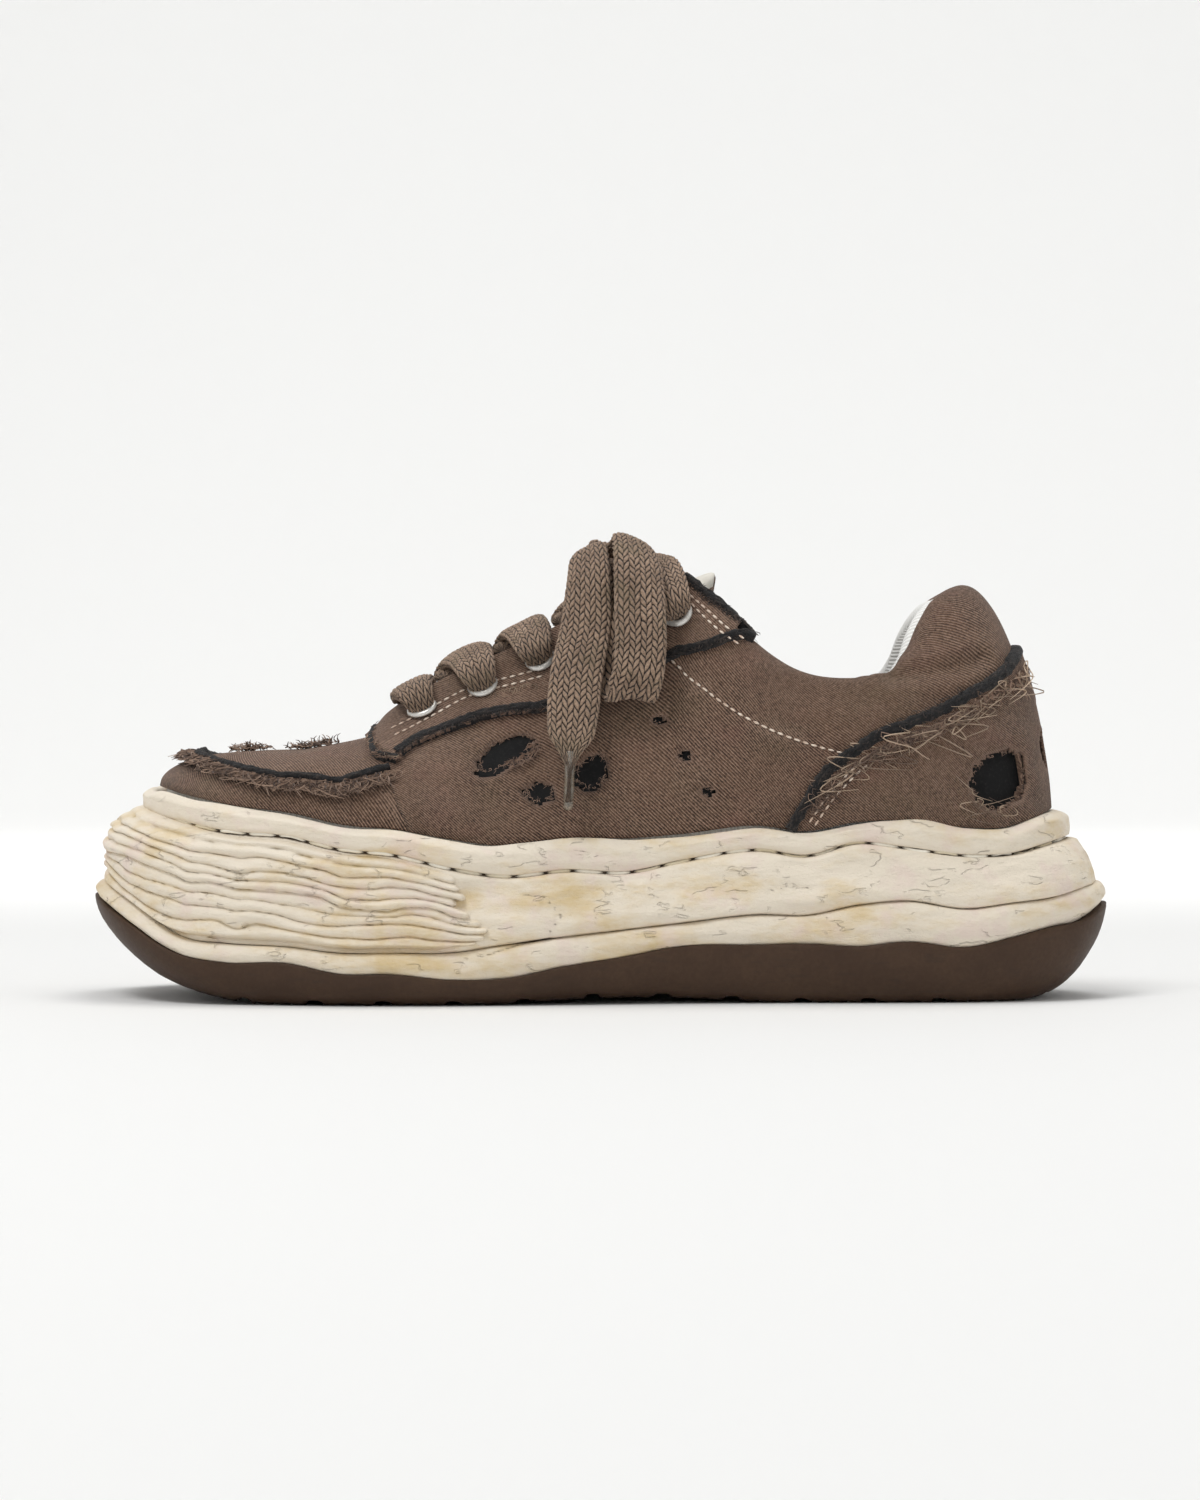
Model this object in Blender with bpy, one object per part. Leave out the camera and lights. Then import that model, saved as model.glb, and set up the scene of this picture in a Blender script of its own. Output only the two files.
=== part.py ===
"""A worn low sneaker for the left foot: a thick flared sole with a ribbed toe bumper, a hollow canvas
upper with a padded collar, tongue, insole, overlays, eyelets and a tied lace.

Metres, +Z up, the toe towards -X, the outer (lateral) side of the foot towards -Y.
"""

from math import cos, pi, sin
from typing import NamedTuple

import bmesh
import bpy
import numpy as np
from mathutils import Matrix, Vector

# Driving sizes.
UPPER_LENGTH = 0.2685
HEEL_BACK_X = 0.1345
BALL_WIDTH = 0.0960
HEEL_HEIGHT = 0.1237
INSTEP_HEIGHT = 0.1270
TOE_TIP_SIDE = 0.0055
HEEL_LEAN = 0.0024

WALL = 0.0024
GAP = 0.0003
COLLAR_PADDING = 0.0070
OVERLAY = 0.0014

FLARE_SIDE = 0.0100
FLARE_TOE = 0.0185
FLARE_HEEL = 0.0174
FOXING_THICKNESS = 0.0044

OUTSOLE_FLOOR = 0.0055
OUTSOLE_RIM = 0.0030
EDGE_ROUND = 0.0090
TOE_ROUND = 0.0210
HEEL_ROUND = 0.0150
TOE_LIFT_FROM = -0.094
TOE_LIFT_RATE = 4.90
HEEL_LIFT_FROM = 0.122
HEEL_LIFT_RATE = 13.0
ARCH_X = 0.010
ARCH_HALF_LENGTH = 0.048
ARCH_LIFT = 0.0018
OUTSOLE_REACH = 0.97
OUTSOLE_HEEL_BULGE = 0.0016
OUTSOLE_TOE_BULGE = 0.0014
TREAD_PITCH = 0.0204
TREAD_FIRST_X = -0.1042
TREAD_GROOVES = 11
GROOVE_WIDTH = 0.0036
GROOVE_DEPTH = 0.0018

BUMPER_THICKNESS = 0.0026
BUMPER_RIB_DEPTH = 0.0013
BUMPER_RIBS = 6
BUMPER_TOE_SWELL = 0.0054
BUMPER_TOE_RISE = 0.0050
BUMPER_SET_IN_SIDE = 0.0016
BUMPER_SET_IN_TOE = 0.0010
BUMPER_END_X = -0.036
BUMPER_RAGGED = 0.16

OVERLAY_GAP = 0.0005
APRON_WIDTH = 0.0036
APRON_HEIGHT = 0.0013

INSOLE_THICKNESS = 0.0042
TONGUE_THICKNESS = 0.0036
TONGUE_ARCH = 0.0002
TONGUE_GAP = 0.0008
TONGUE_WRAP = 0.74
TONGUE_BEYOND = 0.0085
TONGUE_FREE_END = ((0.6, 0.86), (1.0, 0.60))  # shares of its reach and of its width

EYELET_HOLE = 0.0037
EYELET_BORE = 0.0026
EYELET_WALL = 0.0004
EYELET_FLANGE = 0.0052
EYELET_HEIGHT = 0.0011
EYELET_LIFT = 0.0008
LACE_THICKNESS = 0.0034
LACE_CLEARANCE = 0.0016

COLUMN_SPACING = 0.0135
COLUMN_TURN = 0.30
SECTION_ROWS = (0.0, 0.12, 0.27, 0.42, 0.57, 0.70, 0.81, 0.90, 0.96, 1.0)


class Station(NamedTuple):
    """One section of the upper: from the feather line, where it meets the sole, to its top line."""

    along: float  # from the heel, a share of the upper's length
    lateral: float  # half-breadths at the feather line, shares of the ball width
    medial: float
    rim_along: float  # the top line: share of length, share of ball width, height
    rim_side: float
    rim_up: float
    low_up: float  # the section's lower handle, a share of the heel height
    high_out: float  # its upper handle, shares of ball width and heel height
    high_up: float


STATIONS = (
    Station(0.000, 0.000, 0.000, 0.1290, 0.000, 0.932 * HEEL_HEIGHT, 0.267, 0.162, 0.247),
    Station(0.020, 0.195, 0.195, 0.1350, 0.088, 0.928 * HEEL_HEIGHT, 0.262, 0.152, 0.240),
    Station(0.055, 0.290, 0.290, 0.1500, 0.151, 0.905 * HEEL_HEIGHT, 0.250, 0.126, 0.215),
    Station(0.095, 0.340, 0.335, 0.1640, 0.198, 0.857 * HEEL_HEIGHT, 0.235, 0.112, 0.180),
    Station(0.137, 0.361, 0.352, 0.1738, 0.231, 0.796 * HEEL_HEIGHT, 0.215, 0.112, 0.150),
    Station(0.182, 0.370, 0.353, 0.1890, 0.258, 0.752 * HEEL_HEIGHT, 0.200, 0.105, 0.130),
    Station(0.235, 0.371, 0.345, 0.2290, 0.268, 0.739 * HEEL_HEIGHT, 0.200, 0.100, 0.120),
    Station(0.298, 0.374, 0.338, 0.2900, 0.270, 0.780 * HEEL_HEIGHT, 0.200, 0.095, 0.100),
    Station(0.345, 0.381, 0.337, 0.3340, 0.262, 0.864 * HEEL_HEIGHT, 0.210, 0.090, 0.060),
    Station(0.385, 0.390, 0.338, 0.3700, 0.220, 0.927 * INSTEP_HEIGHT, 0.215, 0.095, -0.040),
    Station(0.425, 0.400, 0.342, 0.4040, 0.156, 1.000 * INSTEP_HEIGHT, 0.220, 0.110, -0.130),
    Station(0.500, 0.430, 0.358, 0.4898, 0.144, 0.931 * INSTEP_HEIGHT, 0.205, 0.120, -0.155),
    Station(0.600, 0.472, 0.400, 0.5896, 0.135, 0.830 * INSTEP_HEIGHT, 0.185, 0.140, -0.150),
    Station(0.700, 0.504, 0.450, 0.6895, 0.125, 0.727 * INSTEP_HEIGHT, 0.160, 0.170, -0.100),
    Station(0.750, 0.507, 0.470, 0.7338, 0.099, 0.665 * INSTEP_HEIGHT, 0.140, 0.210, -0.050),
    Station(0.790, 0.500, 0.485, 0.7523, 0.000, 0.620 * INSTEP_HEIGHT, 0.120, 0.240, -0.010),
    Station(0.850, 0.470, 0.485, 0.7890, 0.000, 0.603 * INSTEP_HEIGHT, 0.105, 0.240, 0.000),
    Station(0.905, 0.425, 0.465, 0.8300, 0.000, 0.588 * INSTEP_HEIGHT, 0.090, 0.220, 0.000),
    Station(0.965, 0.290, 0.360, 0.8780, 0.000, 0.583 * INSTEP_HEIGHT, 0.065, 0.170, 0.002),
    Station(1.000, 0.000, 0.000, 0.9110, 0.000, 0.579 * INSTEP_HEIGHT, 0.050, 0.115, 0.003),
)
THROAT_TOP = 10  # the row where the collar ends and the throat begins, a sharp turn
THROAT_FRONT = 15  # the row where both sides of the throat meet on the centre line


class SideLine(NamedTuple):
    """Heights of the sole's side lines at one place along the shoe."""

    x: float
    outsole_top: float
    strip_top: float
    groove: float
    foxing_top: float


SIDE_LINES = (
    SideLine(-0.1536, 0.0308, 0.0358, 0.0567, 0.0636),
    SideLine(-0.140, 0.0232, 0.0285, 0.0562, 0.0632),
    SideLine(-0.126, 0.0153, 0.0200, 0.0536, 0.0605),
    SideLine(-0.110, 0.0125, 0.0180, 0.0506, 0.0577),
    SideLine(-0.092, 0.0126, 0.0172, 0.0493, 0.0556),
    SideLine(-0.076, 0.0095, 0.0155, 0.0456, 0.0522),
    SideLine(-0.060, 0.0093, 0.0155, 0.0439, 0.0508),
    SideLine(-0.044, 0.0078, 0.0155, 0.0400, 0.0480),
    SideLine(-0.028, 0.0080, 0.0177, 0.0376, 0.0460),
    SideLine(-0.010, 0.0115, 0.0200, 0.0392, 0.0481),
    SideLine(0.008, 0.0143, 0.0220, 0.0386, 0.0480),
    SideLine(0.024, 0.0171, 0.0238, 0.0419, 0.0492),
    SideLine(0.047, 0.0174, 0.0262, 0.0451, 0.0516),
    SideLine(0.060, 0.0176, 0.0259, 0.0433, 0.0501),
    SideLine(0.076, 0.0169, 0.0290, 0.0472, 0.0528),
    SideLine(0.090, 0.0182, 0.0302, 0.0456, 0.0533),
    SideLine(0.108, 0.0165, 0.0278, 0.0433, 0.0512),
    SideLine(0.122, 0.0193, 0.0293, 0.0437, 0.0512),
    SideLine(0.134, 0.0220, 0.0306, 0.0466, 0.0548),
    SideLine(0.144, 0.0236, 0.0330, 0.0486, 0.0580),
    SideLine(0.1536, 0.0286, 0.0350, 0.0486, 0.0580),
)


class BedPoint(NamedTuple):
    """Height of the bed under the insole at one place along the shoe."""

    x: float
    height: float


BED = (
    BedPoint(-0.140, 0.0475),
    BedPoint(-0.115, 0.0425),
    BedPoint(-0.090, 0.0370),
    BedPoint(-0.060, 0.0325),
    BedPoint(-0.020, 0.0330),
    BedPoint(0.030, 0.0370),
    BedPoint(0.080, 0.0395),
    BedPoint(0.140, 0.0400),
)


class Ring(NamedTuple):
    """One line round the midsole's side: height between two side lines, and its reach from the feather."""

    low: str
    high: str
    share: float
    fixed: float
    flare: float
    heel: float  # further reach at the back of the heel


MIDSOLE_SIDE = (
    Ring("outsole_top", "strip_top", 0.10, 0.0, 0.96, 0.0),
    Ring("outsole_top", "strip_top", 0.45, 0.0, 1.00, 0.0004),
    Ring("outsole_top", "strip_top", 0.86, 0.0005, 0.86, 0.0010),
    Ring("outsole_top", "strip_top", 1.00, 0.0012, 0.62, 0.0020),
    Ring("strip_top", "groove", 0.22, 0.0018, 0.66, 0.0022),
    Ring("strip_top", "groove", 0.58, 0.0027, 0.42, 0.0036),
    Ring("strip_top", "groove", 0.88, 0.0034, 0.14, 0.0046),
    Ring("strip_top", "groove", 1.00, 0.0032, 0.00, 0.0034),
    Ring("groove", "foxing_top", 0.22, FOXING_THICKNESS, 0.00, 0.0026),
    Ring("groove", "foxing_top", 0.90, FOXING_THICKNESS - 0.0004, 0.00, 0.0018),
)

# Places on the lateral side as seen from that side: x, and height.
COUNTER_EDGE = (
    (0.0560, 0.0500),
    (0.0618, 0.0605),
    (0.0677, 0.0688),
    (0.0735, 0.0730),
    (0.0825, 0.0787),
    (0.0955, 0.0838),
    (0.1080, 0.0900),
    (0.1200, 0.0975),
    (0.1270, 0.1038),
)
COUNTER_COLUMNS = 7  # the row of the table as far as which the counter's layer reaches
EYESTAY_EDGE = (
    (0.0470, 0.1095),
    (0.0357, 0.1077),
    (0.0246, 0.1045),
    (0.0190, 0.1021),
    (-0.0173, 0.0856),
    (-0.0257, 0.0851),
    (-0.0336, 0.0837),
    (-0.0443, 0.0801),
    (-0.0547, 0.0757),
    (-0.0606, 0.0713),
    (-0.0660, 0.0735),
    (-0.0700, 0.0790),
)
APRON_PATH = (
    (-0.0620, 0.0690),
    (-0.0760, 0.0650),
    (-0.0950, 0.0660),
    (-0.1070, 0.0683),
    (-0.1180, 0.0710),
)
APRON_TOE = 0.70  # how far up the section the apron strip crosses the toe
EYELETS = (
    (-0.0524, 0.0846),
    (-0.0346, 0.0918),
    (-0.0174, 0.1000),
    (0.0028, 0.1068),
    (0.0233, 0.1139),
)


class Bend(NamedTuple):
    """One place along a lace: its centre, and how wide the lace lies there."""

    x: float
    y: float
    z: float
    width: float


LACE_BEHIND_KNOT = (Bend(0.0160, -0.0075, 0.1302, 0.0090), Bend(0.0126, 0.0, 0.1308, 0.0090))
LACE_END = (
    Bend(-0.0032, -0.0087, 0.1318, 0.0065),
    Bend(-0.0042, -0.0120, 0.1322, 0.0080),
    Bend(-0.0052, -0.0175, 0.1318, 0.0105),
    Bend(-0.0055, -0.0240, 0.1270, 0.0135),
    Bend(-0.0057, -0.0310, 0.1110, 0.0150),
    Bend(-0.0075, -0.0385, 0.0960, 0.0150),
    Bend(-0.0083, -0.0430, 0.0830, 0.0130),
    Bend(-0.0089, -0.0465, 0.0735, 0.0055),
)
AGLET = (Bend(-0.0089, -0.0468, 0.0726, 0.0036), Bend(-0.0095, -0.0480, 0.0570, 0.0034))
LACE_LOOP = (
    Bend(0.0060, -0.0087, 0.1355, 0.0080),
    Bend(0.0085, -0.0120, 0.1360, 0.0100),
    Bend(0.0112, -0.0190, 0.1360, 0.0145),
    Bend(0.0120, -0.0275, 0.1300, 0.0150),
    Bend(0.0126, -0.0355, 0.1170, 0.0150),
    Bend(0.0122, -0.0390, 0.1050, 0.0150),
    Bend(0.0108, -0.0402, 0.0960, 0.0150),
    Bend(0.0100, -0.0378, 0.0914, 0.0150),
    Bend(0.0095, -0.0342, 0.0965, 0.0150),
    Bend(0.0093, -0.0322, 0.1050, 0.0140),
    Bend(0.0092, -0.0303, 0.1125, 0.0135),
    Bend(0.0088, -0.0262, 0.1205, 0.0130),
    Bend(0.0068, -0.0180, 0.1282, 0.0115),
    Bend(0.0048, -0.0120, 0.1296, 0.0080),
    Bend(0.0045, -0.0087, 0.1298, 0.0070),
)
THROAT_DIRECTION = (0.894, 0.0, 0.447)
BOW_NAMES = ("lace_knot", "lace_loop", "lace_end", "aglet")
KNOT_CENTRE = (0.0007, 0.0, 0.1315)
KNOT_HALF = (0.0066, 0.0082, 0.0066)


def through(knots, values, corners=()):
    """A smooth curve through the values; at a corner's row it turns sharply."""
    knots = np.asarray(knots, float)
    values = np.asarray(values, float)
    step = np.diff(knots)
    slope = np.diff(values) / step
    before = np.concatenate([slope[:1], slope])
    after = np.concatenate([slope, slope[-1:]])
    left = np.concatenate([step[:1], step])
    right = np.concatenate([step, step[-1:]])
    start = (before * right + after * left) / (left + right)
    end = start.copy()
    for row in corners:
        start[row] = after[row]
        end[row] = before[row]

    def at(t):
        t = np.asarray(t, float)
        i = np.clip(np.searchsorted(knots, t, side="right") - 1, 0, len(step) - 1)
        h = step[i]
        u = (t - knots[i]) / h
        return (
            (2 * u**3 - 3 * u**2 + 1) * values[i]
            + (u**3 - 2 * u**2 + u) * h * start[i]
            + (3 * u**2 - 2 * u**3) * values[i + 1]
            + (u**3 - u**2) * h * end[i + 1]
        )

    return at


class Last:
    """The shape of the foot form: the upper's outer surface and the sole's outline follow it.

    A place round the shoe is t: 0 at the heel, `toe` at the toe, positive on the lateral side and
    negative on the medial side. A place up the section is v: 0 at the feather line, 1 at the top line.
    """

    def __init__(self):
        along = np.array([s.along for s in STATIONS])
        lateral = np.array([s.lateral for s in STATIONS])
        medial = np.array([s.medial for s in STATIONS])
        x = HEEL_BACK_X - UPPER_LENGTH * along
        bend = TOE_TIP_SIDE * np.clip((along - 0.6) / 0.4, 0, 1) ** 2
        tip = len(STATIONS) - 1
        tip_side = bend * (along == 1.0)
        sides = {1: tip_side - BALL_WIDTH * lateral, -1: tip_side + BALL_WIDTH * medial}
        steps = sum(np.hypot(np.diff(x), np.diff(sides[k])) for k in (1, -1)) / 2
        self.knots = np.concatenate([[0.0], np.cumsum(steps)])
        self.toe = self.knots[tip]
        t = self.knots
        wide = np.concatenate([[-t[1]], t, [2 * t[tip] - t[tip - 1]]])
        self.plan_x = through(wide, np.concatenate([x[1:2], x, x[tip - 1 : tip]]))
        self.plan_y = {
            k: through(wide, np.concatenate([sides[-k][1:2], sides[k], sides[-k][tip - 1 : tip]]))
            for k in (1, -1)
        }
        corners = (THROAT_TOP + 1, THROAT_FRONT + 1)

        def column(values, mirrored=1.0):
            values = np.asarray(values, float)
            whole = np.concatenate([mirrored * values[1:2], values, mirrored * values[tip - 1 : tip]])
            return through(wide, whole, corners)

        self.rim_x = column([HEEL_BACK_X - UPPER_LENGTH * s.rim_along for s in STATIONS])
        self.rim_side = column([BALL_WIDTH * s.rim_side for s in STATIONS], -1.0)
        self.rim_up = column([s.rim_up for s in STATIONS])
        self.low_up = column([HEEL_HEIGHT * s.low_up for s in STATIONS])
        self.high_out = column([BALL_WIDTH * s.high_out for s in STATIONS])
        self.high_up = column([HEEL_HEIGHT * s.high_up for s in STATIONS])
        self.bend = column(bend)
        rows = {name: [getattr(line, name) for line in SIDE_LINES] for name in SideLine._fields}
        self.lines = {name: through(rows["x"], rows[name]) for name in SideLine._fields if name != "x"}
        self.bed = through([b.x for b in BED], [b.height for b in BED])

    def fold(self, t):
        """Side (1 lateral, -1 medial) and distance from the heel for any t, also past the toe."""
        t = np.asarray(t, float)
        t = np.where(t > self.toe, t - 2 * self.toe, np.where(t < -self.toe, t + 2 * self.toe, t))
        return np.where(t < 0, -1, 1), np.abs(t)

    def plan(self, t):
        side, near = self.fold(t)
        y = np.where(side > 0, self.plan_y[1](near), self.plan_y[-1](near))
        return np.stack([self.plan_x(near), y], axis=-1)

    def outward(self, t):
        """The plan outline's outward direction."""
        e = 1e-5
        d = self.plan(np.asarray(t) + e) - self.plan(np.asarray(t) - e)
        d = d / np.linalg.norm(d, axis=-1, keepdims=True)
        return np.stack([-d[..., 1], d[..., 0]], axis=-1)

    def flare(self, t):
        n = self.outward(t)
        toe = np.clip(-n[..., 0], 0, 1) ** 2
        heel = np.clip(n[..., 0], 0, 1) ** 2
        return FLARE_SIDE + (FLARE_TOE - FLARE_SIDE) * toe + (FLARE_HEEL - FLARE_SIDE) * heel

    def ring(self, t, offset):
        """The plan outline moved outwards."""
        return self.plan(t) + self.outward(t) * np.asarray(offset)[..., None]

    def feather(self, t):
        """Where the upper comes out of the sole, just above the foxing."""
        p = self.plan(t)
        rise = self.lines["foxing_top"](self.ring(t, np.full(np.shape(t), FOXING_THICKNESS))[..., 0])
        return np.concatenate([p, (rise + 0.0005)[..., None]], axis=-1)

    def rim(self, t):
        side, near = self.fold(t)
        y = -side * self.rim_side(near) + self.bend(near)
        return np.stack([self.rim_x(near), y, self.rim_up(near)], axis=-1)

    def surface(self, t, v):
        """A point of the upper's outer surface."""
        t, v = np.broadcast_arrays(np.asarray(t, float), np.asarray(v, float))
        _, near = self.fold(t)
        foot = self.feather(t)
        top = self.rim(t)
        out = foot[..., :2] - top[..., :2]
        out = out / np.linalg.norm(out, axis=-1, keepdims=True)
        up = np.array([0.0, 0.0, 1.0])
        n = self.outward(t)
        low = foot + up * self.low_up(near)[..., None]
        low[..., :2] += n * (0.0006 - HEEL_LEAN * np.clip(n[..., :1], 0, 1) ** 2)
        high = top + up * self.high_up(near)[..., None]
        high[..., :2] += out * self.high_out(near)[..., None]
        w = v[..., None]
        return (
            foot * (1 - w) ** 3 + 3 * low * w * (1 - w) ** 2 + 3 * high * w**2 * (1 - w) + top * w**3
        )

    def normal(self, t, v):
        e, f = 2e-4, 2e-3
        t, v = np.broadcast_arrays(np.asarray(t, float), np.asarray(v, float))
        low, high = np.clip(v - f, 0, 1), np.clip(v + f, 0, 1)
        wide = np.clip(v, 0, 0.98)  # the ridge itself has no width at the toe
        across = self.surface(t + e, wide) - self.surface(t - e, wide)
        up = self.surface(t, high) - self.surface(t, low)
        n = np.cross(up, across)
        return n / np.linalg.norm(n, axis=-1, keepdims=True)

    def raised(self, t, v, height):
        return self.surface(t, v) + self.normal(t, v) * np.asarray(height)[..., None]

    def thickness(self, t, v):
        """The wall: canvas and lining, padded at the collar and closing to a thin edge at the opening."""
        _, near = self.fold(t)
        front = self.knots[THROAT_TOP]
        pad = np.clip((front - near) / 0.035, 0, 1) * np.clip((v - 0.50) / 0.28, 0, 1)
        return WALL + COLLAR_PADDING * pad * pad * (3 - 2 * pad)

    def locate(self, side, x, z):
        """(t, v) of the place that is seen at x and height z from the side."""
        ts, vs = np.meshgrid(np.linspace(0.0, self.toe, 160), np.linspace(0, 1, 50), indexing="ij")
        p = self.surface(side * ts, vs)
        k = np.argmin((p[..., 0] - x) ** 2 + (p[..., 2] - z) ** 2)
        t, v = side * ts.flat[k], vs.flat[k]
        for _ in range(8):
            p = self.surface(t, v)[[0, 2]]
            dt = (self.surface(t + 1e-5, v)[[0, 2]] - p) / 1e-5
            dv = (self.surface(t, v + 1e-4)[[0, 2]] - p) / 1e-4
            try:
                move = np.linalg.solve(np.stack([dt, dv], axis=1), np.array([x, z]) - p)
            except np.linalg.LinAlgError:
                break
            t += float(np.clip(move[0], -0.004, 0.004))
            v = float(np.clip(v + move[1], 0.0, 1.0))
        return t, v


LAST = Last()


def columns_between(first, last):
    """Places round one side from one row of the table to another, with the rows themselves among them."""
    places = [LAST.knots[first]]
    for row in range(first, last):
        a, b = LAST.knots[row], LAST.knots[row + 1]
        turn = np.arccos(np.clip(LAST.outward(a) @ LAST.outward(b), -1, 1))
        count = max(1, round((b - a) / COLUMN_SPACING), round(turn / COLUMN_TURN))
        places += [a + (b - a) * (i + 1) / count for i in range(count)]
    return np.array(places)


SIDE_COLUMNS = columns_between(0, len(STATIONS) - 1)
AROUND = np.concatenate([SIDE_COLUMNS, -SIDE_COLUMNS[-2:0:-1]])


def bottom_height(x):
    """The tread surface: flat under ball and heel, lifted at the arch, the toe and the heel's back."""
    toe = np.clip(TOE_LIFT_FROM - x, 0, None)
    heel = np.clip(x - HEEL_LIFT_FROM, 0, None)
    arch = np.clip(1 - ((x - ARCH_X) / ARCH_HALF_LENGTH) ** 2, 0, None)
    return TOE_LIFT_RATE * toe**2 + HEEL_LIFT_RATE * heel**2 + ARCH_LIFT * arch**2


def toe_share(t):
    """1 where the outline faces the front, falling to 0 where it faces a side."""
    return np.clip(-LAST.outward(t)[..., 0], 0, 1) ** 2


def heel_share(t):
    """1 where the outline faces the back, falling to 0 where it faces a side."""
    return np.clip(LAST.outward(t)[..., 0], 0, 1) ** 2


def outsole_reach(t):
    """How far the outsole's rim stands out from the feather line."""
    bulge = OUTSOLE_HEEL_BULGE * heel_share(t) + OUTSOLE_TOE_BULGE * toe_share(t)
    return OUTSOLE_REACH * LAST.flare(t) + bulge


def rounding(t):
    """The radius of the outsole's lower edge in plan."""
    toe = (TOE_ROUND - EDGE_ROUND) * toe_share(t)
    heel = (HEEL_ROUND - EDGE_ROUND) * heel_share(t)
    return EDGE_ROUND + toe + heel


def material(name, colour, roughness, metallic=0.0):
    made = bpy.data.materials.new(name)
    made.use_nodes = True
    shader = made.node_tree.nodes["Principled BSDF"]
    shader.inputs["Base Color"].default_value = (*colour, 1.0)
    shader.inputs["Roughness"].default_value = roughness
    shader.inputs["Metallic"].default_value = metallic
    return made


def add_object(name, mesh, finish, collection):
    mesh.materials.clear()
    mesh.materials.append(finish)
    made = bpy.data.objects.new(name, mesh)
    collection.objects.link(made)
    return made


def tidy_away(cutter, tools):
    """A cutter goes to its own collection, drawn as wire and left out of renders."""
    cutter.display_type = "WIRE"
    cutter.hide_render = True
    for owner in list(cutter.users_collection):
        owner.objects.unlink(cutter)
    tools.objects.link(cutter)


def cut_with(piece, cutter, operation="DIFFERENCE"):
    cut = piece.modifiers.new(cutter.name, "BOOLEAN")
    cut.operation = operation
    cut.object = cutter


def mesh_from(name, points, faces):
    """A closed mesh whose faces are turned outwards."""
    bm = bmesh.new()
    vertices = [bm.verts.new(p) for p in points]
    for face in faces:
        corners = [vertices[i] for i in dict.fromkeys(face)]
        if len(corners) > 2:
            bm.faces.new(corners)
    # Neighbours that lie a gap apart are split along the same diagonals.
    bmesh.ops.triangulate(bm, faces=bm.faces, quad_method="SHORT_EDGE")
    bmesh.ops.recalc_face_normals(bm, faces=bm.faces)
    if bm.calc_volume(signed=True) < 0:
        bmesh.ops.reverse_faces(bm, faces=bm.faces)
    mesh = bpy.data.meshes.new(name)
    bm.to_mesh(mesh)
    bm.free()
    mesh.shade_smooth()
    mesh.set_sharp_from_angle(angle=0.7)
    return mesh


def rungs(start, count):
    """Faces across a ring whose points run heel, lateral side, toe, medial side."""
    half = count // 2
    return [
        (start + k, start + k + 1, start + (count - k - 1) % count, start + (count - k) % count)
        for k in range(half)
    ]


def loft(name, rings):
    """A closed solid through rings of equal count, closed across its first and its last ring."""
    count = len(rings[0])
    points = [tuple(p) for ring in rings for p in ring]
    faces = rungs(0, count)
    for r in range(len(rings) - 1):
        a, b = r * count, (r + 1) * count
        faces += [(a + k, a + (k + 1) % count, b + (k + 1) % count, b + k) for k in range(count)]
    faces += rungs((len(rings) - 1) * count, count)
    return mesh_from(name, points, faces)


def patch(name, outer, inner):
    """A closed sheet between two grids of equal size."""
    rows, columns = outer.shape[:2]
    points = [tuple(p) for grid in (outer, inner) for p in grid.reshape(-1, 3)]
    other = rows * columns
    faces = []
    for base in (0, other):
        for r in range(rows - 1):
            for c in range(columns - 1):
                k = base + r * columns + c
                faces.append((k, k + 1, k + columns + 1, k + columns))
    edge = [c for c in range(columns)]
    edge += [r * columns + columns - 1 for r in range(1, rows)]
    edge += [(rows - 1) * columns + c for c in range(columns - 2, -1, -1)]
    edge += [r * columns for r in range(rows - 2, 0, -1)]
    for i, a in enumerate(edge):
        b = edge[(i + 1) % len(edge)]
        faces.append((a, b, other + b, other + a))
    return mesh_from(name, points, faces)


def level(t, offset, height):
    """A ring of points: the plan outline moved outwards, at heights worked out from x and y."""
    plan = LAST.ring(t, offset * np.ones(len(t)))
    return np.concatenate([plan, height(plan[:, 0])[:, None]], axis=1)


def outsole_rings(t):
    reach, edge = outsole_reach(t), rounding(t)
    high = LAST.lines["outsole_top"](LAST.ring(t, reach)[:, 0])
    rings = []
    for turn in (90, 68, 45, 22, 0):
        a = turn * pi / 180
        plan = LAST.ring(t, reach - edge * (1 - cos(a)))
        low = bottom_height(plan[:, 0])
        rings.append(np.concatenate([plan, (low + (high - low) * (1 - sin(a)))[:, None]], axis=1))
    rings += cup_rings(t, 0.0)[::-1]
    return rings


def cup_rings(t, gap):
    """The cup between outsole and midsole, from its floor up; the midsole's side of it lies a gap inside."""
    reach = outsole_reach(t)
    edge = rounding(t) - 0.0015
    rim_offset = reach - OUTSOLE_RIM - gap
    high = LAST.lines["outsole_top"](LAST.ring(t, reach)[:, 0]) + gap
    rings = []
    for turn in (90, 45, 0):
        a = turn * pi / 180
        plan = LAST.ring(t, rim_offset - edge * (1 - cos(a)))
        low = bottom_height(plan[:, 0]) + OUTSOLE_FLOOR + gap
        low = np.minimum(low, high - 0.0012)
        rings.append(np.concatenate([plan, (low + (high - low) * (1 - sin(a)))[:, None]], axis=1))
    return rings


def bumper_zone(t):
    """1 where the toe bumper lies over the midsole's side, 0 elsewhere."""
    _, near = LAST.fold(t)
    return (near > bumper_end() - 1e-9).astype(float)


def bumper_end():
    """The place round the side where the bumper ends: the table's column nearest to its end."""
    x = LAST.plan_x(SIDE_COLUMNS)
    return SIDE_COLUMNS[int(np.argmin(np.abs(x - BUMPER_END_X)))]


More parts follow.
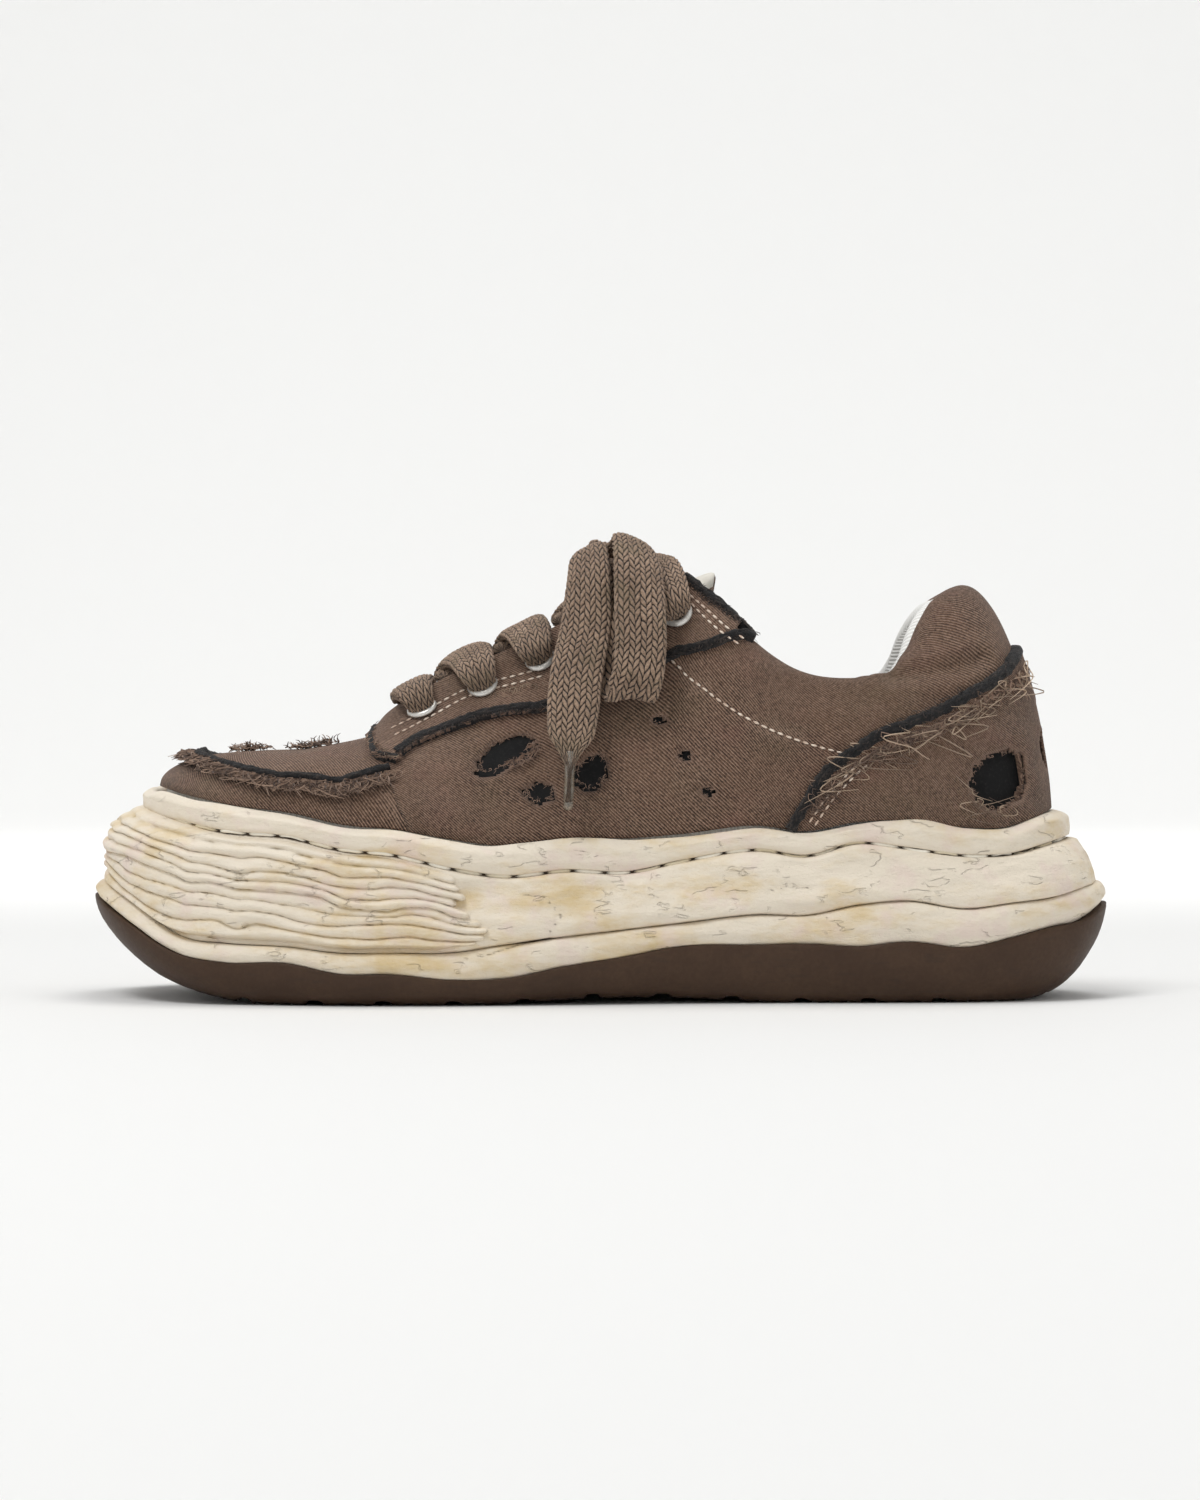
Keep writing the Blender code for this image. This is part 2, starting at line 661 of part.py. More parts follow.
def side_ring(t, ring):
    """A ring of the midsole's side, from its row in the table; the bumper is set into it."""
    offset = ring.fixed + ring.flare * LAST.flare(t) + ring.heel * heel_share(t)
    if ring.low == "strip_top" and ring.share < 1.0:
        offset = offset - bumper_zone(t) * (BUMPER_SET_IN_SIDE + BUMPER_SET_IN_TOE * toe_share(t))
    plan = LAST.ring(t, offset)
    seen = LAST.ring(t, outsole_reach(t)) if ring.low == "outsole_top" else plan
    low = LAST.lines[ring.low](seen[:, 0])
    high = LAST.lines[ring.high](seen[:, 0])
    return np.concatenate([plan, (low + (high - low) * ring.share)[:, None]], axis=1)


def midsole_rings(t):
    reach = outsole_reach(t)
    high = LAST.lines["outsole_top"](LAST.ring(t, reach)[:, 0]) + GAP
    ledge = LAST.ring(t, reach - 0.0006)
    rings = cup_rings(t, GAP) + [np.concatenate([ledge, high[:, None]], axis=1)]
    rings += [side_ring(t, ring) for ring in MIDSOLE_SIDE]
    top = LAST.lines["foxing_top"](LAST.ring(t, FOXING_THICKNESS * np.ones(len(t)))[:, 0])
    for offset, drop in ((0.0026, 0.0), (GAP, 0.0004)):
        plan = LAST.ring(t, offset * np.ones(len(t)))
        rings.append(np.concatenate([plan, (top - drop)[:, None]], axis=1))
    rings.append(level(t, GAP, LAST.bed))
    return rings


def add_outsole(parts, tools, finish):
    made = add_object("outsole", loft("outsole", outsole_rings(AROUND)), finish, parts)
    for i in range(TREAD_GROOVES):
        bpy.ops.mesh.primitive_cube_add(
            size=1.0, location=(TREAD_FIRST_X + i * TREAD_PITCH, 0.0, GROOVE_DEPTH / 2 - 0.002)
        )
        cutter = bpy.context.object
        cutter.name = f"tread_groove_{i + 1}"
        cutter.scale = (GROOVE_WIDTH, 0.16, GROOVE_DEPTH + 0.004)
        bpy.ops.object.transform_apply(location=False, rotation=False, scale=True)
        tidy_away(cutter, tools)
        cut_with(made, cutter)
    return made


def add_midsole(parts, finish):
    return add_object("midsole", loft("midsole", midsole_rings(AROUND)), finish, parts)


def add_insole(parts, finish):
    inset = -(WALL + GAP)
    lift = GAP
    rings = [
        level(AROUND, inset - 0.0008, lambda x: LAST.bed(x) + lift),
        level(AROUND, inset, lambda x: LAST.bed(x) + lift + 0.0008),
        level(AROUND, inset, lambda x: LAST.bed(x) + lift + INSOLE_THICKNESS - 0.0008),
        level(AROUND, inset - 0.0010, lambda x: LAST.bed(x) + lift + INSOLE_THICKNESS),
    ]
    return add_object("insole", loft("insole", rings), finish, parts)


def upper_points(t, inner):
    """Rows of points up the upper's wall at each place round it, from the bed to the top line."""
    rows = []
    drop = -WALL if inner else 0.0
    rows.append(level(t, drop, lambda x: LAST.bed(x) + GAP))
    for v in SECTION_ROWS:
        points = LAST.surface(t, np.full(len(t), v))
        if inner:
            depth = LAST.thickness(t, np.full(len(t), v))
            _, near = LAST.fold(t)
            opening = near < LAST.knots[THROAT_FRONT] + 1e-9
            closing = np.sqrt(np.clip(1 - np.clip((v - 0.80) / 0.20, 0, 1) ** 2, 0, 1))
            thin = np.clip((LAST.knots[THROAT_TOP] - near) / 0.035, 0, 1)
            closing = closing * thin + (1.0 if v < 1 else 0.30) * (1 - thin)
            depth = np.where(opening, depth * closing, depth)
            points = points - LAST.normal(t, np.full(len(t), v)) * depth[:, None]
        rows.append(points)
    return np.array(rows)


def add_upper(parts, finish):
    """One hollow shell, open at the collar and throat and underneath."""
    t = AROUND
    count = len(t)
    outer, inner = upper_points(t, False), upper_points(t, True)
    rows = len(outer)
    points = [tuple(p) for grid in (outer, inner) for p in grid.reshape(-1, 3)]
    ridge = [k for k in range(count) if LAST.fold(t[k])[1] > LAST.knots[THROAT_FRONT] - 1e-9]
    top = (rows - 1) * count
    weld = {}
    for k in ridge:
        twin = (count - k) % count
        if k > twin:
            weld[top + k] = top + twin
            weld[rows * count + top + k] = rows * count + top + twin
    rim = [k for k in range(count) if LAST.fold(t[k])[1] < LAST.knots[THROAT_FRONT] - 1e-9]
    for k in rim:
        if LAST.fold(t[k])[1] < LAST.knots[THROAT_TOP] - 0.035 - 1e-9:
            weld[rows * count + top + k] = top + k
    faces = []
    for base in (0, rows * count):
        for r in range(rows - 1):
            for k in range(count):
                a, b = base + r * count, base + (r + 1) * count
                n = (k + 1) % count
                faces.append((a + k, a + n, b + n, b + k))
    other = rows * count
    for k in range(count):
        n = (k + 1) % count
        faces.append((k, n, other + n, other + k))
        if k in rim or n in rim:
            faces.append((top + k, top + n, other + top + n, other + top + k))
    faces = [tuple(weld.get(i, i) for i in face) for face in faces]
    used = sorted({i for face in faces for i in face})
    number = {old: new for new, old in enumerate(used)}
    faces = [tuple(number[i] for i in face) for face in faces]
    faces = [f for f in faces if len(dict.fromkeys(f)) > 2]
    mesh = mesh_from("upper", [points[i] for i in used], faces)
    return add_object("upper", mesh, finish, parts)


def section_loft(name, sections):
    """A closed solid through sections of equal count, closed by its first and its last."""
    count = len(sections[0])
    points = [tuple(p) for section in sections for p in section]
    faces = [tuple(range(count))]
    for r in range(len(sections) - 1):
        a, b = r * count, (r + 1) * count
        faces += [(a + k, a + (k + 1) % count, b + (k + 1) % count, b + k) for k in range(count)]
    last = (len(sections) - 1) * count
    faces.append(tuple(last + k for k in range(count - 1, -1, -1)))
    return mesh_from(name, points, faces)


def add_toe_bumper(parts, finish):
    """The ribbed strip wrapped round the toe, between the lower strip and the stitched groove."""
    near = SIDE_COLUMNS[SIDE_COLUMNS >= bumper_end() - 1e-9]
    t = np.concatenate([near, -near[-2::-1]])
    levels = [side_ring(t, ring) for ring in MIDSOLE_SIDE[3:8]]
    shares = [0.0, *(ring.share for ring in MIDSOLE_SIDE[4:8])]
    outward = np.concatenate([LAST.outward(t), np.zeros((len(t), 1))], axis=1)
    toe = toe_share(t)[:, None]

    def backing(share):
        return np.array([
            [np.interp(share, shares, [lv[c][axis] for lv in levels]) for axis in range(3)]
            for c in range(len(t))
        ])

    first, last = 0.05, 0.94
    rows = []
    for step in range(2 * BUMPER_RIBS + 1):
        share = first + (last - first) * step / (2 * BUMPER_RIBS)
        depth = BUMPER_THICKNESS - (BUMPER_RIB_DEPTH if step % 2 == 0 else 0.0)
        swell = BUMPER_TOE_SWELL * toe * sin(pi * share**1.9)
        row = backing(share) + outward * (GAP + depth + swell)
        row[:, 2] += BUMPER_TOE_RISE * toe[:, 0] * share**5
        row[[0, -1]] += (row[[1, -2]] - row[[0, -1]]) * BUMPER_RAGGED * (1 + sin(2.1 * step))
        rows.append(row)
    for share in (last, 0.88, 0.58, 0.22, first):
        row = backing(share) + outward * GAP
        row[[0, -1]] += (row[[1, -2]] - row[[0, -1]]) * BUMPER_RAGGED
        rows.append(row)
    sections = [np.array([row[c] for row in rows]) for c in range(len(t))]
    return add_object("toe_bumper", section_loft("toe_bumper", sections), finish, parts)


def sheet_over(name, t, rows):
    """A layer over the upper's own facets, an overlay thick."""
    grids = []
    for height in (OVERLAY_GAP + OVERLAY, OVERLAY_GAP):
        grids.append(np.array([LAST.raised(t, np.full(len(t), v), np.full(len(t), height)) for v in rows]))
    return patch(name, *grids)


def prism(name, outline, from_y, to_y, tools):
    """A block whose outline is given by x and height as seen from the side."""
    sections = [np.array([(x, y, z) for x, z in outline]) for y in (from_y, to_y)]
    block = bpy.data.objects.new(name, section_loft(name, sections))
    tools.objects.link(block)
    tidy_away(block, tools)
    return block


def add_heel_counter(parts, tools, finish):
    near = SIDE_COLUMNS[SIDE_COLUMNS < LAST.knots[COUNTER_COLUMNS] + 1e-9]
    t = np.concatenate([-near[:0:-1], near])
    made = add_object("heel_counter", sheet_over("heel_counter", t, SECTION_ROWS[:8]), finish, parts)
    outline = (*COUNTER_EDGE, (0.16, 0.108), (0.16, 0.030), (COUNTER_EDGE[0][0], 0.030))
    cut_with(made, prism("counter_outline", outline, -0.07, 0.07, tools), "INTERSECT")
    return made


def add_eyestays(parts, tools, finish):
    inside = (SIDE_COLUMNS > LAST.knots[8] - 1e-9) & (SIDE_COLUMNS < LAST.knots[THROAT_FRONT] + 1e-9)
    near = SIDE_COLUMNS[inside]
    outline = (*EYESTAY_EDGE, (EYESTAY_EDGE[-1][0], 0.150), (EYESTAY_EDGE[0][0], 0.150))
    made = []
    for side, name in ((1, "eyestay_lateral"), (-1, "eyestay_medial")):
        sheet = sheet_over(name, side * near, (*SECTION_ROWS[3:9], 0.985))
        piece = add_object(name, sheet, finish, parts)
        ends = (-side * 0.00035, -side * 0.07)
        cut_with(piece, prism(f"{name}_outline", outline, *ends, tools), "INTERSECT")
        made.append(piece)
    return made


def located(places):
    """The (t, v) of places given by x and height on the lateral side, in order of t."""
    found = sorted(LAST.locate(1, x, z) for x, z in places)
    return np.array([f[0] for f in found]), np.array([f[1] for f in found])


def apron_line(t):
    """How far up the section the apron strip runs at places round the shoe."""
    ts, vs = located(APRON_PATH)
    return np.interp(np.abs(t), np.append(ts, LAST.toe), np.append(vs, APRON_TOE))


def add_apron_strip(parts, finish):
    ts, _ = located(APRON_PATH)
    near = np.concatenate([[ts[0]], SIDE_COLUMNS[SIDE_COLUMNS > ts[0] + 0.003]])
    t = np.concatenate([near, -near[-2::-1]])
    v = apron_line(t)
    sections = []
    for i in range(len(t)):
        here = LAST.surface(t[i], v[i])
        n = LAST.normal(t[i], v[i])
        back = LAST.surface(t[max(i - 1, 0)], v[max(i - 1, 0)])
        ahead = LAST.surface(t[min(i + 1, len(t) - 1)], v[min(i + 1, len(t) - 1)])
        across = np.cross(n, ahead - back)
        across = across / np.linalg.norm(across)
        low, high = OVERLAY_GAP, OVERLAY_GAP + APRON_HEIGHT
        half = APRON_WIDTH / 2
        sections.append(np.array([
            here - across * half + n * low,
            here + across * half + n * low,
            here + across * half * 0.6 + n * high,
            here - across * half * 0.6 + n * high,
        ]))
    return add_object("apron_strip", section_loft("apron_strip", sections), finish, parts)


def add_tongue(parts, finish):
    """A padded strip under the throat: it wraps below both eyestays and shows past the top of them."""
    first, last = LAST.knots[THROAT_TOP], LAST.knots[THROAT_FRONT] - 0.004
    near = SIDE_COLUMNS[(SIDE_COLUMNS >= first - 1e-9) & (SIDE_COLUMNS < last)]
    near = np.append(near, last)
    ups = (TONGUE_WRAP, 0.86, 0.97)
    outer, inner = [], []
    for t in near:
        below = [[], []]
        for k, depth in enumerate((WALL + TONGUE_GAP, WALL + TONGUE_GAP + TONGUE_THICKNESS)):
            sides = [
                [LAST.raised(side * t, v, -depth) for v in ups] for side in (1, -1)
            ]
            middle = (sides[0][-1] + sides[1][-1]) / 2
            middle = middle + np.array([0.0, 0.0, TONGUE_ARCH])
            quarter = [(sides[j][-1] * 0.45 + middle * 0.55) for j in (0, 1)]
            for q in quarter:
                q[2] += 0.0006
            below[k] = sides[0] + [quarter[0], middle, quarter[1]] + sides[1][::-1]
        outer.append(below[0])
        inner.append(below[1])
    outer, inner = np.array(outer), np.array(inner)
    slope = (LAST.rim(first) - LAST.rim(LAST.knots[THROAT_TOP + 1])) * np.array([1.0, 0.0, 1.0])
    slope = slope / np.linalg.norm(slope)
    free_end = []
    for share, narrow in TONGUE_FREE_END:
        for grid in (outer, inner):
            row = grid[0].copy()
            centre, crown = row[:, 1].mean(), row[:, 2].max()
            row[:, 1] = centre + (row[:, 1] - centre) * narrow
            row[:, 2] = crown + (row[:, 2] - crown) * narrow
            free_end.append(row + slope * TONGUE_BEYOND * share)
    outer = np.concatenate([free_end[-2::-2], outer])
    inner = np.concatenate([free_end[::-2], inner])
    return add_object("tongue", patch("tongue", outer, inner), finish, parts)


def frame_at(t, v, height):
    """A matrix whose origin is above a place of the upper, with +Z along the surface's normal."""
    here = LAST.raised(np.array(t), np.array(v), np.array(height))
    spread_t, spread_v = 0.0035, 0.05
    along = LAST.surface(t + spread_t, v) - LAST.surface(t - spread_t, v)
    upward = LAST.surface(t, v + spread_v) - LAST.surface(t, v - spread_v)
    n = Vector(np.cross(upward, along)).normalized()
    return Matrix.Translation(Vector(here)) @ n.to_track_quat("Z", "Y").to_matrix().to_4x4()


def add_eyelets(parts, tools, cut_pieces, finish):
    """Five rings on each side, each through a hole in its eyestay and in the upper."""
    segments = 8
    top = OVERLAY_GAP + OVERLAY
    profile = (
        (EYELET_BORE, -(WALL + OVERLAY)),
        (EYELET_BORE + EYELET_WALL, -(WALL + OVERLAY)),
        (EYELET_BORE + EYELET_WALL, EYELET_LIFT),
        (EYELET_FLANGE, EYELET_LIFT),
        (EYELET_FLANGE - 0.0012, EYELET_LIFT + EYELET_HEIGHT),
        (EYELET_BORE, EYELET_LIFT + EYELET_HEIGHT),
    )
    for side, word in ((1, "lateral"), (-1, "medial")):
        for number, (x, z) in enumerate(EYELETS, start=1):
            t, v = LAST.locate(1, x, z)
            frame = frame_at(side * t, v, top)
            bpy.ops.mesh.primitive_cylinder_add(vertices=segments, radius=EYELET_HOLE, depth=0.012)
            cutter = bpy.context.object
            cutter.name = f"eyelet_hole_{word}_{number}"
            cutter.matrix_world = frame
            tidy_away(cutter, tools)
            for piece in (cut_pieces["upper"], cut_pieces[word]):
                cut_with(piece, cutter)
            bm = bmesh.new()
            ring = [bm.verts.new((r, 0.0, h)) for r, h in profile]
            edges = [bm.edges.new((ring[i], ring[(i + 1) % len(ring)])) for i in range(len(ring))]
            bmesh.ops.spin(
                bm, geom=ring + edges, cent=(0, 0, 0), axis=(0, 0, 1), angle=2 * pi, steps=segments,
                use_merge=True,
            )
            bmesh.ops.recalc_face_normals(bm, faces=bm.faces)
            mesh = bpy.data.meshes.new(f"eyelet_{word}_{number}")
            bm.to_mesh(mesh)
            bm.free()
            made = add_object(f"eyelet_{word}_{number}", mesh, finish, parts)
            made.matrix_world = frame


def lace_piece(name, bends, thickness, across, count, finish, parts):
    """A flat lace through its bends; `across` is roughly the direction its width lies in."""
    places = np.array([bend[:3] for bend in bends])
    run = np.concatenate([[0.0], np.cumsum(np.linalg.norm(np.diff(places, axis=0), axis=1))])
    along = np.linspace(0, run[-1], count)
    centre = np.stack([through(run, places[:, k])(along) for k in range(3)], axis=1)
    width = through(run, [bend.width for bend in bends])(along)
    tangent = np.gradient(centre, axis=0)
    tangent /= np.linalg.norm(tangent, axis=1, keepdims=True)
    up = np.cross(tangent, np.asarray(across, float))
    up /= np.linalg.norm(up, axis=1, keepdims=True)
    wide = np.cross(up, tangent)
    outline = ((-0.5, 0.0), (-0.32, 0.5), (0.32, 0.5), (0.5, 0.0), (0.32, -0.5), (-0.32, -0.5))
    sections = [
        np.array([centre[i] + wide[i] * width[i] * a + up[i] * thickness * b for a, b in outline])
        for i in range(count)
    ]
    return add_object(name, section_loft(name, sections), finish, parts)


def rim_at(side, x):
    """The place on the throat's edge at this x."""
    ts = np.linspace(LAST.knots[THROAT_TOP], LAST.knots[THROAT_FRONT], 300)
    rim = LAST.rim(side * ts)
    return np.array([np.interp(-x, -rim[:, 0], rim[:, k]) for k in range(3)])


def over_eyelet(side, number, width):
    """The bend of a lace that lies on top of an eyelet."""
    t, v = LAST.locate(1, *EYELETS[number])
    height = OVERLAY_GAP + OVERLAY + EYELET_LIFT + EYELET_HEIGHT + LACE_CLEARANCE + LACE_THICKNESS / 2
    return Bend(*LAST.raised(np.array(side * t), np.array(v), np.array(height)), width)


def over_edge(side, x, width):
    """The bend of a lace that lies over the edge of an eyestay."""
    here = rim_at(side, x)
    return Bend(here[0], here[1], here[2] + OVERLAY_GAP + OVERLAY + 0.0010 + LACE_THICKNESS / 2, width)


def add_laces(parts, tools, finish):
    """The lacing: a bar on top of the front pair of eyelets, then crosses, each from under one edge."""
    along = THROAT_DIRECTION
    x = EYELETS[0][0]
    middle = rim_at(1, x - 0.005)
    ends = [[over_eyelet(side, 0, 0.0085), over_edge(side, x - 0.0045, 0.0120)] for side in (1, -1)]
    bar = [*ends[0], Bend(middle[0], 0.0, middle[2] + 0.0035, 0.0120), *ends[1][::-1]]
    lace_piece("lace_bar", bar, LACE_THICKNESS, along, 11, finish, parts)
    for number in range(1, 4):
        ring, before = EYELETS[number][0], EYELETS[number - 1][0]
        strands = []
        for side in (1, -1):
            start = rim_at(-side, before + 0.0055)
            middle = rim_at(side, (before + ring) / 2)
            bends = (
                Bend(start[0], start[1] * 0.45, start[2] + 0.0008, 0.0080),
                Bend(middle[0], 0.0, middle[2] + 0.0032 + side * 0.0004, 0.0100),
                over_edge(side, ring - 0.0050, 0.0115),
                over_eyelet(side, number, 0.0085),
            )
            name = f"lace_cross_{number}"
            strands.append(lace_piece(name, bends, LACE_THICKNESS, along, 9, finish, parts))
        joined = strands[0]
        parts.objects.unlink(strands[1])
        tools.objects.link(strands[1])
        tidy_away(strands[1], tools)
        cut_with(joined, strands[1], "UNION")
    ends = [[over_eyelet(side, 4, 0.0085), over_edge(side, 0.0175, 0.0105)] for side in (1, -1)]
    aside, centre = LACE_BEHIND_KNOT
    behind = [*ends[0], aside, centre, aside._replace(y=-aside.y), *ends[1][::-1]]
    lace_piece("lace_cross_top", behind, LACE_THICKNESS, along, 13, finish, parts)


def add_bow(parts, finish, clear):
    """The knot, and on each side a drooping loop and a hanging end with its aglet."""
    turns = np.arange(8) * pi / 4 + pi / 8
    sections = []
    for y, share in ((-1.0, 0.80), (-0.78, 1.0), (0.0, 1.08), (0.78, 1.0), (1.0, 0.80)):
        outline = np.stack([share * np.cos(turns), np.full(8, y), share * np.sin(turns)], axis=1)
        sections.append(np.array(KNOT_CENTRE) + np.array(KNOT_HALF) * outline)
    add_object("lace_knot", section_loft("lace_knot", sections), finish, parts)
    for side, word in ((1, "lateral"), (-1, "medial")):
        for name, bends, thickness, count, colour in (
            ("lace_loop", LACE_LOOP, LACE_THICKNESS + 0.0004, 20, finish),
            ("lace_end", LACE_END, LACE_THICKNESS + 0.0004, 12, finish),
            ("aglet", AGLET, 0.0034, 2, clear),
        ):
            turned = [bend._replace(y=side * bend.y) for bend in bends]
            lace_piece(f"{name}_{word}", turned, thickness, (1.0, 0.0, 0.0), count, colour, parts)


def centre_on_origin(parts, tools):
    """Moves everything so that the shoe, without its bow, is centred over the origin and stands on it."""
    bpy.context.view_layer.update()
    graph = bpy.context.evaluated_depsgraph_get()
    corners = []
    for piece in parts.objects:
        if piece.name.startswith(BOW_NAMES):
            continue
        solid = piece.evaluated_get(graph)
        corners += [solid.matrix_world @ Vector(corner) for corner in solid.bound_box]
    low = [min(corner[k] for corner in corners) for k in range(3)]
    high = [max(corner[k] for corner in corners) for k in range(3)]
    shift = Matrix.Translation((-(low[0] + high[0]) / 2, -(low[1] + high[1]) / 2, -low[2]))
    for piece in [*parts.objects, *tools.objects]:
        piece.matrix_world = shift @ piece.matrix_world


def main():
    for old in list(bpy.data.objects):
        bpy.data.objects.remove(old, do_unlink=True)
    parts = bpy.data.collections.new("worn_out_sneaker")
    tools = bpy.data.collections.new("cutters")
    for made in (parts, tools):
        bpy.context.scene.collection.children.link(made)
    canvas = material("brown_canvas", (0.19, 0.12, 0.09), 0.9)
    cream = material("cream_rubber", (0.82, 0.75, 0.58), 0.6)
    brown = material("brown_rubber", (0.07, 0.04, 0.03), 0.7)
    lining = material("white_lining", (0.85, 0.84, 0.80), 0.9)
    metal = material("off_white_metal", (0.78, 0.77, 0.73), 0.35, 0.6)
    add_outsole(parts, tools, brown)
    add_midsole(parts, cream)
    add_toe_bumper(parts, cream)
    add_insole(parts, lining)
    upper = add_upper(parts, canvas)
    add_tongue(parts, canvas)
    add_heel_counter(parts, tools, canvas)
    lateral, medial = add_eyestays(parts, tools, canvas)
    add_apron_strip(parts, canvas)
    add_eyelets(parts, tools, {"upper": upper, "lateral": lateral, "medial": medial}, metal)
    braid = material("brown_braid", (0.22, 0.17, 0.13), 0.95)
    clear = material("clear_tip", (0.80, 0.80, 0.78), 0.15)
    add_laces(parts, tools, braid)
    add_bow(parts, braid, clear)
    centre_on_origin(parts, tools)


main()
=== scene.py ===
"""The looks of the worn out sneaker: every visible piece, its finish, the stage, the light and the camera."""

from math import cos, pi, radians, sin
from typing import NamedTuple

import bmesh
import bpy
import numpy as np
from bpy.props import FloatProperty, FloatVectorProperty, IntProperty, PointerProperty
from mathutils import Matrix, Vector


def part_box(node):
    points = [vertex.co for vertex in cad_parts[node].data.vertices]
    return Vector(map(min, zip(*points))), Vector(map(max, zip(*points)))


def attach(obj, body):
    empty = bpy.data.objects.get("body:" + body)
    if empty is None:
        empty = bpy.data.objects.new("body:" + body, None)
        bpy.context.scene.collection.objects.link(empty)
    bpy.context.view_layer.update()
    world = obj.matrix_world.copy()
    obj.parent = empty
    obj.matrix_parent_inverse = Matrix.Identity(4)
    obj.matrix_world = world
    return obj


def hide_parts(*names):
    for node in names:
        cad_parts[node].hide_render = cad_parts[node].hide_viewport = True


bl_info = {
    "name": "Worn out sneaker",
    "version": (1, 0, 0),
    "blender": (4, 5, 0),
    "location": "View3D > Sidebar > Sneaker",
    "description": "Builds the finished pieces of a worn canvas sneaker round its packed model",
    "category": "Object",
}

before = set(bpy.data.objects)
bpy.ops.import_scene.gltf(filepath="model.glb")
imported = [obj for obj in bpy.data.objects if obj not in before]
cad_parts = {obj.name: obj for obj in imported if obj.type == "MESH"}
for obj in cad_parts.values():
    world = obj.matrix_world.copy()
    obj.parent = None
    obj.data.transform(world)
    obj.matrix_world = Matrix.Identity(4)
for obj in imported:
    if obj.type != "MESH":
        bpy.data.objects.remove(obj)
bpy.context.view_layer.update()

# The foot form's driving sizes, in metres.
UPPER_LENGTH = 0.2685
HEEL_BACK_X = 0.1345
BALL_WIDTH = 0.096
HEEL_HEIGHT = 0.1237
INSTEP_HEIGHT = 0.127
TOE_TIP_SIDE = 0.0055
HEEL_LEAN = 0.0024
WALL = 0.0024
GAP = 0.0003
COLLAR_PADDING = 0.007
OVERLAY = 0.0014
FLARE_SIDE = 0.01
FLARE_TOE = 0.0185
FLARE_HEEL = 0.0174
FOXING_THICKNESS = 0.0044
OUTSOLE_RIM = 0.003
EDGE_ROUND = 0.009
TOE_ROUND = 0.021
HEEL_ROUND = 0.015
TOE_LIFT_FROM = -0.094
TOE_LIFT_RATE = 4.9
HEEL_LIFT_FROM = 0.122
HEEL_LIFT_RATE = 13.0
ARCH_X = 0.01
ARCH_HALF_LENGTH = 0.048
ARCH_LIFT = 0.0018
OUTSOLE_REACH = 0.97
OUTSOLE_HEEL_BULGE = 0.0016
OUTSOLE_TOE_BULGE = 0.0014
TREAD_PITCH = 0.0204
TREAD_FIRST_X = -0.1042
TREAD_GROOVES = 11
GROOVE_WIDTH = 0.0036
GROOVE_DEPTH = 0.0018
BUMPER_TOE_SWELL = 0.0054
BUMPER_TOE_RISE = 0.005
OVERLAY_GAP = 0.0005
LAYER = OVERLAY_GAP + OVERLAY  # how high the face of a sewn-on layer lies
INSOLE_THICKNESS = 0.0042
TONGUE_THICKNESS = 0.0036
TONGUE_GAP = 0.0008
TONGUE_WRAP = 0.74
TONGUE_BEYOND = 0.0085
TONGUE_FREE_END = ((0.6, 0.86), (1.0, 0.6))  # shares of its reach and of its width
EYELET_BORE = 0.0026
EYELET_WALL = 0.0004
EYELET_RING = 0.0047  # reach of the ring that shows
EYELET_HEIGHT = 0.0011
EYELET_LIFT = 0.0008
LACE_THICKNESS = 0.0034
LACE_CLEARANCE = 0.0016


def rows_as(kind, *rows):
    """A table whose rows are all one kind of record."""
    return tuple(kind(*row) for row in rows)


class Station(NamedTuple):
    """One section of the upper: from the feather line, where it meets the sole, to its top line."""

    along: float  # from the heel, a share of the upper's length
    lateral: float  # half-breadths at the feather line, shares of the ball width
    medial: float
    rim_along: float  # the top line: share of length, share of ball width, height
    rim_side: float
    rim_up: float
    low_up: float  # the section's lower handle, a share of the heel height
    high_out: float  # its upper handle, shares of ball width and heel height
    high_up: float


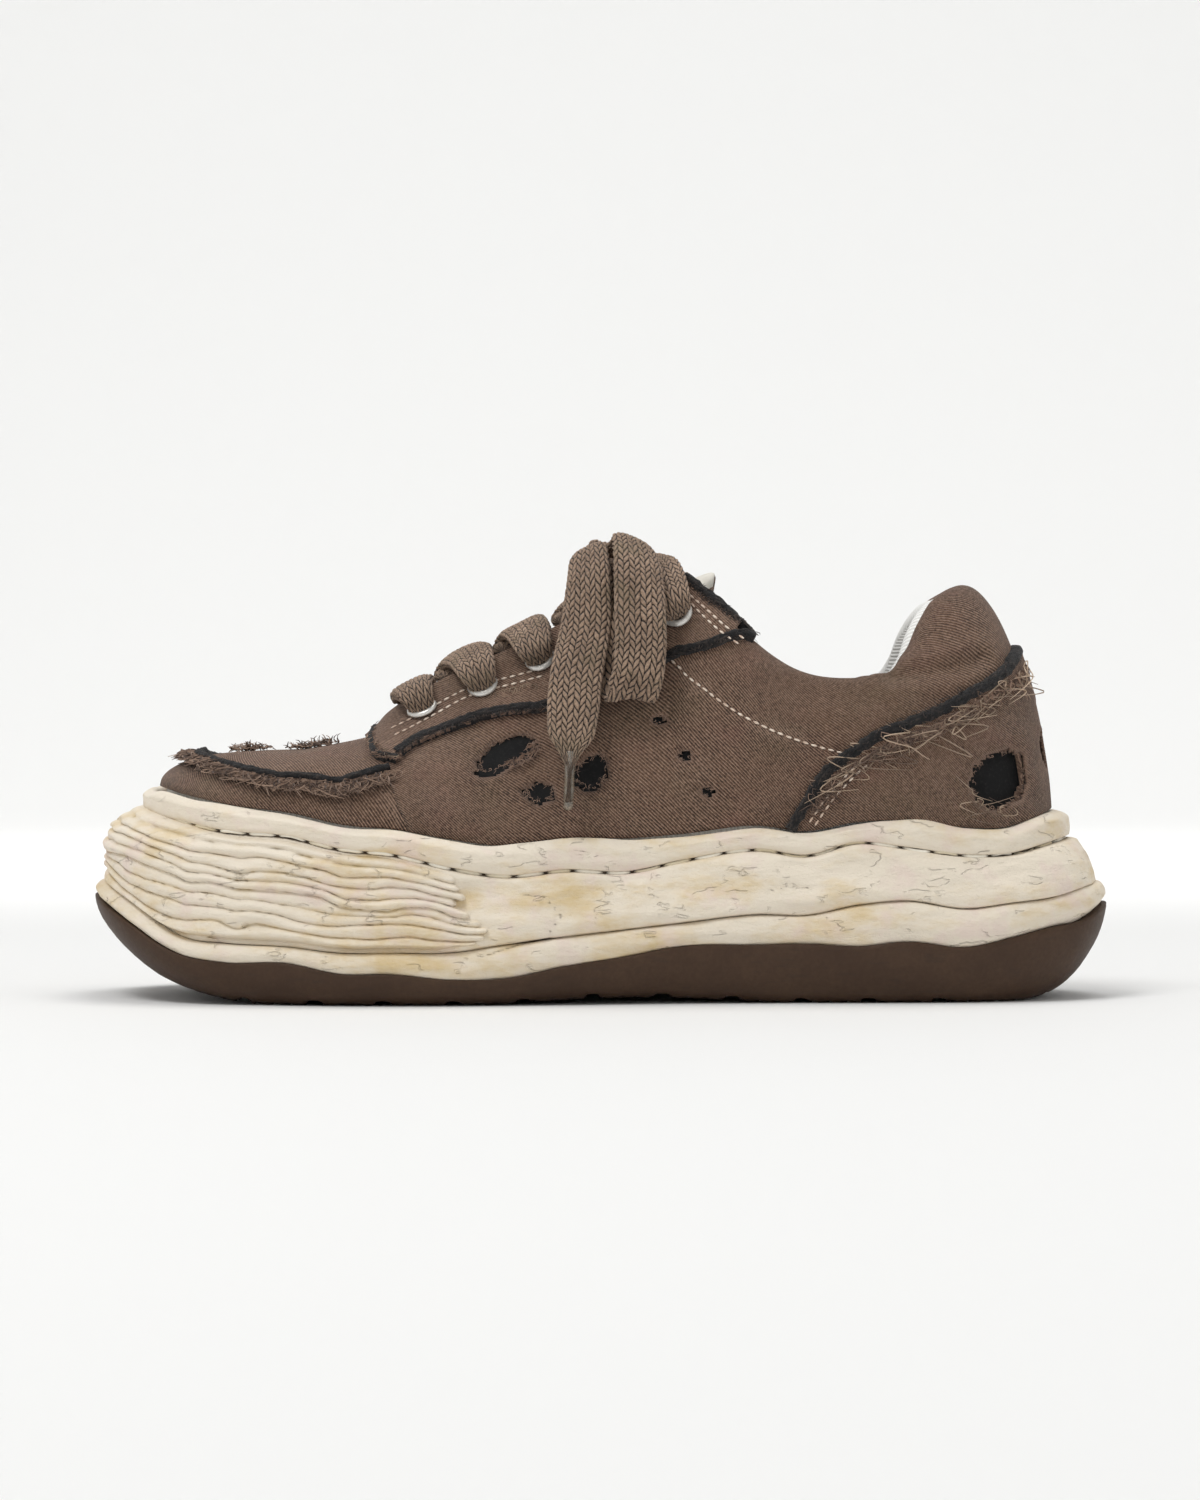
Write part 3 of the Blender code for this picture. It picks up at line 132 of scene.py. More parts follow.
STATIONS = rows_as(Station,
    (0.000, 0.000, 0.000, 0.1290, 0.000, 0.932 * HEEL_HEIGHT, 0.267, 0.162, 0.247),
    (0.020, 0.195, 0.195, 0.1350, 0.088, 0.928 * HEEL_HEIGHT, 0.262, 0.152, 0.240),
    (0.055, 0.290, 0.290, 0.1500, 0.151, 0.905 * HEEL_HEIGHT, 0.250, 0.126, 0.215),
    (0.095, 0.340, 0.335, 0.1640, 0.198, 0.857 * HEEL_HEIGHT, 0.235, 0.112, 0.180),
    (0.137, 0.361, 0.352, 0.1738, 0.231, 0.796 * HEEL_HEIGHT, 0.215, 0.112, 0.150),
    (0.182, 0.370, 0.353, 0.1890, 0.258, 0.752 * HEEL_HEIGHT, 0.200, 0.105, 0.130),
    (0.235, 0.371, 0.345, 0.2290, 0.268, 0.739 * HEEL_HEIGHT, 0.200, 0.100, 0.120),
    (0.298, 0.374, 0.338, 0.2900, 0.270, 0.780 * HEEL_HEIGHT, 0.200, 0.095, 0.100),
    (0.345, 0.381, 0.337, 0.3340, 0.262, 0.864 * HEEL_HEIGHT, 0.210, 0.090, 0.060),
    (0.385, 0.390, 0.338, 0.3700, 0.220, 0.927 * INSTEP_HEIGHT, 0.215, 0.095, -0.040),
    (0.425, 0.400, 0.342, 0.4040, 0.156, 1.000 * INSTEP_HEIGHT, 0.220, 0.110, -0.130),
    (0.500, 0.430, 0.358, 0.4898, 0.144, 0.931 * INSTEP_HEIGHT, 0.205, 0.120, -0.155),
    (0.600, 0.472, 0.400, 0.5896, 0.135, 0.830 * INSTEP_HEIGHT, 0.185, 0.140, -0.150),
    (0.700, 0.504, 0.450, 0.6895, 0.125, 0.727 * INSTEP_HEIGHT, 0.160, 0.170, -0.100),
    (0.750, 0.507, 0.470, 0.7338, 0.099, 0.665 * INSTEP_HEIGHT, 0.140, 0.210, -0.050),
    (0.790, 0.500, 0.485, 0.7523, 0.000, 0.620 * INSTEP_HEIGHT, 0.120, 0.240, -0.010),
    (0.850, 0.470, 0.485, 0.7890, 0.000, 0.603 * INSTEP_HEIGHT, 0.105, 0.240, 0.000),
    (0.905, 0.425, 0.465, 0.8300, 0.000, 0.588 * INSTEP_HEIGHT, 0.090, 0.220, 0.000),
    (0.965, 0.290, 0.360, 0.8780, 0.000, 0.583 * INSTEP_HEIGHT, 0.065, 0.170, 0.002),
    (1.000, 0.000, 0.000, 0.9110, 0.000, 0.579 * INSTEP_HEIGHT, 0.050, 0.115, 0.003),
)
THROAT_TOP = 10  # the row where the collar ends and the throat begins, a sharp turn
THROAT_FRONT = 15  # the row where both sides of the throat meet on the centre line


class SideLine(NamedTuple):
    """Heights of the sole's side lines at one place along the shoe."""

    x: float
    outsole_top: float
    strip_top: float
    groove: float
    foxing_top: float


SIDE_LINES = rows_as(SideLine,
    (-0.1536, 0.0308, 0.0358, 0.0567, 0.0636),
    (-0.140, 0.0232, 0.0285, 0.0562, 0.0632),
    (-0.126, 0.0153, 0.0200, 0.0536, 0.0605),
    (-0.110, 0.0125, 0.0180, 0.0506, 0.0577),
    (-0.092, 0.0126, 0.0172, 0.0493, 0.0556),
    (-0.076, 0.0095, 0.0155, 0.0456, 0.0522),
    (-0.060, 0.0093, 0.0155, 0.0439, 0.0508),
    (-0.044, 0.0078, 0.0155, 0.0400, 0.0480),
    (-0.028, 0.0080, 0.0177, 0.0376, 0.0460),
    (-0.010, 0.0115, 0.0200, 0.0392, 0.0481),
    (0.008, 0.0143, 0.0220, 0.0386, 0.0480),
    (0.024, 0.0171, 0.0238, 0.0419, 0.0492),
    (0.047, 0.0174, 0.0262, 0.0451, 0.0516),
    (0.060, 0.0176, 0.0259, 0.0433, 0.0501),
    (0.076, 0.0169, 0.0290, 0.0472, 0.0528),
    (0.090, 0.0182, 0.0302, 0.0456, 0.0533),
    (0.108, 0.0165, 0.0278, 0.0433, 0.0512),
    (0.122, 0.0193, 0.0293, 0.0437, 0.0512),
    (0.134, 0.0220, 0.0306, 0.0466, 0.0548),
    (0.144, 0.0236, 0.0330, 0.0486, 0.0580),
    (0.1536, 0.0286, 0.0350, 0.0486, 0.0580),
)


class BedPoint(NamedTuple):
    """Height of the bed under the insole at one place along the shoe."""

    x: float
    height: float


BED = rows_as(BedPoint,
    (-0.14, 0.0475), (-0.115, 0.0425), (-0.09, 0.037), (-0.06, 0.0325), (-0.02, 0.033),
    (0.03, 0.037), (0.08, 0.0395), (0.14, 0.04),
)


class Ring(NamedTuple):
    """One line round the midsole's side: height between two side lines, and its reach from the feather."""

    low: str
    high: str
    share: float
    fixed: float
    flare: float
    heel: float  # further reach at the back of the heel


SIDE_RINGS = {  # rows from below, as the last four values of a Ring
    ("outsole_top", "strip_top"): (
        (0.02, 0.0, 0.90, 0.0),
        (0.14, 0.0, 0.97, 0.0),
        (0.45, 0.0004, 1.00, 0.0004),
        (0.80, 0.0008, 0.90, 0.0010),
        (0.97, 0.0006, 0.80, 0.0016),
        (1.00, 0.0000, 0.73, 0.0014),
    ),
    ("strip_top", "groove"): (
        (0.04, 0.0008, 0.76, 0.0014),
        (0.22, 0.0018, 0.68, 0.0020),
        (0.58, 0.0027, 0.42, 0.0028),
        (0.84, 0.0037, 0.17, 0.0030),
        (0.965, 0.0040, 0.04, 0.0026),
        (1.00, 0.0022, 0.00, 0.0022),
    ),
    ("groove", "foxing_top"): (
        (0.07, 0.0041, 0.00, 0.0030),
        (0.30, FOXING_THICKNESS + 0.0004, 0.00, 0.0026),
        (0.70, FOXING_THICKNESS + 0.0003, 0.00, 0.0020),
        (0.94, FOXING_THICKNESS - 0.0012, 0.00, 0.0012),
        (1.05, 0.0020, 0.00, 0.0004),
        (1.02, 0.0006, 0.00, 0.0),
        (0.80, -0.0004, 0.00, 0.0),
    ),
}


MIDSOLE_SIDE = tuple(Ring(*lines, *row) for lines, rows in SIDE_RINGS.items() for row in rows)
GROOVE_RING = 11  # the row of the stitched groove
STRIP_RING = 5  # the row of the crack between the lower strip and the body

# Places on the lateral side as seen from that side: x, and height.
COUNTER_EDGE = (
    (0.056, 0.05), (0.0618, 0.0605), (0.0677, 0.0688), (0.0735, 0.073), (0.0825, 0.0787),
    (0.0955, 0.0838), (0.108, 0.09), (0.12, 0.0975), (0.127, 0.1038),
)
EYESTAY_EDGE = (
    (0.047, 0.1095), (0.0357, 0.1077), (0.0246, 0.1045), (0.019, 0.1021), (-0.0173, 0.0856),
    (-0.0257, 0.0851), (-0.0336, 0.0837), (-0.0443, 0.0801), (-0.0547, 0.0757), (-0.0606, 0.0713),
    (-0.066, 0.0735), (-0.07, 0.079),
)
APRON_PATH = (
    (-0.062, 0.069), (-0.076, 0.065), (-0.095, 0.066), (-0.107, 0.0683), (-0.118, 0.071),
)
APRON_TOE = 0.7  # how far up the section the apron strip crosses the toe
EYELETS = (
    (-0.0524, 0.0846), (-0.0346, 0.0918), (-0.0174, 0.1), (0.0028, 0.1068), (0.0233, 0.1139),
)
COLLAR_SEAM = (
    (0.014, 0.108), (0.0191, 0.1027), (0.0244, 0.0976), (0.0303, 0.0928), (0.0361, 0.0884),
    (0.042, 0.0846), (0.0479, 0.0816), (0.0538, 0.079), (0.0597, 0.0769), (0.0656, 0.0751),
    (0.073, 0.0731),
)
VAMP_SEAM = ((-0.0635, 0.07), (-0.0624, 0.0664), (-0.0596, 0.0589), (-0.056, 0.049))


class Hole(NamedTuple):
    """A hole worn through the cloth: its outline as seen from its side, x and height."""

    side: int  # 1 lateral, -1 medial
    outline: tuple


LEAF_HOLE = Hole(1, (
    (-0.0362, 0.0684), (-0.035, 0.0723), (-0.0315, 0.076), (-0.0259, 0.0782), (-0.0212, 0.0787),
    (-0.0196, 0.077), (-0.0199, 0.0743), (-0.0235, 0.0723), (-0.027, 0.0707), (-0.0305, 0.0684),
    (-0.0344, 0.0674),
))
ROUND_HOLE = Hole(1, (
    (-0.0069, 0.0652), (-0.0069, 0.0692), (-0.0037, 0.0723), (0.0002, 0.0727), (0.0016, 0.0707),
    (0.0014, 0.0668), (-0.0014, 0.0637), (-0.0045, 0.063),
))
SMALL_HOLE = Hole(1, (
    (-0.0226, 0.0622), (-0.0184, 0.0646), (-0.0139, 0.0636), (-0.0143, 0.0602), (-0.019, 0.0594),
))
HEEL_HOLE = Hole(1, (
    (0.1092, 0.0636), (0.1104, 0.069), (0.1142, 0.0722), (0.1202, 0.0742), (0.124, 0.0726),
    (0.1247, 0.064), (0.1234, 0.0598), (0.1204, 0.0592), (0.117, 0.0564), (0.112, 0.0582),
))
MEDIAL_HOLE = Hole(-1, (
    (-0.01, 0.064), (-0.0085, 0.069), (-0.003, 0.0712), (0.001, 0.0685), (-0.002, 0.064),
))
BUMPER_ENDS = (-0.035, -0.0329, -0.032, -0.034, -0.0372, -0.0413, -0.0387, -0.0403, -0.041)  # from below
SIDES = ((1, "lateral"), (-1, "medial"))
PANEL_ROWS = 92
PADDING_FROM = 0.78  # how far up the section the collar's padding starts
APRON_THREADS = 3800
TURNED_ROWS = (0.997, 0.99, 0.982)  # where the cloth's turned edge lies on the lining
SEAM_DEPTH = 0.00045
RIB_PITCH = 0.0051  # of the fine ribs in the tread
EDGE_TURNS = (90, 82, 74, 66, 58, 50, 42, 34, 26, 18, 10, 4, 0)  # degrees round the outsole's lower edge
WELD = 1e-6  # points closer than this are one
BRAID_COLUMNS = 20  # all the way round a lace
BRAID_PITCH = 0.0025
BRAID_DEPTH = 0.00105
BRAID_LEAN = 0.85
LACE_AROUND = 76
LACE_GIRTH = 0.036
HOLE_GROWTH = 0.0012
LABEL_ROWS = 11  # rows of the tongue's end that the bare label covers
COLLAR_TURN = 0.012  # how far short of the top line the collar's cloth ends
COLLAR_ROLL = (0.0905, 0.0085, 0.12)  # where the white lining rolls further out: x, half length, how far
EYESTAY_BAND = (
    (-0.0602, 0.0728), (-0.0547, 0.0766), (-0.0443, 0.081), (-0.0336, 0.0846), (-0.0257, 0.086),
    (-0.0173, 0.0868), (-0.006, 0.0912),
)
TAB_EDGE = (
    (0.0448, 0.1088), (0.0357, 0.1069), (0.0246, 0.1038), (0.019, 0.1014), (0.01, 0.0985),
)
TAB_TOP = ((0.027, 0.1236), (0.034, 0.1172), (0.04, 0.1116), (0.044, 0.1088))
LADDER = ((-0.0333, 0.0886), (-0.0246, 0.0911), (-0.0166, 0.0926))
EYESTAY_FRONT = ((-0.0597, 0.0712), (-0.0654, 0.0725), (-0.0673, 0.0759), (-0.0668, 0.0806))
EYESTAY_STITCH = (
    (-0.0609, 0.077), (-0.0507, 0.0825), (-0.0389, 0.0889), (-0.0245, 0.0929), (-0.0166, 0.0952),
)
COUNTER_STITCH = ((0.0641, 0.052), (0.0688, 0.0588), (0.0742, 0.065), (0.0796, 0.07))
SOLE_CREASES = (
    (((-0.0235, 0.0325), (-0.0165, 0.0318), (-0.0115, 0.0262), (-0.015, 0.0215)), 0.0006, 0.0006),
    (((-0.033, 0.015), (-0.024, 0.0178), (-0.014, 0.02)), 0.0006, 0.0007),
    (((0.048, 0.033), (0.056, 0.0345), (0.062, 0.034)), 0.0005, 0.0005),
)
HOLES = (LEAF_HOLE, ROUND_HOLE, SMALL_HOLE, HEEL_HOLE, MEDIAL_HOLE)
TEARS = (
    (0.0175, 0.0834, 1), (0.0247, 0.0727, 1), (0.0314, 0.062, 1), (0.02, 0.07, -1),
    (0.038, 0.064, -1),
)
VAMP_TUFTS = (  # place along the shoe, spread, threads, their length
    (-0.106, 0.003, 150, 0.0024),
    (-0.09, 0.0022, 110, 0.0022),
    (-0.085, 0.0022, 110, 0.0028),
)
BACK_HOLE = (0.008, 0.0745, 0.0062, 0.0066)  # at the heel's back: place round it, height, half sizes


class Crease(NamedTuple):
    """A soft trough in the cloth, as seen from its side."""

    side: int  # 1 lateral, -1 medial
    path: tuple
    depth: float
    width: float


CREASES = rows_as(Crease,
    (1, ((0.086, 0.0962), (0.0946, 0.0975), (0.1041, 0.0987), (0.1131, 0.1016)), 0.0012, 0.0022),
    (-1, ((0.086, 0.0965), (0.096, 0.0972), (0.106, 0.0995)), 0.001, 0.0024),
    (1, ((-0.048, 0.064), (-0.038, 0.061), (-0.026, 0.056)), 0.0006, 0.004),
    (1, ((0.03, 0.056), (0.042, 0.06), (0.052, 0.068)), 0.0005, 0.0036),
    (1, ((-0.002, 0.062), (0.006, 0.056), (0.015, 0.053)), 0.0005, 0.0034),
    (1, ((-0.078, 0.063), (-0.072, 0.059), (-0.068, 0.054)), 0.0006, 0.003),
    (-1, ((-0.052, 0.068), (-0.04, 0.062), (-0.028, 0.058)), 0.0008, 0.0036),
    (-1, ((-0.005, 0.06), (0.01, 0.064), (0.024, 0.06)), 0.0006, 0.0036),
    (1, ((0.056, 0.093), (0.068, 0.09), (0.08, 0.09)), 0.0004, 0.0032),
)


class Bend(NamedTuple):
    """One place along a lace: its centre, and how wide the lace lies there."""

    x: float
    y: float
    z: float
    width: float


LACE_BEHIND_KNOT = (Bend(0.016, -0.0075, 0.1302, 0.009), Bend(0.0126, 0.0, 0.1308, 0.009))
LACE_END = rows_as(Bend,
    (-0.0032, -0.0087, 0.1318, 0.0065), (-0.0034, -0.012, 0.133, 0.0085),
    (-0.0036, -0.0175, 0.1332, 0.0115), (-0.0036, -0.024, 0.128, 0.0138),
    (-0.0044, -0.031, 0.111, 0.0152), (-0.0072, -0.0385, 0.096, 0.0154),
    (-0.0083, -0.043, 0.084, 0.0148), (-0.0087, -0.0452, 0.0782, 0.0126),
    (-0.0089, -0.0465, 0.0735, 0.0055),
)
AGLET = (Bend(-0.0089, -0.0468, 0.0726, 0.0036), Bend(-0.0095, -0.048, 0.057, 0.0034))
LACE_LOOP = rows_as(Bend,
    (0.006, -0.0087, 0.135, 0.008), (0.0078, -0.012, 0.1358, 0.01),
    (0.0094, -0.019, 0.1358, 0.0128), (0.0108, -0.0275, 0.1305, 0.0146),
    (0.0116, -0.0355, 0.117, 0.015), (0.0118, -0.039, 0.105, 0.015),
    (0.0108, -0.0402, 0.096, 0.015), (0.0088, -0.0378, 0.0912, 0.0156),
    (0.0066, -0.0342, 0.096, 0.0154), (0.0068, -0.0322, 0.1045, 0.0146),
    (0.0078, -0.0303, 0.1125, 0.0135), (0.0084, -0.0262, 0.1205, 0.013),
    (0.0068, -0.018, 0.1282, 0.0115), (0.0048, -0.012, 0.1296, 0.008),
    (0.0045, -0.0087, 0.1298, 0.007),
)
END_TILT = (0.1, 0.48, 0.5, 0.2, 0.05, -0.12, -0.05, 0.0)
LOOP_TILT = (-0.1, -0.42, -0.38, -0.16, 0.0, 0.0, 0.0, 0.0, 0.0, 0.0, 0.0)  # evenly along the loop
THROAT_DIRECTION = (0.894, 0.0, 0.447)
KNOT_CENTRE = (0.0007, 0.0, 0.1315)
KNOT_HALF = (0.0066, 0.0082, 0.0066)


def clamp(value):
    """Values kept from 0 to 1."""
    return np.clip(value, 0, 1)


def smoothstep(low, high, value):
    share = clamp((value - low) / (high - low))
    return share * share * (3 - 2 * share)


def hump(distance, width):
    return np.exp(-((distance / width) ** 2))


def with_height(plan, height):
    """Places of a plan, each at its height."""
    return np.concatenate([plan, np.asarray(height)[..., None]], axis=-1)


def run_across(points):
    """How far along its own row each point of a grid lies."""
    steps = np.linalg.norm(np.diff(points, axis=1), axis=2)
    return np.concatenate([np.zeros((len(points), 1)), np.cumsum(steps, axis=1)], axis=1)


def run_along(points):
    """How far along a path each point lies; for a grid, how far each row does on average."""
    steps = np.linalg.norm(np.diff(points, axis=0), axis=-1)
    if steps.ndim > 1:
        steps = steps.mean(axis=1)
    return np.concatenate([[0.0], np.cumsum(steps)])


def pair(first, second):
    """A map in metres from two coordinates of the same grid."""
    return np.stack(np.broadcast_arrays(first, second), axis=-1)


def spread(*values):
    """Values as arrays of one common shape."""
    return np.broadcast_arrays(*(np.asarray(value, float) for value in values))


def unit(vectors):
    """The same directions, each of length 1."""
    return vectors / np.linalg.norm(vectors, axis=-1, keepdims=True)


def lattice(cells, seed):
    """A fixed number from 0 to 1 for each cell."""
    n = np.sin(cells @ np.array([127.1, 311.7, 74.7]) + seed * 53.3) * 43758.5453
    return n - np.floor(n)


def rough(points, size, seed=0):
    """Smooth noise from -1 to 1, in lumps of about this size; the size may differ along each axis."""
    p = np.asarray(points, float) / np.asarray(size, float)
    base = np.floor(p)
    f = p - base
    f = f * f * (3 - 2 * f)
    total = 0.0
    for corner in np.ndindex(2, 2, 2):
        c = np.array(corner)
        total = total + np.prod(np.where(c, f, 1 - f), axis=-1) * lattice(base + c, seed)
    return 2 * total - 1


def away(x, z, path):
    """Distance of places from a line."""
    path = np.asarray(path, float)
    nearest = np.full(np.shape(x), 1e9)
    for start, d in zip(path, np.diff(path, axis=0)):
        share = clamp(((x - start[0]) * d[0] + (z - start[1]) * d[1]) / (d @ d))
        nearest = np.minimum(nearest, np.hypot(x - start[0] - share * d[0], z - start[1] - share * d[1]))
    return nearest


def outside_of(x, z, outline):
    """Signed distance from a closed outline: negative inside it."""
    outline = np.asarray(outline, float)
    distance = away(x, z, np.concatenate([outline, outline[:1]]))
    within = np.zeros(np.shape(x), bool)
    for (ax, az), (bx, bz) in zip(outline, np.roll(outline, -1, axis=0)):
        crosses = (az > z) != (bz > z)
        rise = bz - az if bz != az else 1e-12
        within ^= crosses & (x < (bx - ax) * (z - az) / rise + ax)
    return np.where(within, -distance, distance)


def hermite(u, first, leaving, second, arriving):
    """A smooth step from one value to the next, with its slopes at both ends; u runs from 0 to 1."""
    return (
        (2 * u**3 - 3 * u**2 + 1) * first
        + (u**3 - 2 * u**2 + u) * leaving
        + (3 * u**2 - 2 * u**3) * second
        + (u**3 - u**2) * arriving
    )


def through(knots, values, corners=()):
    """A smooth curve through the values; at a corner's row it turns sharply."""
    knots = np.asarray(knots, float)
    values = np.asarray(values, float)
    step = np.diff(knots)
    slope = np.diff(values) / step
    before, after = np.append(slope[:1], slope), np.append(slope, slope[-1:])
    left, right = np.append(step[:1], step), np.append(step, step[-1:])
    start = (before * right + after * left) / (left + right)
    end = start.copy()
    for row in corners:
        start[row] = after[row]
        end[row] = before[row]

    def at(t):
        t = np.asarray(t, float)
        i = np.clip(np.searchsorted(knots, t, side="right") - 1, 0, len(step) - 1)
        h = step[i]
        return hermite((t - knots[i]) / h, values[i], h * start[i], values[i + 1], h * end[i + 1])

    return at


class Last:
    """The shape of the foot form: the upper's outer surface and the sole's outline follow it.

    A place round the shoe is t: 0 at the heel, `toe` at the toe, positive on the lateral side and
    negative on the medial side. A place up the section is v: 0 at the feather line, 1 at the top line.
    """

    def __init__(self):
        along = np.array([s.along for s in STATIONS])
        lateral = np.array([s.lateral for s in STATIONS])
        medial = np.array([s.medial for s in STATIONS])
        x = HEEL_BACK_X - UPPER_LENGTH * along
        bend = TOE_TIP_SIDE * clamp((along - 0.6) / 0.4) ** 2
        tip = len(STATIONS) - 1
        tip_side = bend * (along == 1.0)
        sides = {1: tip_side - BALL_WIDTH * lateral, -1: tip_side + BALL_WIDTH * medial}
        steps = sum(np.hypot(np.diff(x), np.diff(sides[k])) for k in (1, -1)) / 2
        self.knots = np.concatenate([[0.0], np.cumsum(steps)])
        self.toe = self.knots[tip]
        t = self.knots
        wide = np.concatenate([[-t[1]], t, [2 * t[tip] - t[tip - 1]]])
        self.plan_x = through(wide, np.concatenate([x[1:2], x, x[tip - 1 : tip]]))
        self.plan_y = {
            k: through(wide, np.concatenate([sides[-k][1:2], sides[k], sides[-k][tip - 1 : tip]]))
            for k in (1, -1)
        }
        corners = (THROAT_TOP + 1, THROAT_FRONT + 1)

        def column(values, mirrored=1.0):
            values = np.asarray(values, float)
            whole = np.concatenate([mirrored * values[1:2], values, mirrored * values[tip - 1 : tip]])
            return through(wide, whole, corners)

        self.rim_x = column([HEEL_BACK_X - UPPER_LENGTH * s.rim_along for s in STATIONS])
        self.rim_side = column([BALL_WIDTH * s.rim_side for s in STATIONS], -1.0)
        self.rim_up = column([s.rim_up for s in STATIONS])
        self.low_up = column([HEEL_HEIGHT * s.low_up for s in STATIONS])
        self.high_out = column([BALL_WIDTH * s.high_out for s in STATIONS])
        self.high_up = column([HEEL_HEIGHT * s.high_up for s in STATIONS])
        self.bend = column(bend)
        rows = {name: [getattr(line, name) for line in SIDE_LINES] for name in SideLine._fields}
        self.lines = {name: through(rows["x"], rows[name]) for name in SideLine._fields if name != "x"}
        self.bed = through([b.x for b in BED], [b.height for b in BED])

    def fold(self, t):
        """Side (1 lateral, -1 medial) and distance from the heel for any t, also past the toe."""
        t = np.asarray(t, float)
        t = np.where(t > self.toe, t - 2 * self.toe, np.where(t < -self.toe, t + 2 * self.toe, t))
        return np.where(t < 0, -1, 1), np.abs(t)

    def plan(self, t):
        side, near = self.fold(t)
        y = np.where(side > 0, self.plan_y[1](near), self.plan_y[-1](near))
        return np.stack([self.plan_x(near), y], axis=-1)

    def outward(self, t):
        """The plan outline's outward direction."""
        e = 1e-5
        d = unit(self.plan(np.asarray(t) + e) - self.plan(np.asarray(t) - e))
        return np.stack([-d[..., 1], d[..., 0]], axis=-1)

    def flare(self, t):
        n = self.outward(t)
        toe = clamp(-n[..., 0]) ** 2
        heel = clamp(n[..., 0]) ** 2
        return FLARE_SIDE + (FLARE_TOE - FLARE_SIDE) * toe + (FLARE_HEEL - FLARE_SIDE) * heel

    def ring(self, t, offset):
        """The plan outline moved outwards."""
        return self.plan(t) + self.outward(t) * np.asarray(offset)[..., None]

    def feather(self, t):
        """Where the upper comes out of the sole, just above the foxing."""
        p = self.plan(t)
        rise = self.lines["foxing_top"](self.ring(t, np.full(np.shape(t), FOXING_THICKNESS))[..., 0])
        return np.concatenate([p, (rise + 0.0005)[..., None]], axis=-1)

    def rim(self, t):
        side, near = self.fold(t)
        y = -side * self.rim_side(near) + self.bend(near)
        return np.stack([self.rim_x(near), y, self.rim_up(near)], axis=-1)

    def surface(self, t, v):
        """A point of the upper's outer surface."""
        t, v = spread(t, v)
        _, near = self.fold(t)
        foot = self.feather(t)
        top = self.rim(t)
        out = unit(foot[..., :2] - top[..., :2])
        up = np.array([0.0, 0.0, 1.0])
        n = self.outward(t)
        low = foot + up * self.low_up(near)[..., None]
        low[..., :2] += n * (0.0006 - HEEL_LEAN * clamp(n[..., :1]) ** 2)
        high = top + up * self.high_up(near)[..., None]
        high[..., :2] += out * self.high_out(near)[..., None]
        w = v[..., None]
        return (
            foot * (1 - w) ** 3 + 3 * low * w * (1 - w) ** 2 + 3 * high * w**2 * (1 - w) + top * w**3
        )

    def normal(self, t, v):
        e, f = 2e-4, 2e-3
        t, v = spread(t, v)
        low, high = clamp(v - f), clamp(v + f)
        wide = np.clip(v, 0, 0.98)  # the ridge itself has no width at the toe
        across = self.surface(t + e, wide) - self.surface(t - e, wide)
        up = self.surface(t, high) - self.surface(t, low)
        return unit(np.cross(up, across))

    def raised(self, t, v, height):
        return self.surface(t, v) + self.normal(t, v) * np.asarray(height)[..., None]

    def thickness(self, t, v):
        """The wall: canvas and lining, padded at the collar and closing to a thin edge at the opening."""
        _, near = self.fold(t)
        front = self.knots[THROAT_TOP]
        pad = clamp((front - near) / 0.035) * clamp((v - 0.5) / 0.28)
        return WALL + COLLAR_PADDING * pad * pad * (3 - 2 * pad)

    def locate(self, side, x, z):
        """(t, v) of the place that is seen at x and height z from the side."""
        ts, vs = np.meshgrid(np.linspace(0.0, self.toe, 160), np.linspace(0, 1, 50), indexing="ij")
        p = self.surface(side * ts, vs)
        k = np.argmin((p[..., 0] - x) ** 2 + (p[..., 2] - z) ** 2)
        t, v = side * ts.flat[k], vs.flat[k]
        for _ in range(8):
            p = self.surface(t, v)[[0, 2]]
            dt = (self.surface(t + 1e-5, v)[[0, 2]] - p) / 1e-5
            dv = (self.surface(t, v + 1e-4)[[0, 2]] - p) / 1e-4
            try:
                move = np.linalg.solve(np.stack([dt, dv], axis=1), np.array([x, z]) - p)
            except np.linalg.LinAlgError:
                break
            t += float(np.clip(move[0], -0.004, 0.004))
            v = float(clamp(v + move[1]))
        return t, v


LAST = Last()
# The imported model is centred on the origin; its knot tells how far that moved it.
KNOT_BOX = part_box("lace_knot")
SHIFT = np.array((KNOT_BOX[0] + KNOT_BOX[1]) / 2) - np.array(KNOT_CENTRE)
SHIFT[2] = 0.0


def on_side(side, path):
    """The (t, v) of each place of a line that is given by x and height as seen from its side."""
    return [LAST.locate(side, x, z) for x, z in path]


def located(places):
    """The (t, v) of places given by x and height on the lateral side, in order of t."""
    found = np.array(sorted(LAST.locate(1, x, z) for x, z in places))
    return found[:, 0], found[:, 1]


def apron_line(t):
    """How far up the section the apron strip runs at places round the shoe."""
    ts, vs = located(APRON_PATH)
    return np.interp(np.abs(t), np.append(ts, LAST.toe), np.append(vs, APRON_TOE))


def bottom_height(x):
    """The tread surface: flat under ball and heel, lifted at the arch, the toe and the heel's back."""
    toe = np.clip(TOE_LIFT_FROM - x, 0, None)
    heel = np.clip(x - HEEL_LIFT_FROM, 0, None)
    arch = np.clip(1 - ((x - ARCH_X) / ARCH_HALF_LENGTH) ** 2, 0, None)
    return TOE_LIFT_RATE * toe**2 + HEEL_LIFT_RATE * heel**2 + ARCH_LIFT * arch**2


def toe_share(t):
    """1 where the outline faces the front, falling to 0 where it faces a side."""
    return clamp(-LAST.outward(t)[..., 0]) ** 2


def heel_share(t):
    """1 where the outline faces the back, falling to 0 where it faces a side."""
    return clamp(LAST.outward(t)[..., 0]) ** 2


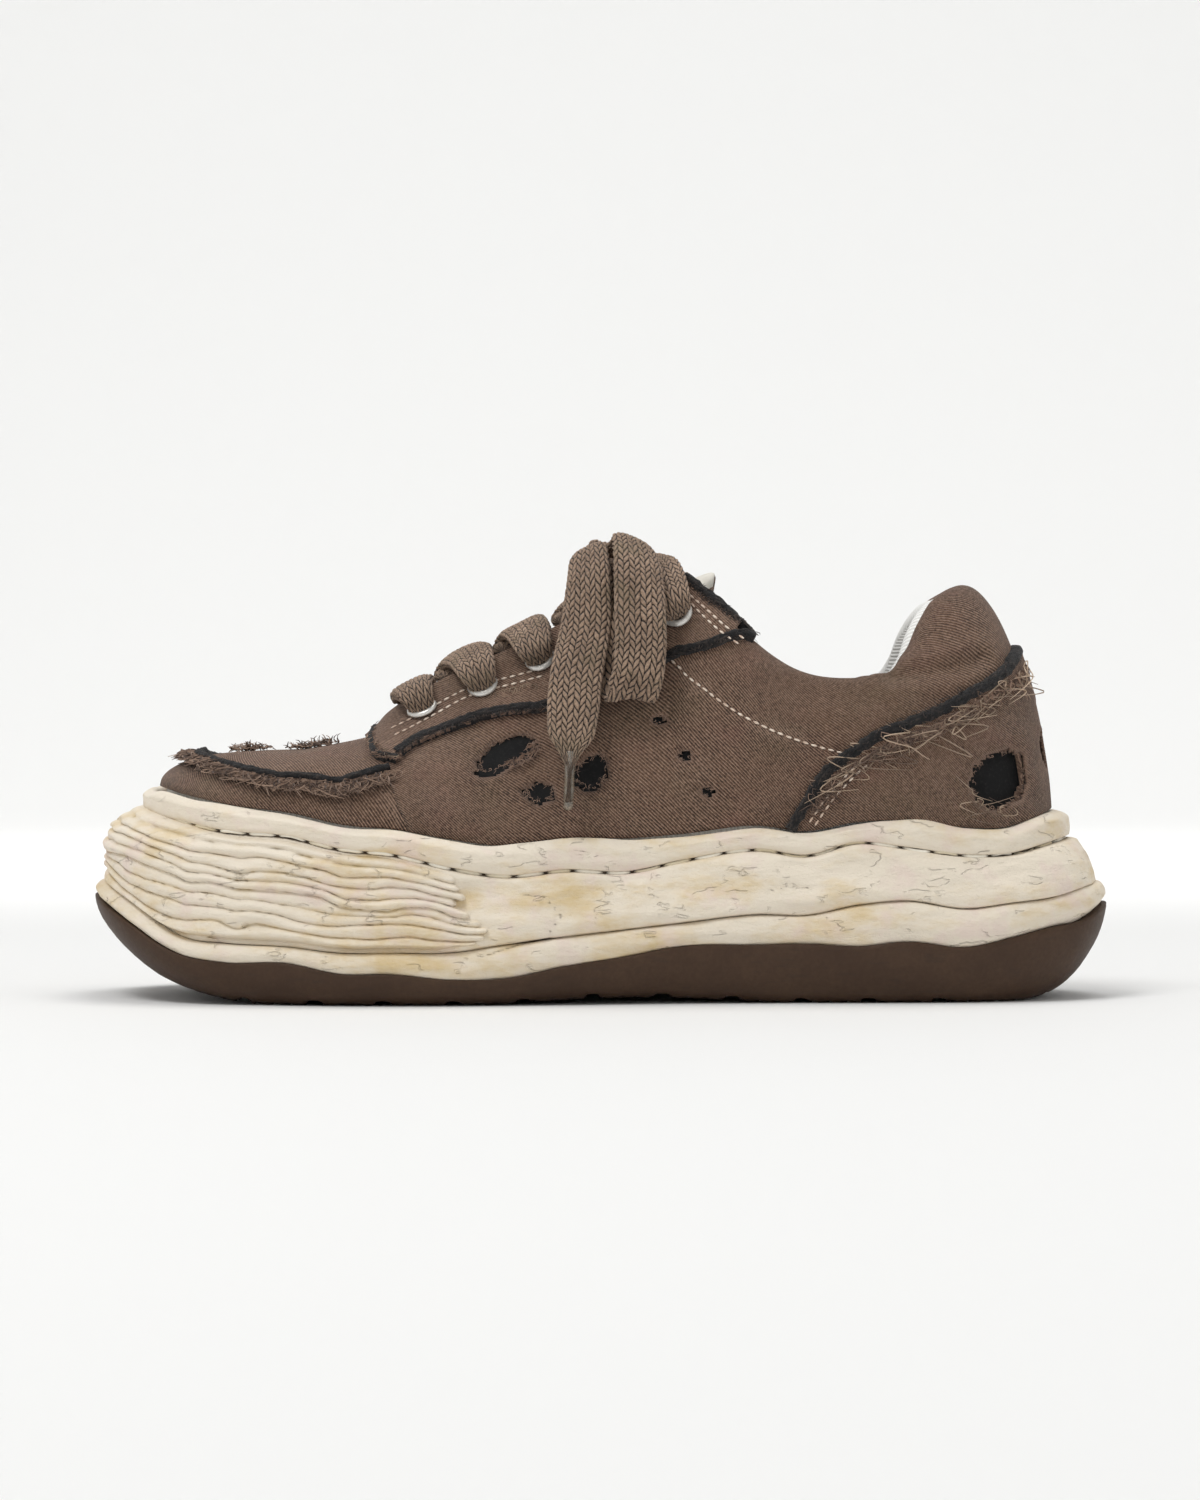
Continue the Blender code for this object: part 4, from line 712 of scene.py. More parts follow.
def outsole_reach(t):
    """How far the outsole's rim stands out from the feather line."""
    bulge = OUTSOLE_HEEL_BULGE * heel_share(t) + OUTSOLE_TOE_BULGE * toe_share(t)
    return OUTSOLE_REACH * LAST.flare(t) + bulge


def rounding(t):
    """The radius of the outsole's lower edge in plan."""
    toe = (TOE_ROUND - EDGE_ROUND) * toe_share(t)
    heel = (HEEL_ROUND - EDGE_ROUND) * heel_share(t)
    return EDGE_ROUND + toe + heel


def frame_at(t, v, height):
    """A matrix whose origin is above a place of the upper, with +Z along the surface's normal."""
    here = LAST.raised(np.array(t), np.array(v), np.array(height))
    spread_t, spread_v = 0.0035, 0.05
    along = LAST.surface(t + spread_t, v) - LAST.surface(t - spread_t, v)
    upward = LAST.surface(t, v + spread_v) - LAST.surface(t, v - spread_v)
    n = Vector(np.cross(upward, along)).normalized()
    return Matrix.Translation(Vector(here)) @ n.to_track_quat("Z", "Y").to_matrix().to_4x4()


def rim_at(side, x):
    """The place on the throat's edge at this x."""
    ts = np.linspace(LAST.knots[THROAT_TOP], LAST.knots[THROAT_FRONT], 300)
    rim = LAST.rim(side * ts)
    return np.array([np.interp(-x, -rim[:, 0], rim[:, k]) for k in range(3)])


def over_eyelet(side, number, width):
    """The bend of a lace that lies on top of an eyelet."""
    t, v = eyelet_place(number)
    height = LAYER + EYELET_LIFT + EYELET_HEIGHT + LACE_CLEARANCE + LACE_THICKNESS / 2
    return Bend(*LAST.raised(np.array(side * t), np.array(v), np.array(height)), width)


def over_edge(side, x, width):
    """The bend of a lace that lies over the edge of an eyestay."""
    here = rim_at(side, x)
    return Bend(here[0], here[1], here[2] + LAYER + 0.001 + LACE_THICKNESS / 2, width)


def frame_matrix(origin, out, along):
    """A matrix that stands at a place, with +Z outwards and +X as near as may be along a direction."""
    z = Vector(out).normalized()
    y = z.cross(Vector(along)).normalized()
    turn = Matrix((y.cross(z), y, z)).transposed().to_4x4()
    return Matrix.Translation(Vector(origin)) @ turn


# Building blocks for the meshes.


def settle(bm, mesh, smooth=True):
    """Writes a bmesh to its mesh, shaded smooth."""
    if smooth:
        for face in bm.faces:
            face.smooth = True
    bm.to_mesh(mesh)
    bm.free()
    return mesh


def from_bmesh(name, bm, smooth=True):
    return settle(bm, bpy.data.meshes.new(name), smooth)


def set_mark(mesh, name, values):
    mark = mesh.attributes.new(name, "FLOAT", "POINT")
    mark.data.foreach_set("value", values.ravel())


def write_points(mesh, points, uv=None, marks=None):
    """Puts a mesh's points in place, with a map in metres and named marks from 0 to 1."""
    mesh.vertices.foreach_set("co", np.asarray(points, float).ravel())
    if uv is not None:
        layer = mesh.uv_layers.get("map") or mesh.uv_layers.new(name="map")
        corner = np.empty(len(mesh.loops), int)
        mesh.loops.foreach_get("vertex_index", corner)
        layer.data.foreach_set("uv", np.asarray(uv, float).reshape(-1, 2)[corner].ravel())
    for name, values in (marks or {}).items():
        set_mark(mesh, name, np.broadcast_to(np.asarray(values, float), np.shape(points)[:-1]))
    mesh.update()


def over_grid(name, points, uv, marks):
    """A grid of faces over rows of points, as a mesh and as a bmesh to work on."""
    rows, columns = points.shape[:2]
    bm = bmesh.new()
    bmesh.ops.create_grid(bm, x_segments=columns - 1, y_segments=rows - 1, size=0.5)
    mesh = from_bmesh(name, bm)
    write_points(mesh, points, uv, marks)
    bm = bmesh.new()
    bm.from_mesh(mesh)
    return mesh, bm


def sheet(name, points, uv, marks=None, gone=None, thick=0.0):
    """A sheet of cloth or rubber over rows of points; rows times columns turns its face outwards.

    `gone` marks points whose faces are missing, and `thick` gives it a second face further in. Rows
    that meet are welded.
    """
    mesh, bm = over_grid(name, points, uv, marks)
    if gone is not None:
        flags = np.asarray(gone).ravel()
        bm.verts.ensure_lookup_table()
        lost = [f for f in bm.faces if all(flags[v.index] for v in f.verts)]
        bmesh.ops.delete(bm, geom=lost, context="FACES")
        loose = [v for v in bm.verts if not v.link_faces]
        bmesh.ops.delete(bm, geom=loose, context="VERTS")
    bmesh.ops.remove_doubles(bm, verts=bm.verts[:], dist=WELD)
    if thick:
        bmesh.ops.solidify(bm, geom=bm.faces[:], thickness=thick)
    return settle(bm, mesh)


def tube(name, rings, uv=None, marks=None):
    """A closed skin round rings of points, whose ends are drawn in."""
    rings = np.asarray(rings, float)
    whole = np.concatenate([rings, rings[:, :1]], axis=1)
    centres = np.repeat(rings.mean(axis=1, keepdims=True), whole.shape[1], 1)
    whole = np.concatenate([centres[:1], whole, centres[-1:]])

    def longer(values):
        return np.concatenate([values[:1], values, values[-1:]])

    marks = {key: longer(value) for key, value in (marks or {}).items()}
    mesh, bm = over_grid(name, whole, None if uv is None else longer(uv), marks)
    bmesh.ops.remove_doubles(bm, verts=bm.verts[:], dist=1e-7)
    bmesh.ops.dissolve_degenerate(bm, edges=bm.edges[:], dist=1e-8)
    bmesh.ops.recalc_face_normals(bm, faces=bm.faces[:])
    return settle(bm, mesh)


def joined(name, meshes, weld=False, outwards=False):
    """One mesh out of several; their maps and marks stay."""
    bm = bmesh.new()
    for mesh in meshes:
        bm.from_mesh(mesh)
        bpy.data.meshes.remove(mesh)
    if weld:
        bmesh.ops.remove_doubles(bm, verts=bm.verts[:], dist=WELD)
    if outwards:
        bmesh.ops.recalc_face_normals(bm, faces=bm.faces[:])
    return from_bmesh(name, bm, smooth=False)


def finish_piece(name, mesh, finish, *replaces):
    """A visible piece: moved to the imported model's place, with its finish, riding on the shoe."""
    mesh.transform(Matrix.Translation(Vector(SHIFT)))
    mesh.name = name
    mesh.materials.clear()
    mesh.materials.append(finish_named(finish))
    piece = bpy.data.objects.new(name, mesh)
    bpy.context.scene.collection.objects.link(piece)
    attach(piece, "root")
    if replaces:
        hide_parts(*replaces)
    return piece


def places_at(along, run, path):
    """Places of a path at these distances along it."""
    return np.stack([np.interp(along, run, path[:, k]) for k in range(path.shape[1])], axis=1)


def even(path, spacing):
    """Places along a path at an even spacing."""
    path = np.asarray(path, float)
    run = run_along(path)
    count = max(2, int(round(run[-1] / spacing)) + 1)
    return places_at(np.linspace(0, run[-1], count), run, path)


# The cloth's own relief: every layer of the upper lies on it.


def side_of(t):
    return LAST.fold(t)[0]


def relief(t, v):
    """How far the worn cloth stands off the foot form: lumps, creases and seams."""
    t, v = spread(t, v)
    p = LAST.surface(t, v)
    x, z, side = p[..., 0], p[..., 2], side_of(t)
    height = 0.0003 * rough(p, (0.026, 0.022, 0.018), 3) + 0.00012 * rough(p, (0.009, 0.009, 0.006), 7)
    for crease in CREASES:
        distance = away(x, z, crease.path)
        here = side == crease.side
        height = height - here * crease.depth * hump(distance, crease.width)
        height = height + here * 0.35 * crease.depth * hump(distance - 2.2 * crease.width, crease.width)
    height = height - SEAM_DEPTH * hump(away(x, z, COLLAR_SEAM), 0.0011)
    height = height - SEAM_DEPTH * hump(away(x, z, VAMP_SEAM), 0.001)
    for hole in HOLES:
        edge = outside_of(x, z, hole.outline)
        height = height - (side == hole.side) * 0.00055 * hump(np.maximum(edge, 0), 0.0012)
    return height * smoothstep(0.0, 0.05, v) * smoothstep(1.0, 0.93, v)


def cloth(t, v, lift=0.0):
    """A place on the cloth, or on a layer that lies on it."""
    t, v = spread(t, v)
    return LAST.raised(t, v, relief(t, v) + lift)


def inner(t, v, lift=0.0):
    """A place on the lining's inner face."""
    t, v = spread(t, v)
    _, near = LAST.fold(t)
    closing = np.sqrt(clamp(1 - clamp((v - 0.8) / 0.2) ** 2))
    thin = clamp((LAST.knots[THROAT_TOP] - near) / 0.035)
    closing = closing * thin + np.where(v < 0.995, 1.0, 0.5) * (1 - thin)
    opening = near < LAST.knots[THROAT_FRONT] + 1e-9
    depth = LAST.thickness(t, v) * np.where(opening, closing, 1.0)
    return LAST.raised(t, v, -(depth + lift))


def seam_place(v):
    """How far from the heel the seam between vamp and quarter runs, at places up the section."""
    ts, vs = located(VAMP_SEAM)
    order = np.argsort(vs)
    return np.interp(v, vs[order], ts[order])


def gone_by(p, side):
    """Where the cloth is worn through: negative inside a hole, else the distance to the nearest."""
    x, z = p[..., 0], p[..., 2]
    least = np.full(np.shape(x), 1.0)
    for hole in HOLES:
        edge = outside_of(x, z, hole.outline)
        least = np.where(side == hole.side, np.minimum(least, edge - HOLE_GROWTH), least)
    for tx, tz, tear_side in TEARS:
        reach = np.hypot((x - tx) / 1.4, z - tz) - 0.0018
        least = np.where(side == tear_side, np.minimum(least, reach), least)
    return least


def back_hole(t, z):
    """The same for the hole at the back of the heel."""
    place, height, half_t, half_z = BACK_HOLE
    return (np.hypot((t - place) / half_t, (z - height) / half_z) - 1) * min(half_t, half_z)


def collar_turn(near):
    """How far short of the top line the cloth ends, so that the lining's roll shows."""
    x, width, reach = COLLAR_ROLL
    return COLLAR_TURN + reach * hump(LAST.surface(near, 1.0 + 0 * near)[..., 0] - x, width)


def panel(name, starts, ends, spacing, band=0.0):
    """A panel of the upper between two lines up the section; places past the toe come back."""
    ups = np.linspace(0.0, 1.0, PANEL_ROWS)
    ups = ups + 0.1 * np.sin(2 * pi * ups) / (2 * pi)
    length = np.max(np.abs(ends(ups) - starts(ups)))
    share = np.linspace(0, 1, int(length / spacing) + 1)[:, None]
    t = starts(ups)[None, :] * (1 - share) + ends(ups)[None, :] * share
    near = LAST.fold(t)[1]
    collar = smoothstep(LAST.knots[THROAT_TOP] + 0.001, LAST.knots[THROAT_TOP] - 0.004, near)
    v = ups[None, :] * (1 - collar_turn(near) * collar)
    p = LAST.surface(t, v)
    side = side_of(t)
    hole = np.minimum(gone_by(p, side), back_hole(t, p[..., 2]))
    hole = hole + (0.00028 * rough(p, 0.0011, 21) + 0.00022 * rough(p, 0.003, 22))
    # The cloth curls inwards at the edge of a hole, and over the lining's edge at the throat.
    curl = clamp(1 - np.maximum(hole, 0) / 0.0012) ** 2 * (hole > -0.0012)
    points = cloth(t, v, band * (v < 0.9999)) - LAST.normal(t, v) * (0.0007 * curl)[..., None]
    closed = (near[:, :1] > LAST.knots[THROAT_FRONT]) | (collar[:, -1:] > 0)
    turned = [
        np.where(closed[..., None], points[:, -1:], inner(t[:, -1:], w, -0.00025)) for w in TURNED_ROWS
    ]
    points = np.concatenate([points, *turned], axis=1)
    extend = ((0, 0), (0, len(TURNED_ROWS)))
    uv = pair(np.pad(t, extend, mode="edge"), run_along(points.transpose(1, 0, 2))[None, :])
    marks = {
        "edge": np.pad(np.exp(-np.maximum(hole, 0) / 0.0009), extend),
        "dirt": np.pad(soil_and_shade_at(p, v, side), extend, mode="edge"),
        "worn": np.pad(worn_at(t, v, p), extend, mode="edge"),
    }
    return sheet(name, points, uv, marks, np.pad(hole < 0, extend), thick=0.0007)


def soil_and_shade_at(p, v, side):
    """Darker towards the sole and round the holes, soil in patches, and painted shade in the crease along the
    vamp seam.
    """
    low = np.exp(-v / 0.1) + 1.2 * hump(away(p[..., 0], p[..., 2], VAMP_SEAM), 0.0008)
    patches = smoothstep(0.05, 0.65, rough(p, 0.021, 31) + 0.5 * rough(p, 0.007, 32))
    holes = np.exp(-np.maximum(gone_by(p, side), 0) / 0.006)
    return clamp(0.75 * low + 0.45 * patches + 0.15 * holes)


def worn_at(t, v, p):
    """Pale, rubbed cloth: on the toe, along seams and at the top line."""
    x, z = p[..., 0], p[..., 2]
    toe = smoothstep(LAST.toe - 0.07, LAST.toe, LAST.fold(t)[1])
    worn = 0.55 * hump(away(x, z, COLLAR_SEAM), 0.0024) + 0.5 * hump(away(x, z, VAMP_SEAM), 0.0028)
    worn = worn + 0.35 * toe + 0.5 * smoothstep(0.95, 1.0, v) + 0.25 * rough(p, 0.012, 41)
    return clamp(worn)


def overlay(name, t, v, gone_edge, lift, dirt, worn):
    """A layer of cloth sewn over the upper; it is missing where `gone_edge` is above zero."""
    points = cloth(t, v, lift)
    marks = {"edge": np.exp(np.minimum(gone_edge, 0) / 0.001), "dirt": dirt, "worn": worn}
    return sheet(name, points, pair(t, run_across(points)), marks, gone_edge > 0, thick=0.0011)


def counter_mesh():
    reach = LAST.locate(1, 0.056, 0.053)[0] + 0.004
    t, v = np.meshgrid(np.linspace(-reach, reach, 250), np.linspace(0.0, 0.93, 84), indexing="ij")
    p = LAST.surface(t, v)
    outline = (*COUNTER_EDGE, (0.16, 0.1065), (0.16, 0.03), (COUNTER_EDGE[0][0], 0.03))
    edge = outside_of(p[..., 0], p[..., 2], outline) + 0.0004 * rough(p, 0.0016, 51)
    side = side_of(t)
    torn = -gone_by(p, side) - 0.0003 * rough(p, 0.0012, 52)
    torn = np.maximum(torn, -back_hole(t, p[..., 2]) - 0.0004 * rough(p, 0.0014, 53))
    ragged = np.maximum(0, rough(p, (0.012, 0.01, 0.005), 56)) * smoothstep(0.112, 0.128, p[..., 0])
    lift = LAYER + 0.0009 * ragged
    return overlay("counter", t, v, np.maximum(edge, torn), lift, soil_and_shade_at(p, v, side), 0.3 * worn_at(t, v, p))


def eyelet_place(number):
    return LAST.locate(1, *EYELETS[number])


def eyestay_mesh(side):
    first, last = LAST.knots[8] + 0.004, LAST.knots[THROAT_FRONT]
    t, v = np.meshgrid(side * np.linspace(first, last, 135), np.linspace(0.42, 0.992, 62), indexing="ij")
    if side < 0:
        t, v = t[::-1], v[::-1]
    p = LAST.surface(t, v)
    outline = (*EYESTAY_EDGE, (EYESTAY_EDGE[-1][0], 0.15), (EYESTAY_EDGE[0][0], 0.15))
    edge = outside_of(p[..., 0], p[..., 2], outline) + 0.00035 * rough(p, 0.0015, 54)
    for number in range(len(EYELETS)):
        place, up = eyelet_place(number)
        bore = 0.003 - np.linalg.norm(p - LAST.surface(side * place, up), axis=-1)
        edge = np.maximum(edge, bore)
    dirt = 0.35 * soil_and_shade_at(p, v, side_of(t))
    return overlay("eyestay", t, v, edge, LAYER, dirt, 0.4 + 0.3 * rough(p, 0.01, 55))


def along_upper(path_tv, spacing, first=0.0):
    """Places about this far apart on a smooth line over the upper: how far along, t and v."""
    run = run_along(np.array([LAST.surface(t, v) for t, v in path_tv]))
    if first:
        along = np.arange(first, run[-1], spacing)
    else:
        along = np.linspace(0, run[-1], int(run[-1] / spacing))
    ts, vs = (through(run, values)(along) for values in zip(*path_tv))
    return along, ts, np.clip(vs, 0, 0.995)


def tape(path_tv, width, lift, height, seed):
    """A frayed band along a path over the upper, given by places (t, v)."""
    along, ts, vs = along_upper(path_tv, 0.0007)
    here, n = cloth(ts, vs, lift), LAST.normal(ts, vs)
    across = unit(np.cross(n, np.gradient(here, axis=0)))
    shares = np.linspace(-1, 1, 11)
    wide, length = np.meshgrid(shares, along)
    edges = np.stack([length, 3 * np.sign(wide), 3 * np.sign(wide)], axis=-1)
    half = width / 2 * (1 + 0.22 * rough(edges, (0.0013, 1, 1), seed))
    grain = rough(np.stack([length, wide * width, 0 * wide], axis=-1), (0.0012, 0.0006, 1), seed + 1)
    crown = height * (1 - shares**4) + 0.0003 * grain * (1 - shares**8)
    # Its two sides go down into the cloth.
    shares = np.concatenate([[-1], shares, [1]])
    half, grain = (np.pad(value, ((0, 0), (1, 1)), mode="edge") for value in (half, grain))
    crown = np.pad(crown, ((0, 0), (1, 1)), constant_values=-(lift + 0.0008))
    points = here[:, None] + across[:, None] * (half * shares)[..., None] + n[:, None] * crown[..., None]
    marks = {"edge": np.abs(shares) ** 3, "dirt": 0.0, "worn": 0.5 + 0.5 * grain}
    return sheet("tape", points, pair(along[:, None], shares * width / 2), marks)


def hair(roots, directions, normals, lengths, seed, thick=0.00016, curl=0.35, steps=4):
    """Many loose threads as joined thin skins: each starts at its root and wanders off along its way."""
    count = len(roots)
    rng = np.random.default_rng(seed)
    turn = np.cross(normals, directions)
    sway = rng.normal(size=(count, 2)) * curl
    lift = np.abs(rng.normal(size=count)) * 0.3
    lines = []
    for a in np.linspace(0, 1, steps):
        bow = (sway[:, :1] * a**2 + sway[:, 1:] * np.sin(3.6 * a)) * lengths[:, None] * 0.6
        out = (lift * np.sin(2.4 * a) + 0.05)[:, None] * lengths[:, None] * 0.6
        lines.append(roots + directions * (lengths * a)[:, None] + turn * bow + normals * (out + 0.0002))
    lines = np.stack(lines, axis=1)
    bm = bmesh.new()
    bmesh.ops.create_circle(bm, segments=3, radius=1.0)
    shape = np.array([v.co[:] for v in bm.verts])[:, :2]
    bm.free()
    ahead = np.gradient(lines, axis=1)
    ahead /= np.linalg.norm(ahead, axis=2, keepdims=True) + 1e-12
    wide = np.cross(ahead, normals[:, None])
    wide /= np.linalg.norm(wide, axis=2, keepdims=True) + 1e-12
    up = np.cross(wide, ahead)
    radius = thick * (1 - 0.65 * np.linspace(0, 1, steps) ** 2.5)[None, :, None, None]
    rings = lines[:, :, None] + radius * (wide[:, :, None] * shape[:, :1] + up[:, :, None] * shape[:, 1:])
    start = np.arange(count)[:, None, None, None] * steps * 3
    low = start + np.arange(steps - 1)[None, :, None, None] * 3
    k = np.arange(3)[None, None, :, None]
    after = (k + 1) % 3
    quads = np.concatenate([low + k, low + after, low + 3 + after, low + 3 + k], axis=3).reshape(-1, 4)
    start = start.reshape(-1, 1)
    caps = np.concatenate([start + [2, 1, 0], start + (steps - 1) * 3 + [0, 1, 2]])
    mesh = bpy.data.meshes.new("hair")
    mesh.from_pydata(rings.reshape(-1, 3), [], [*quads.tolist(), *caps.tolist()])
    set_mark(mesh, "worn", np.repeat(rng.random(count), steps * 3))
    return mesh


def stitches(path, length, pitch, lift, thick, side=1):
    """Small stitches along a line on the upper, given by x and height as seen from its side."""
    along, ts, vs = along_upper(on_side(side, path), pitch, pitch / 2)
    here, n = cloth(ts, vs, lift), LAST.normal(ts, vs)
    ahead = np.gradient(here, axis=0)
    shape = Matrix.Diagonal((length / 2, thick, thick * 0.75, 1.0))
    bm = bmesh.new()
    for i in range(len(along)):
        place = frame_matrix(here[i], n[i], ahead[i]) @ shape
        bmesh.ops.create_uvsphere(bm, u_segments=6, v_segments=4, radius=1.0, matrix=place)
    return from_bmesh("stitches", bm)


# The sole.


def around(spacing):
    count = int(2 * LAST.toe / spacing / 2) * 2
    return np.linspace(0, 2 * LAST.toe, count + 1)


def rows_of(t, rings):
    """Lines of points round the sole's side, one for each row of the table."""
    rows = []
    for ring in rings:
        plan = LAST.ring(t, ring.fixed + ring.flare * LAST.flare(t) + ring.heel * heel_share(t))
        seen_at = LAST.ring(t, outsole_reach(t)) if ring.low == "outsole_top" else plan
        low = LAST.lines[ring.low](seen_at[:, 0])
        high = LAST.lines[ring.high](seen_at[:, 0])
        rows.append(with_height(plan, low + (high - low) * ring.share))
    return np.array(rows)


def refine(rows, steps):
    """More rows between the given ones, on smooth curves; returns them and where they lie."""
    last = len(rows) - 1
    at = [np.linspace(k, k + 1, count, endpoint=False) for k, count in enumerate(steps)]
    at = np.append(np.concatenate(at), last)
    flat = np.asarray(rows).reshape(last + 1, -1)
    i = np.clip(at.astype(int), 0, last - 1)
    slope = np.gradient(flat, axis=0)
    cap = 1.6 * np.abs(np.diff(flat, axis=0)[i])
    left, right = np.clip(slope[i], -cap, cap), np.clip(slope[i + 1], -cap, cap)
    made = hermite((at - i)[:, None], flat[i], left, flat[i + 1], right)
    return made.reshape(len(at), *rows.shape[1:]), at


def outward3(t):
    n = LAST.outward(t)
    return with_height(n, np.zeros(n.shape[:-1]))


def wall_round(name, t, rows, marks):
    """A sheet from rows round the sole, given from below."""
    uv = pair(t[None, :], run_along(rows)[:, None])
    marks = {key: np.broadcast_to(value, rows.shape[:2]).T for key, value in marks.items()}
    return sheet(name, rows.transpose(1, 0, 2), uv.transpose(1, 0, 2), marks)


def span(ring, count):
    """Rows that fill a ring round the shoe from its lateral to its medial side."""
    half = len(ring) // 2 + 1
    share = np.linspace(0, 1, count)[None, :, None]
    return ring[:half][:, None] * (1 - share) + ring[::-1][:half][:, None] * share


def midsole_mesh():
    t = around(0.0015)
    rows, at = refine(rows_of(t, MIDSOLE_SIDE), (2, 5, 5, 4, 2, 3, 5, 10, 9, 5, 3, 3, 6, 9, 6, 4, 3, 3))
    at = at[:, None]
    out = outward3(t)[None]
    x, z = rows[..., 0], rows[..., 2]
    side = np.broadcast_to(side_of(t), x.shape)
    broad, fine = rough(rows, (0.022, 0.018, 0.0075), 61), rough(rows, (0.008, 0.008, 0.0034), 62)
    height = 0.00085 * broad + 0.00034 * fine
    body = smoothstep(STRIP_RING, STRIP_RING + 1.4, at) * smoothstep(GROOVE_RING - 0.6, GROOVE_RING - 1.6, at)
    height = height * (0.35 + 1.1 * body) - 0.0011 * hump(at - STRIP_RING, 0.24)
    furrow = 0 * x
    for path, depth, width in SOLE_CREASES:
        trough = (side == 1) * hump(away(x, z, path), width)
        furrow = np.maximum(furrow, trough)
        height = height - trough * depth
    # Facets: broad flats with soft ridges between them.
    facet = rough(rows, (0.034, 0.03, 0.011), 63)
    height = height + 0.0011 * body * (0.5 - np.abs(facet)) * 2
    crack = np.maximum(0, rough(rows, (0.0035, 0.0035, 0.0012), 64) - 0.55)
    height = height - 0.0005 * crack * body
    ripple = 0.0002 * rough(rows, (0.005, 0.005, 0.0016), 65)
    points = rows + out * (height + ripple)[..., None]
    # Under the bumper the body lies further in.
    under = smoothstep(BUMPER_ENDS[5] + 0.002, BUMPER_ENDS[5] - 0.01, bumper_x(t))
    points = points - out * (under[None, :] * body * 0.0022)[..., None]
    rise = smoothstep(GROOVE_RING + 1, GROOVE_RING + 4, at)
    points[..., 2] += rise * 0.0008 * rough(rows * np.array([1, 1, 0]), (0.012, 0.012, 1), 68)
    # The line mark paints dark brown into the stitched groove, the strip's crack and the creases: painted
    # shade in these recesses.
    groove, strip = 1.2 * hump(at - GROOVE_RING, 0.85), hump(at - STRIP_RING, 0.3)
    strip = strip * (0.75 + 0.5 * rough(rows, 0.008, 66))
    marks = {
        "hollow": clamp(smoothstep(0.0001, 0.0016, -height) * 0.8),
        "line": clamp(groove + strip + 0.7 * furrow**2),
        "dirt": clamp(0.55 * smoothstep(8, 2, at) + 0.5 * rough(rows, 0.016, 67)),
    }
    marks = {key: np.pad(value, ((1, 1), (0, 0)), mode="edge") for key, value in marks.items()}
    top = LAST.ring(t, -0.0008 * np.ones(len(t)))
    bed = with_height(top, LAST.bed(top[:, 0]))
    ledge = LAST.ring(t, outsole_reach(t) - OUTSOLE_RIM - 0.002)
    ledge = with_height(ledge, rows[0][:, 2] - 0.0006)
    meshes = [wall_round("midsole", t, np.concatenate([ledge[None], points, bed[None]]), marks)]
    # The bed under the insole, and the face against the outsole.
    for grid in (span(bed, 21), span(ledge, 21)[:, ::-1]):
        meshes.append(sheet("face", grid, grid[..., :2], {"hollow": 0.0, "line": 0.0, "dirt": 0.5}))
    return joined("midsole", meshes, weld=True)


def bumper_x(t):
    """The places along the shoe at which the toe bumper's ends are measured."""
    return LAST.ring(t, 0 * t + 0.008)[:, 0]


def bumper_mesh():
    """Rounded ridges, one above the other, which wander and end raggedly."""
    ts = np.linspace(0, LAST.toe, 400)
    ends = np.interp(-np.array(BUMPER_ENDS), -bumper_x(ts), ts)
    start = ends.min() - 0.004
    count = len(BUMPER_ENDS)
    t = np.linspace(start, 2 * LAST.toe - start, 300)
    back, _ = refine(rows_of(t, MIDSOLE_SIDE[STRIP_RING + 1 : GROOVE_RING]), (26, 36, 28, 8))
    side, near = LAST.fold(t)
    toe = toe_share(t)[None, :]
    run = run_across(back.transpose(1, 0, 2)).T
    share = run / run[-1:]
    zero = 0 * share
    place = np.stack([t[None, :] + zero, zero, zero], axis=-1)
    local = np.stack([t[None, :] + zero, share * 0.03, zero], axis=-1)
    wander = 0.07 * rough(place, (0.024, 1, 1), 71) + 0.05 * (0.4 - np.abs(rough(place, (0.012, 1, 1), 72)))
    wander = wander + 0.07 * rough(local, (0.017, 0.007, 1), 73) + 0.024 * rough(local, (0.006, 0.004, 1), 78)
    wave = np.clip(count * (share + wander * np.sin(pi * share) ** 0.7), 0, count - 1e-6)
    number = np.floor(wave)
    across = 2 * (wave - number) - 1
    uneven = lattice(np.stack([number, zero, zero], axis=-1), 70)
    profile = np.sqrt(clamp(1 - across**2)) ** 0.8 * (0.75 + 0.4 * uneven)
    minor = rough(local, (0.016, 0.0013, 1), 79) * profile
    end = ends[number.astype(int)] + np.where(side < 0, 0.004 * uneven, 0.0)
    ending = smoothstep(0.0, 0.0015, near[None, :] - end - 0.0008 * across**2)
    ending = ending * smoothstep(-0.02, 0.06, share) * smoothstep(1.02, 0.95, share)
    lumps = 0.00055 * rough(local, (0.012, 0.004, 1), 75) + 0.0002 * minor
    swell = BUMPER_TOE_SWELL * toe * np.sin(pi * share**1.9)
    height = -0.0026 + ending * (0.002 + 0.0023 * profile + lumps + swell)
    points = back + outward3(t)[None] * height[..., None]
    points[..., 2] += 0.6 * BUMPER_TOE_RISE * toe * share**5
    # The hollow mark yellows the rubber between the ridges; the line mark paints a dark line there, painted
    # shade in the valleys.
    return wall_round("bumper", t, points, {
        "hollow": clamp(1 - 1.2 * profile) ** 1.6,
        "line": clamp(1 - profile * 4.0) * ending * 0.5,
        "dirt": clamp(0.25 + 0.6 * rough(local, (0.02, 0.008, 1), 77)),
    })


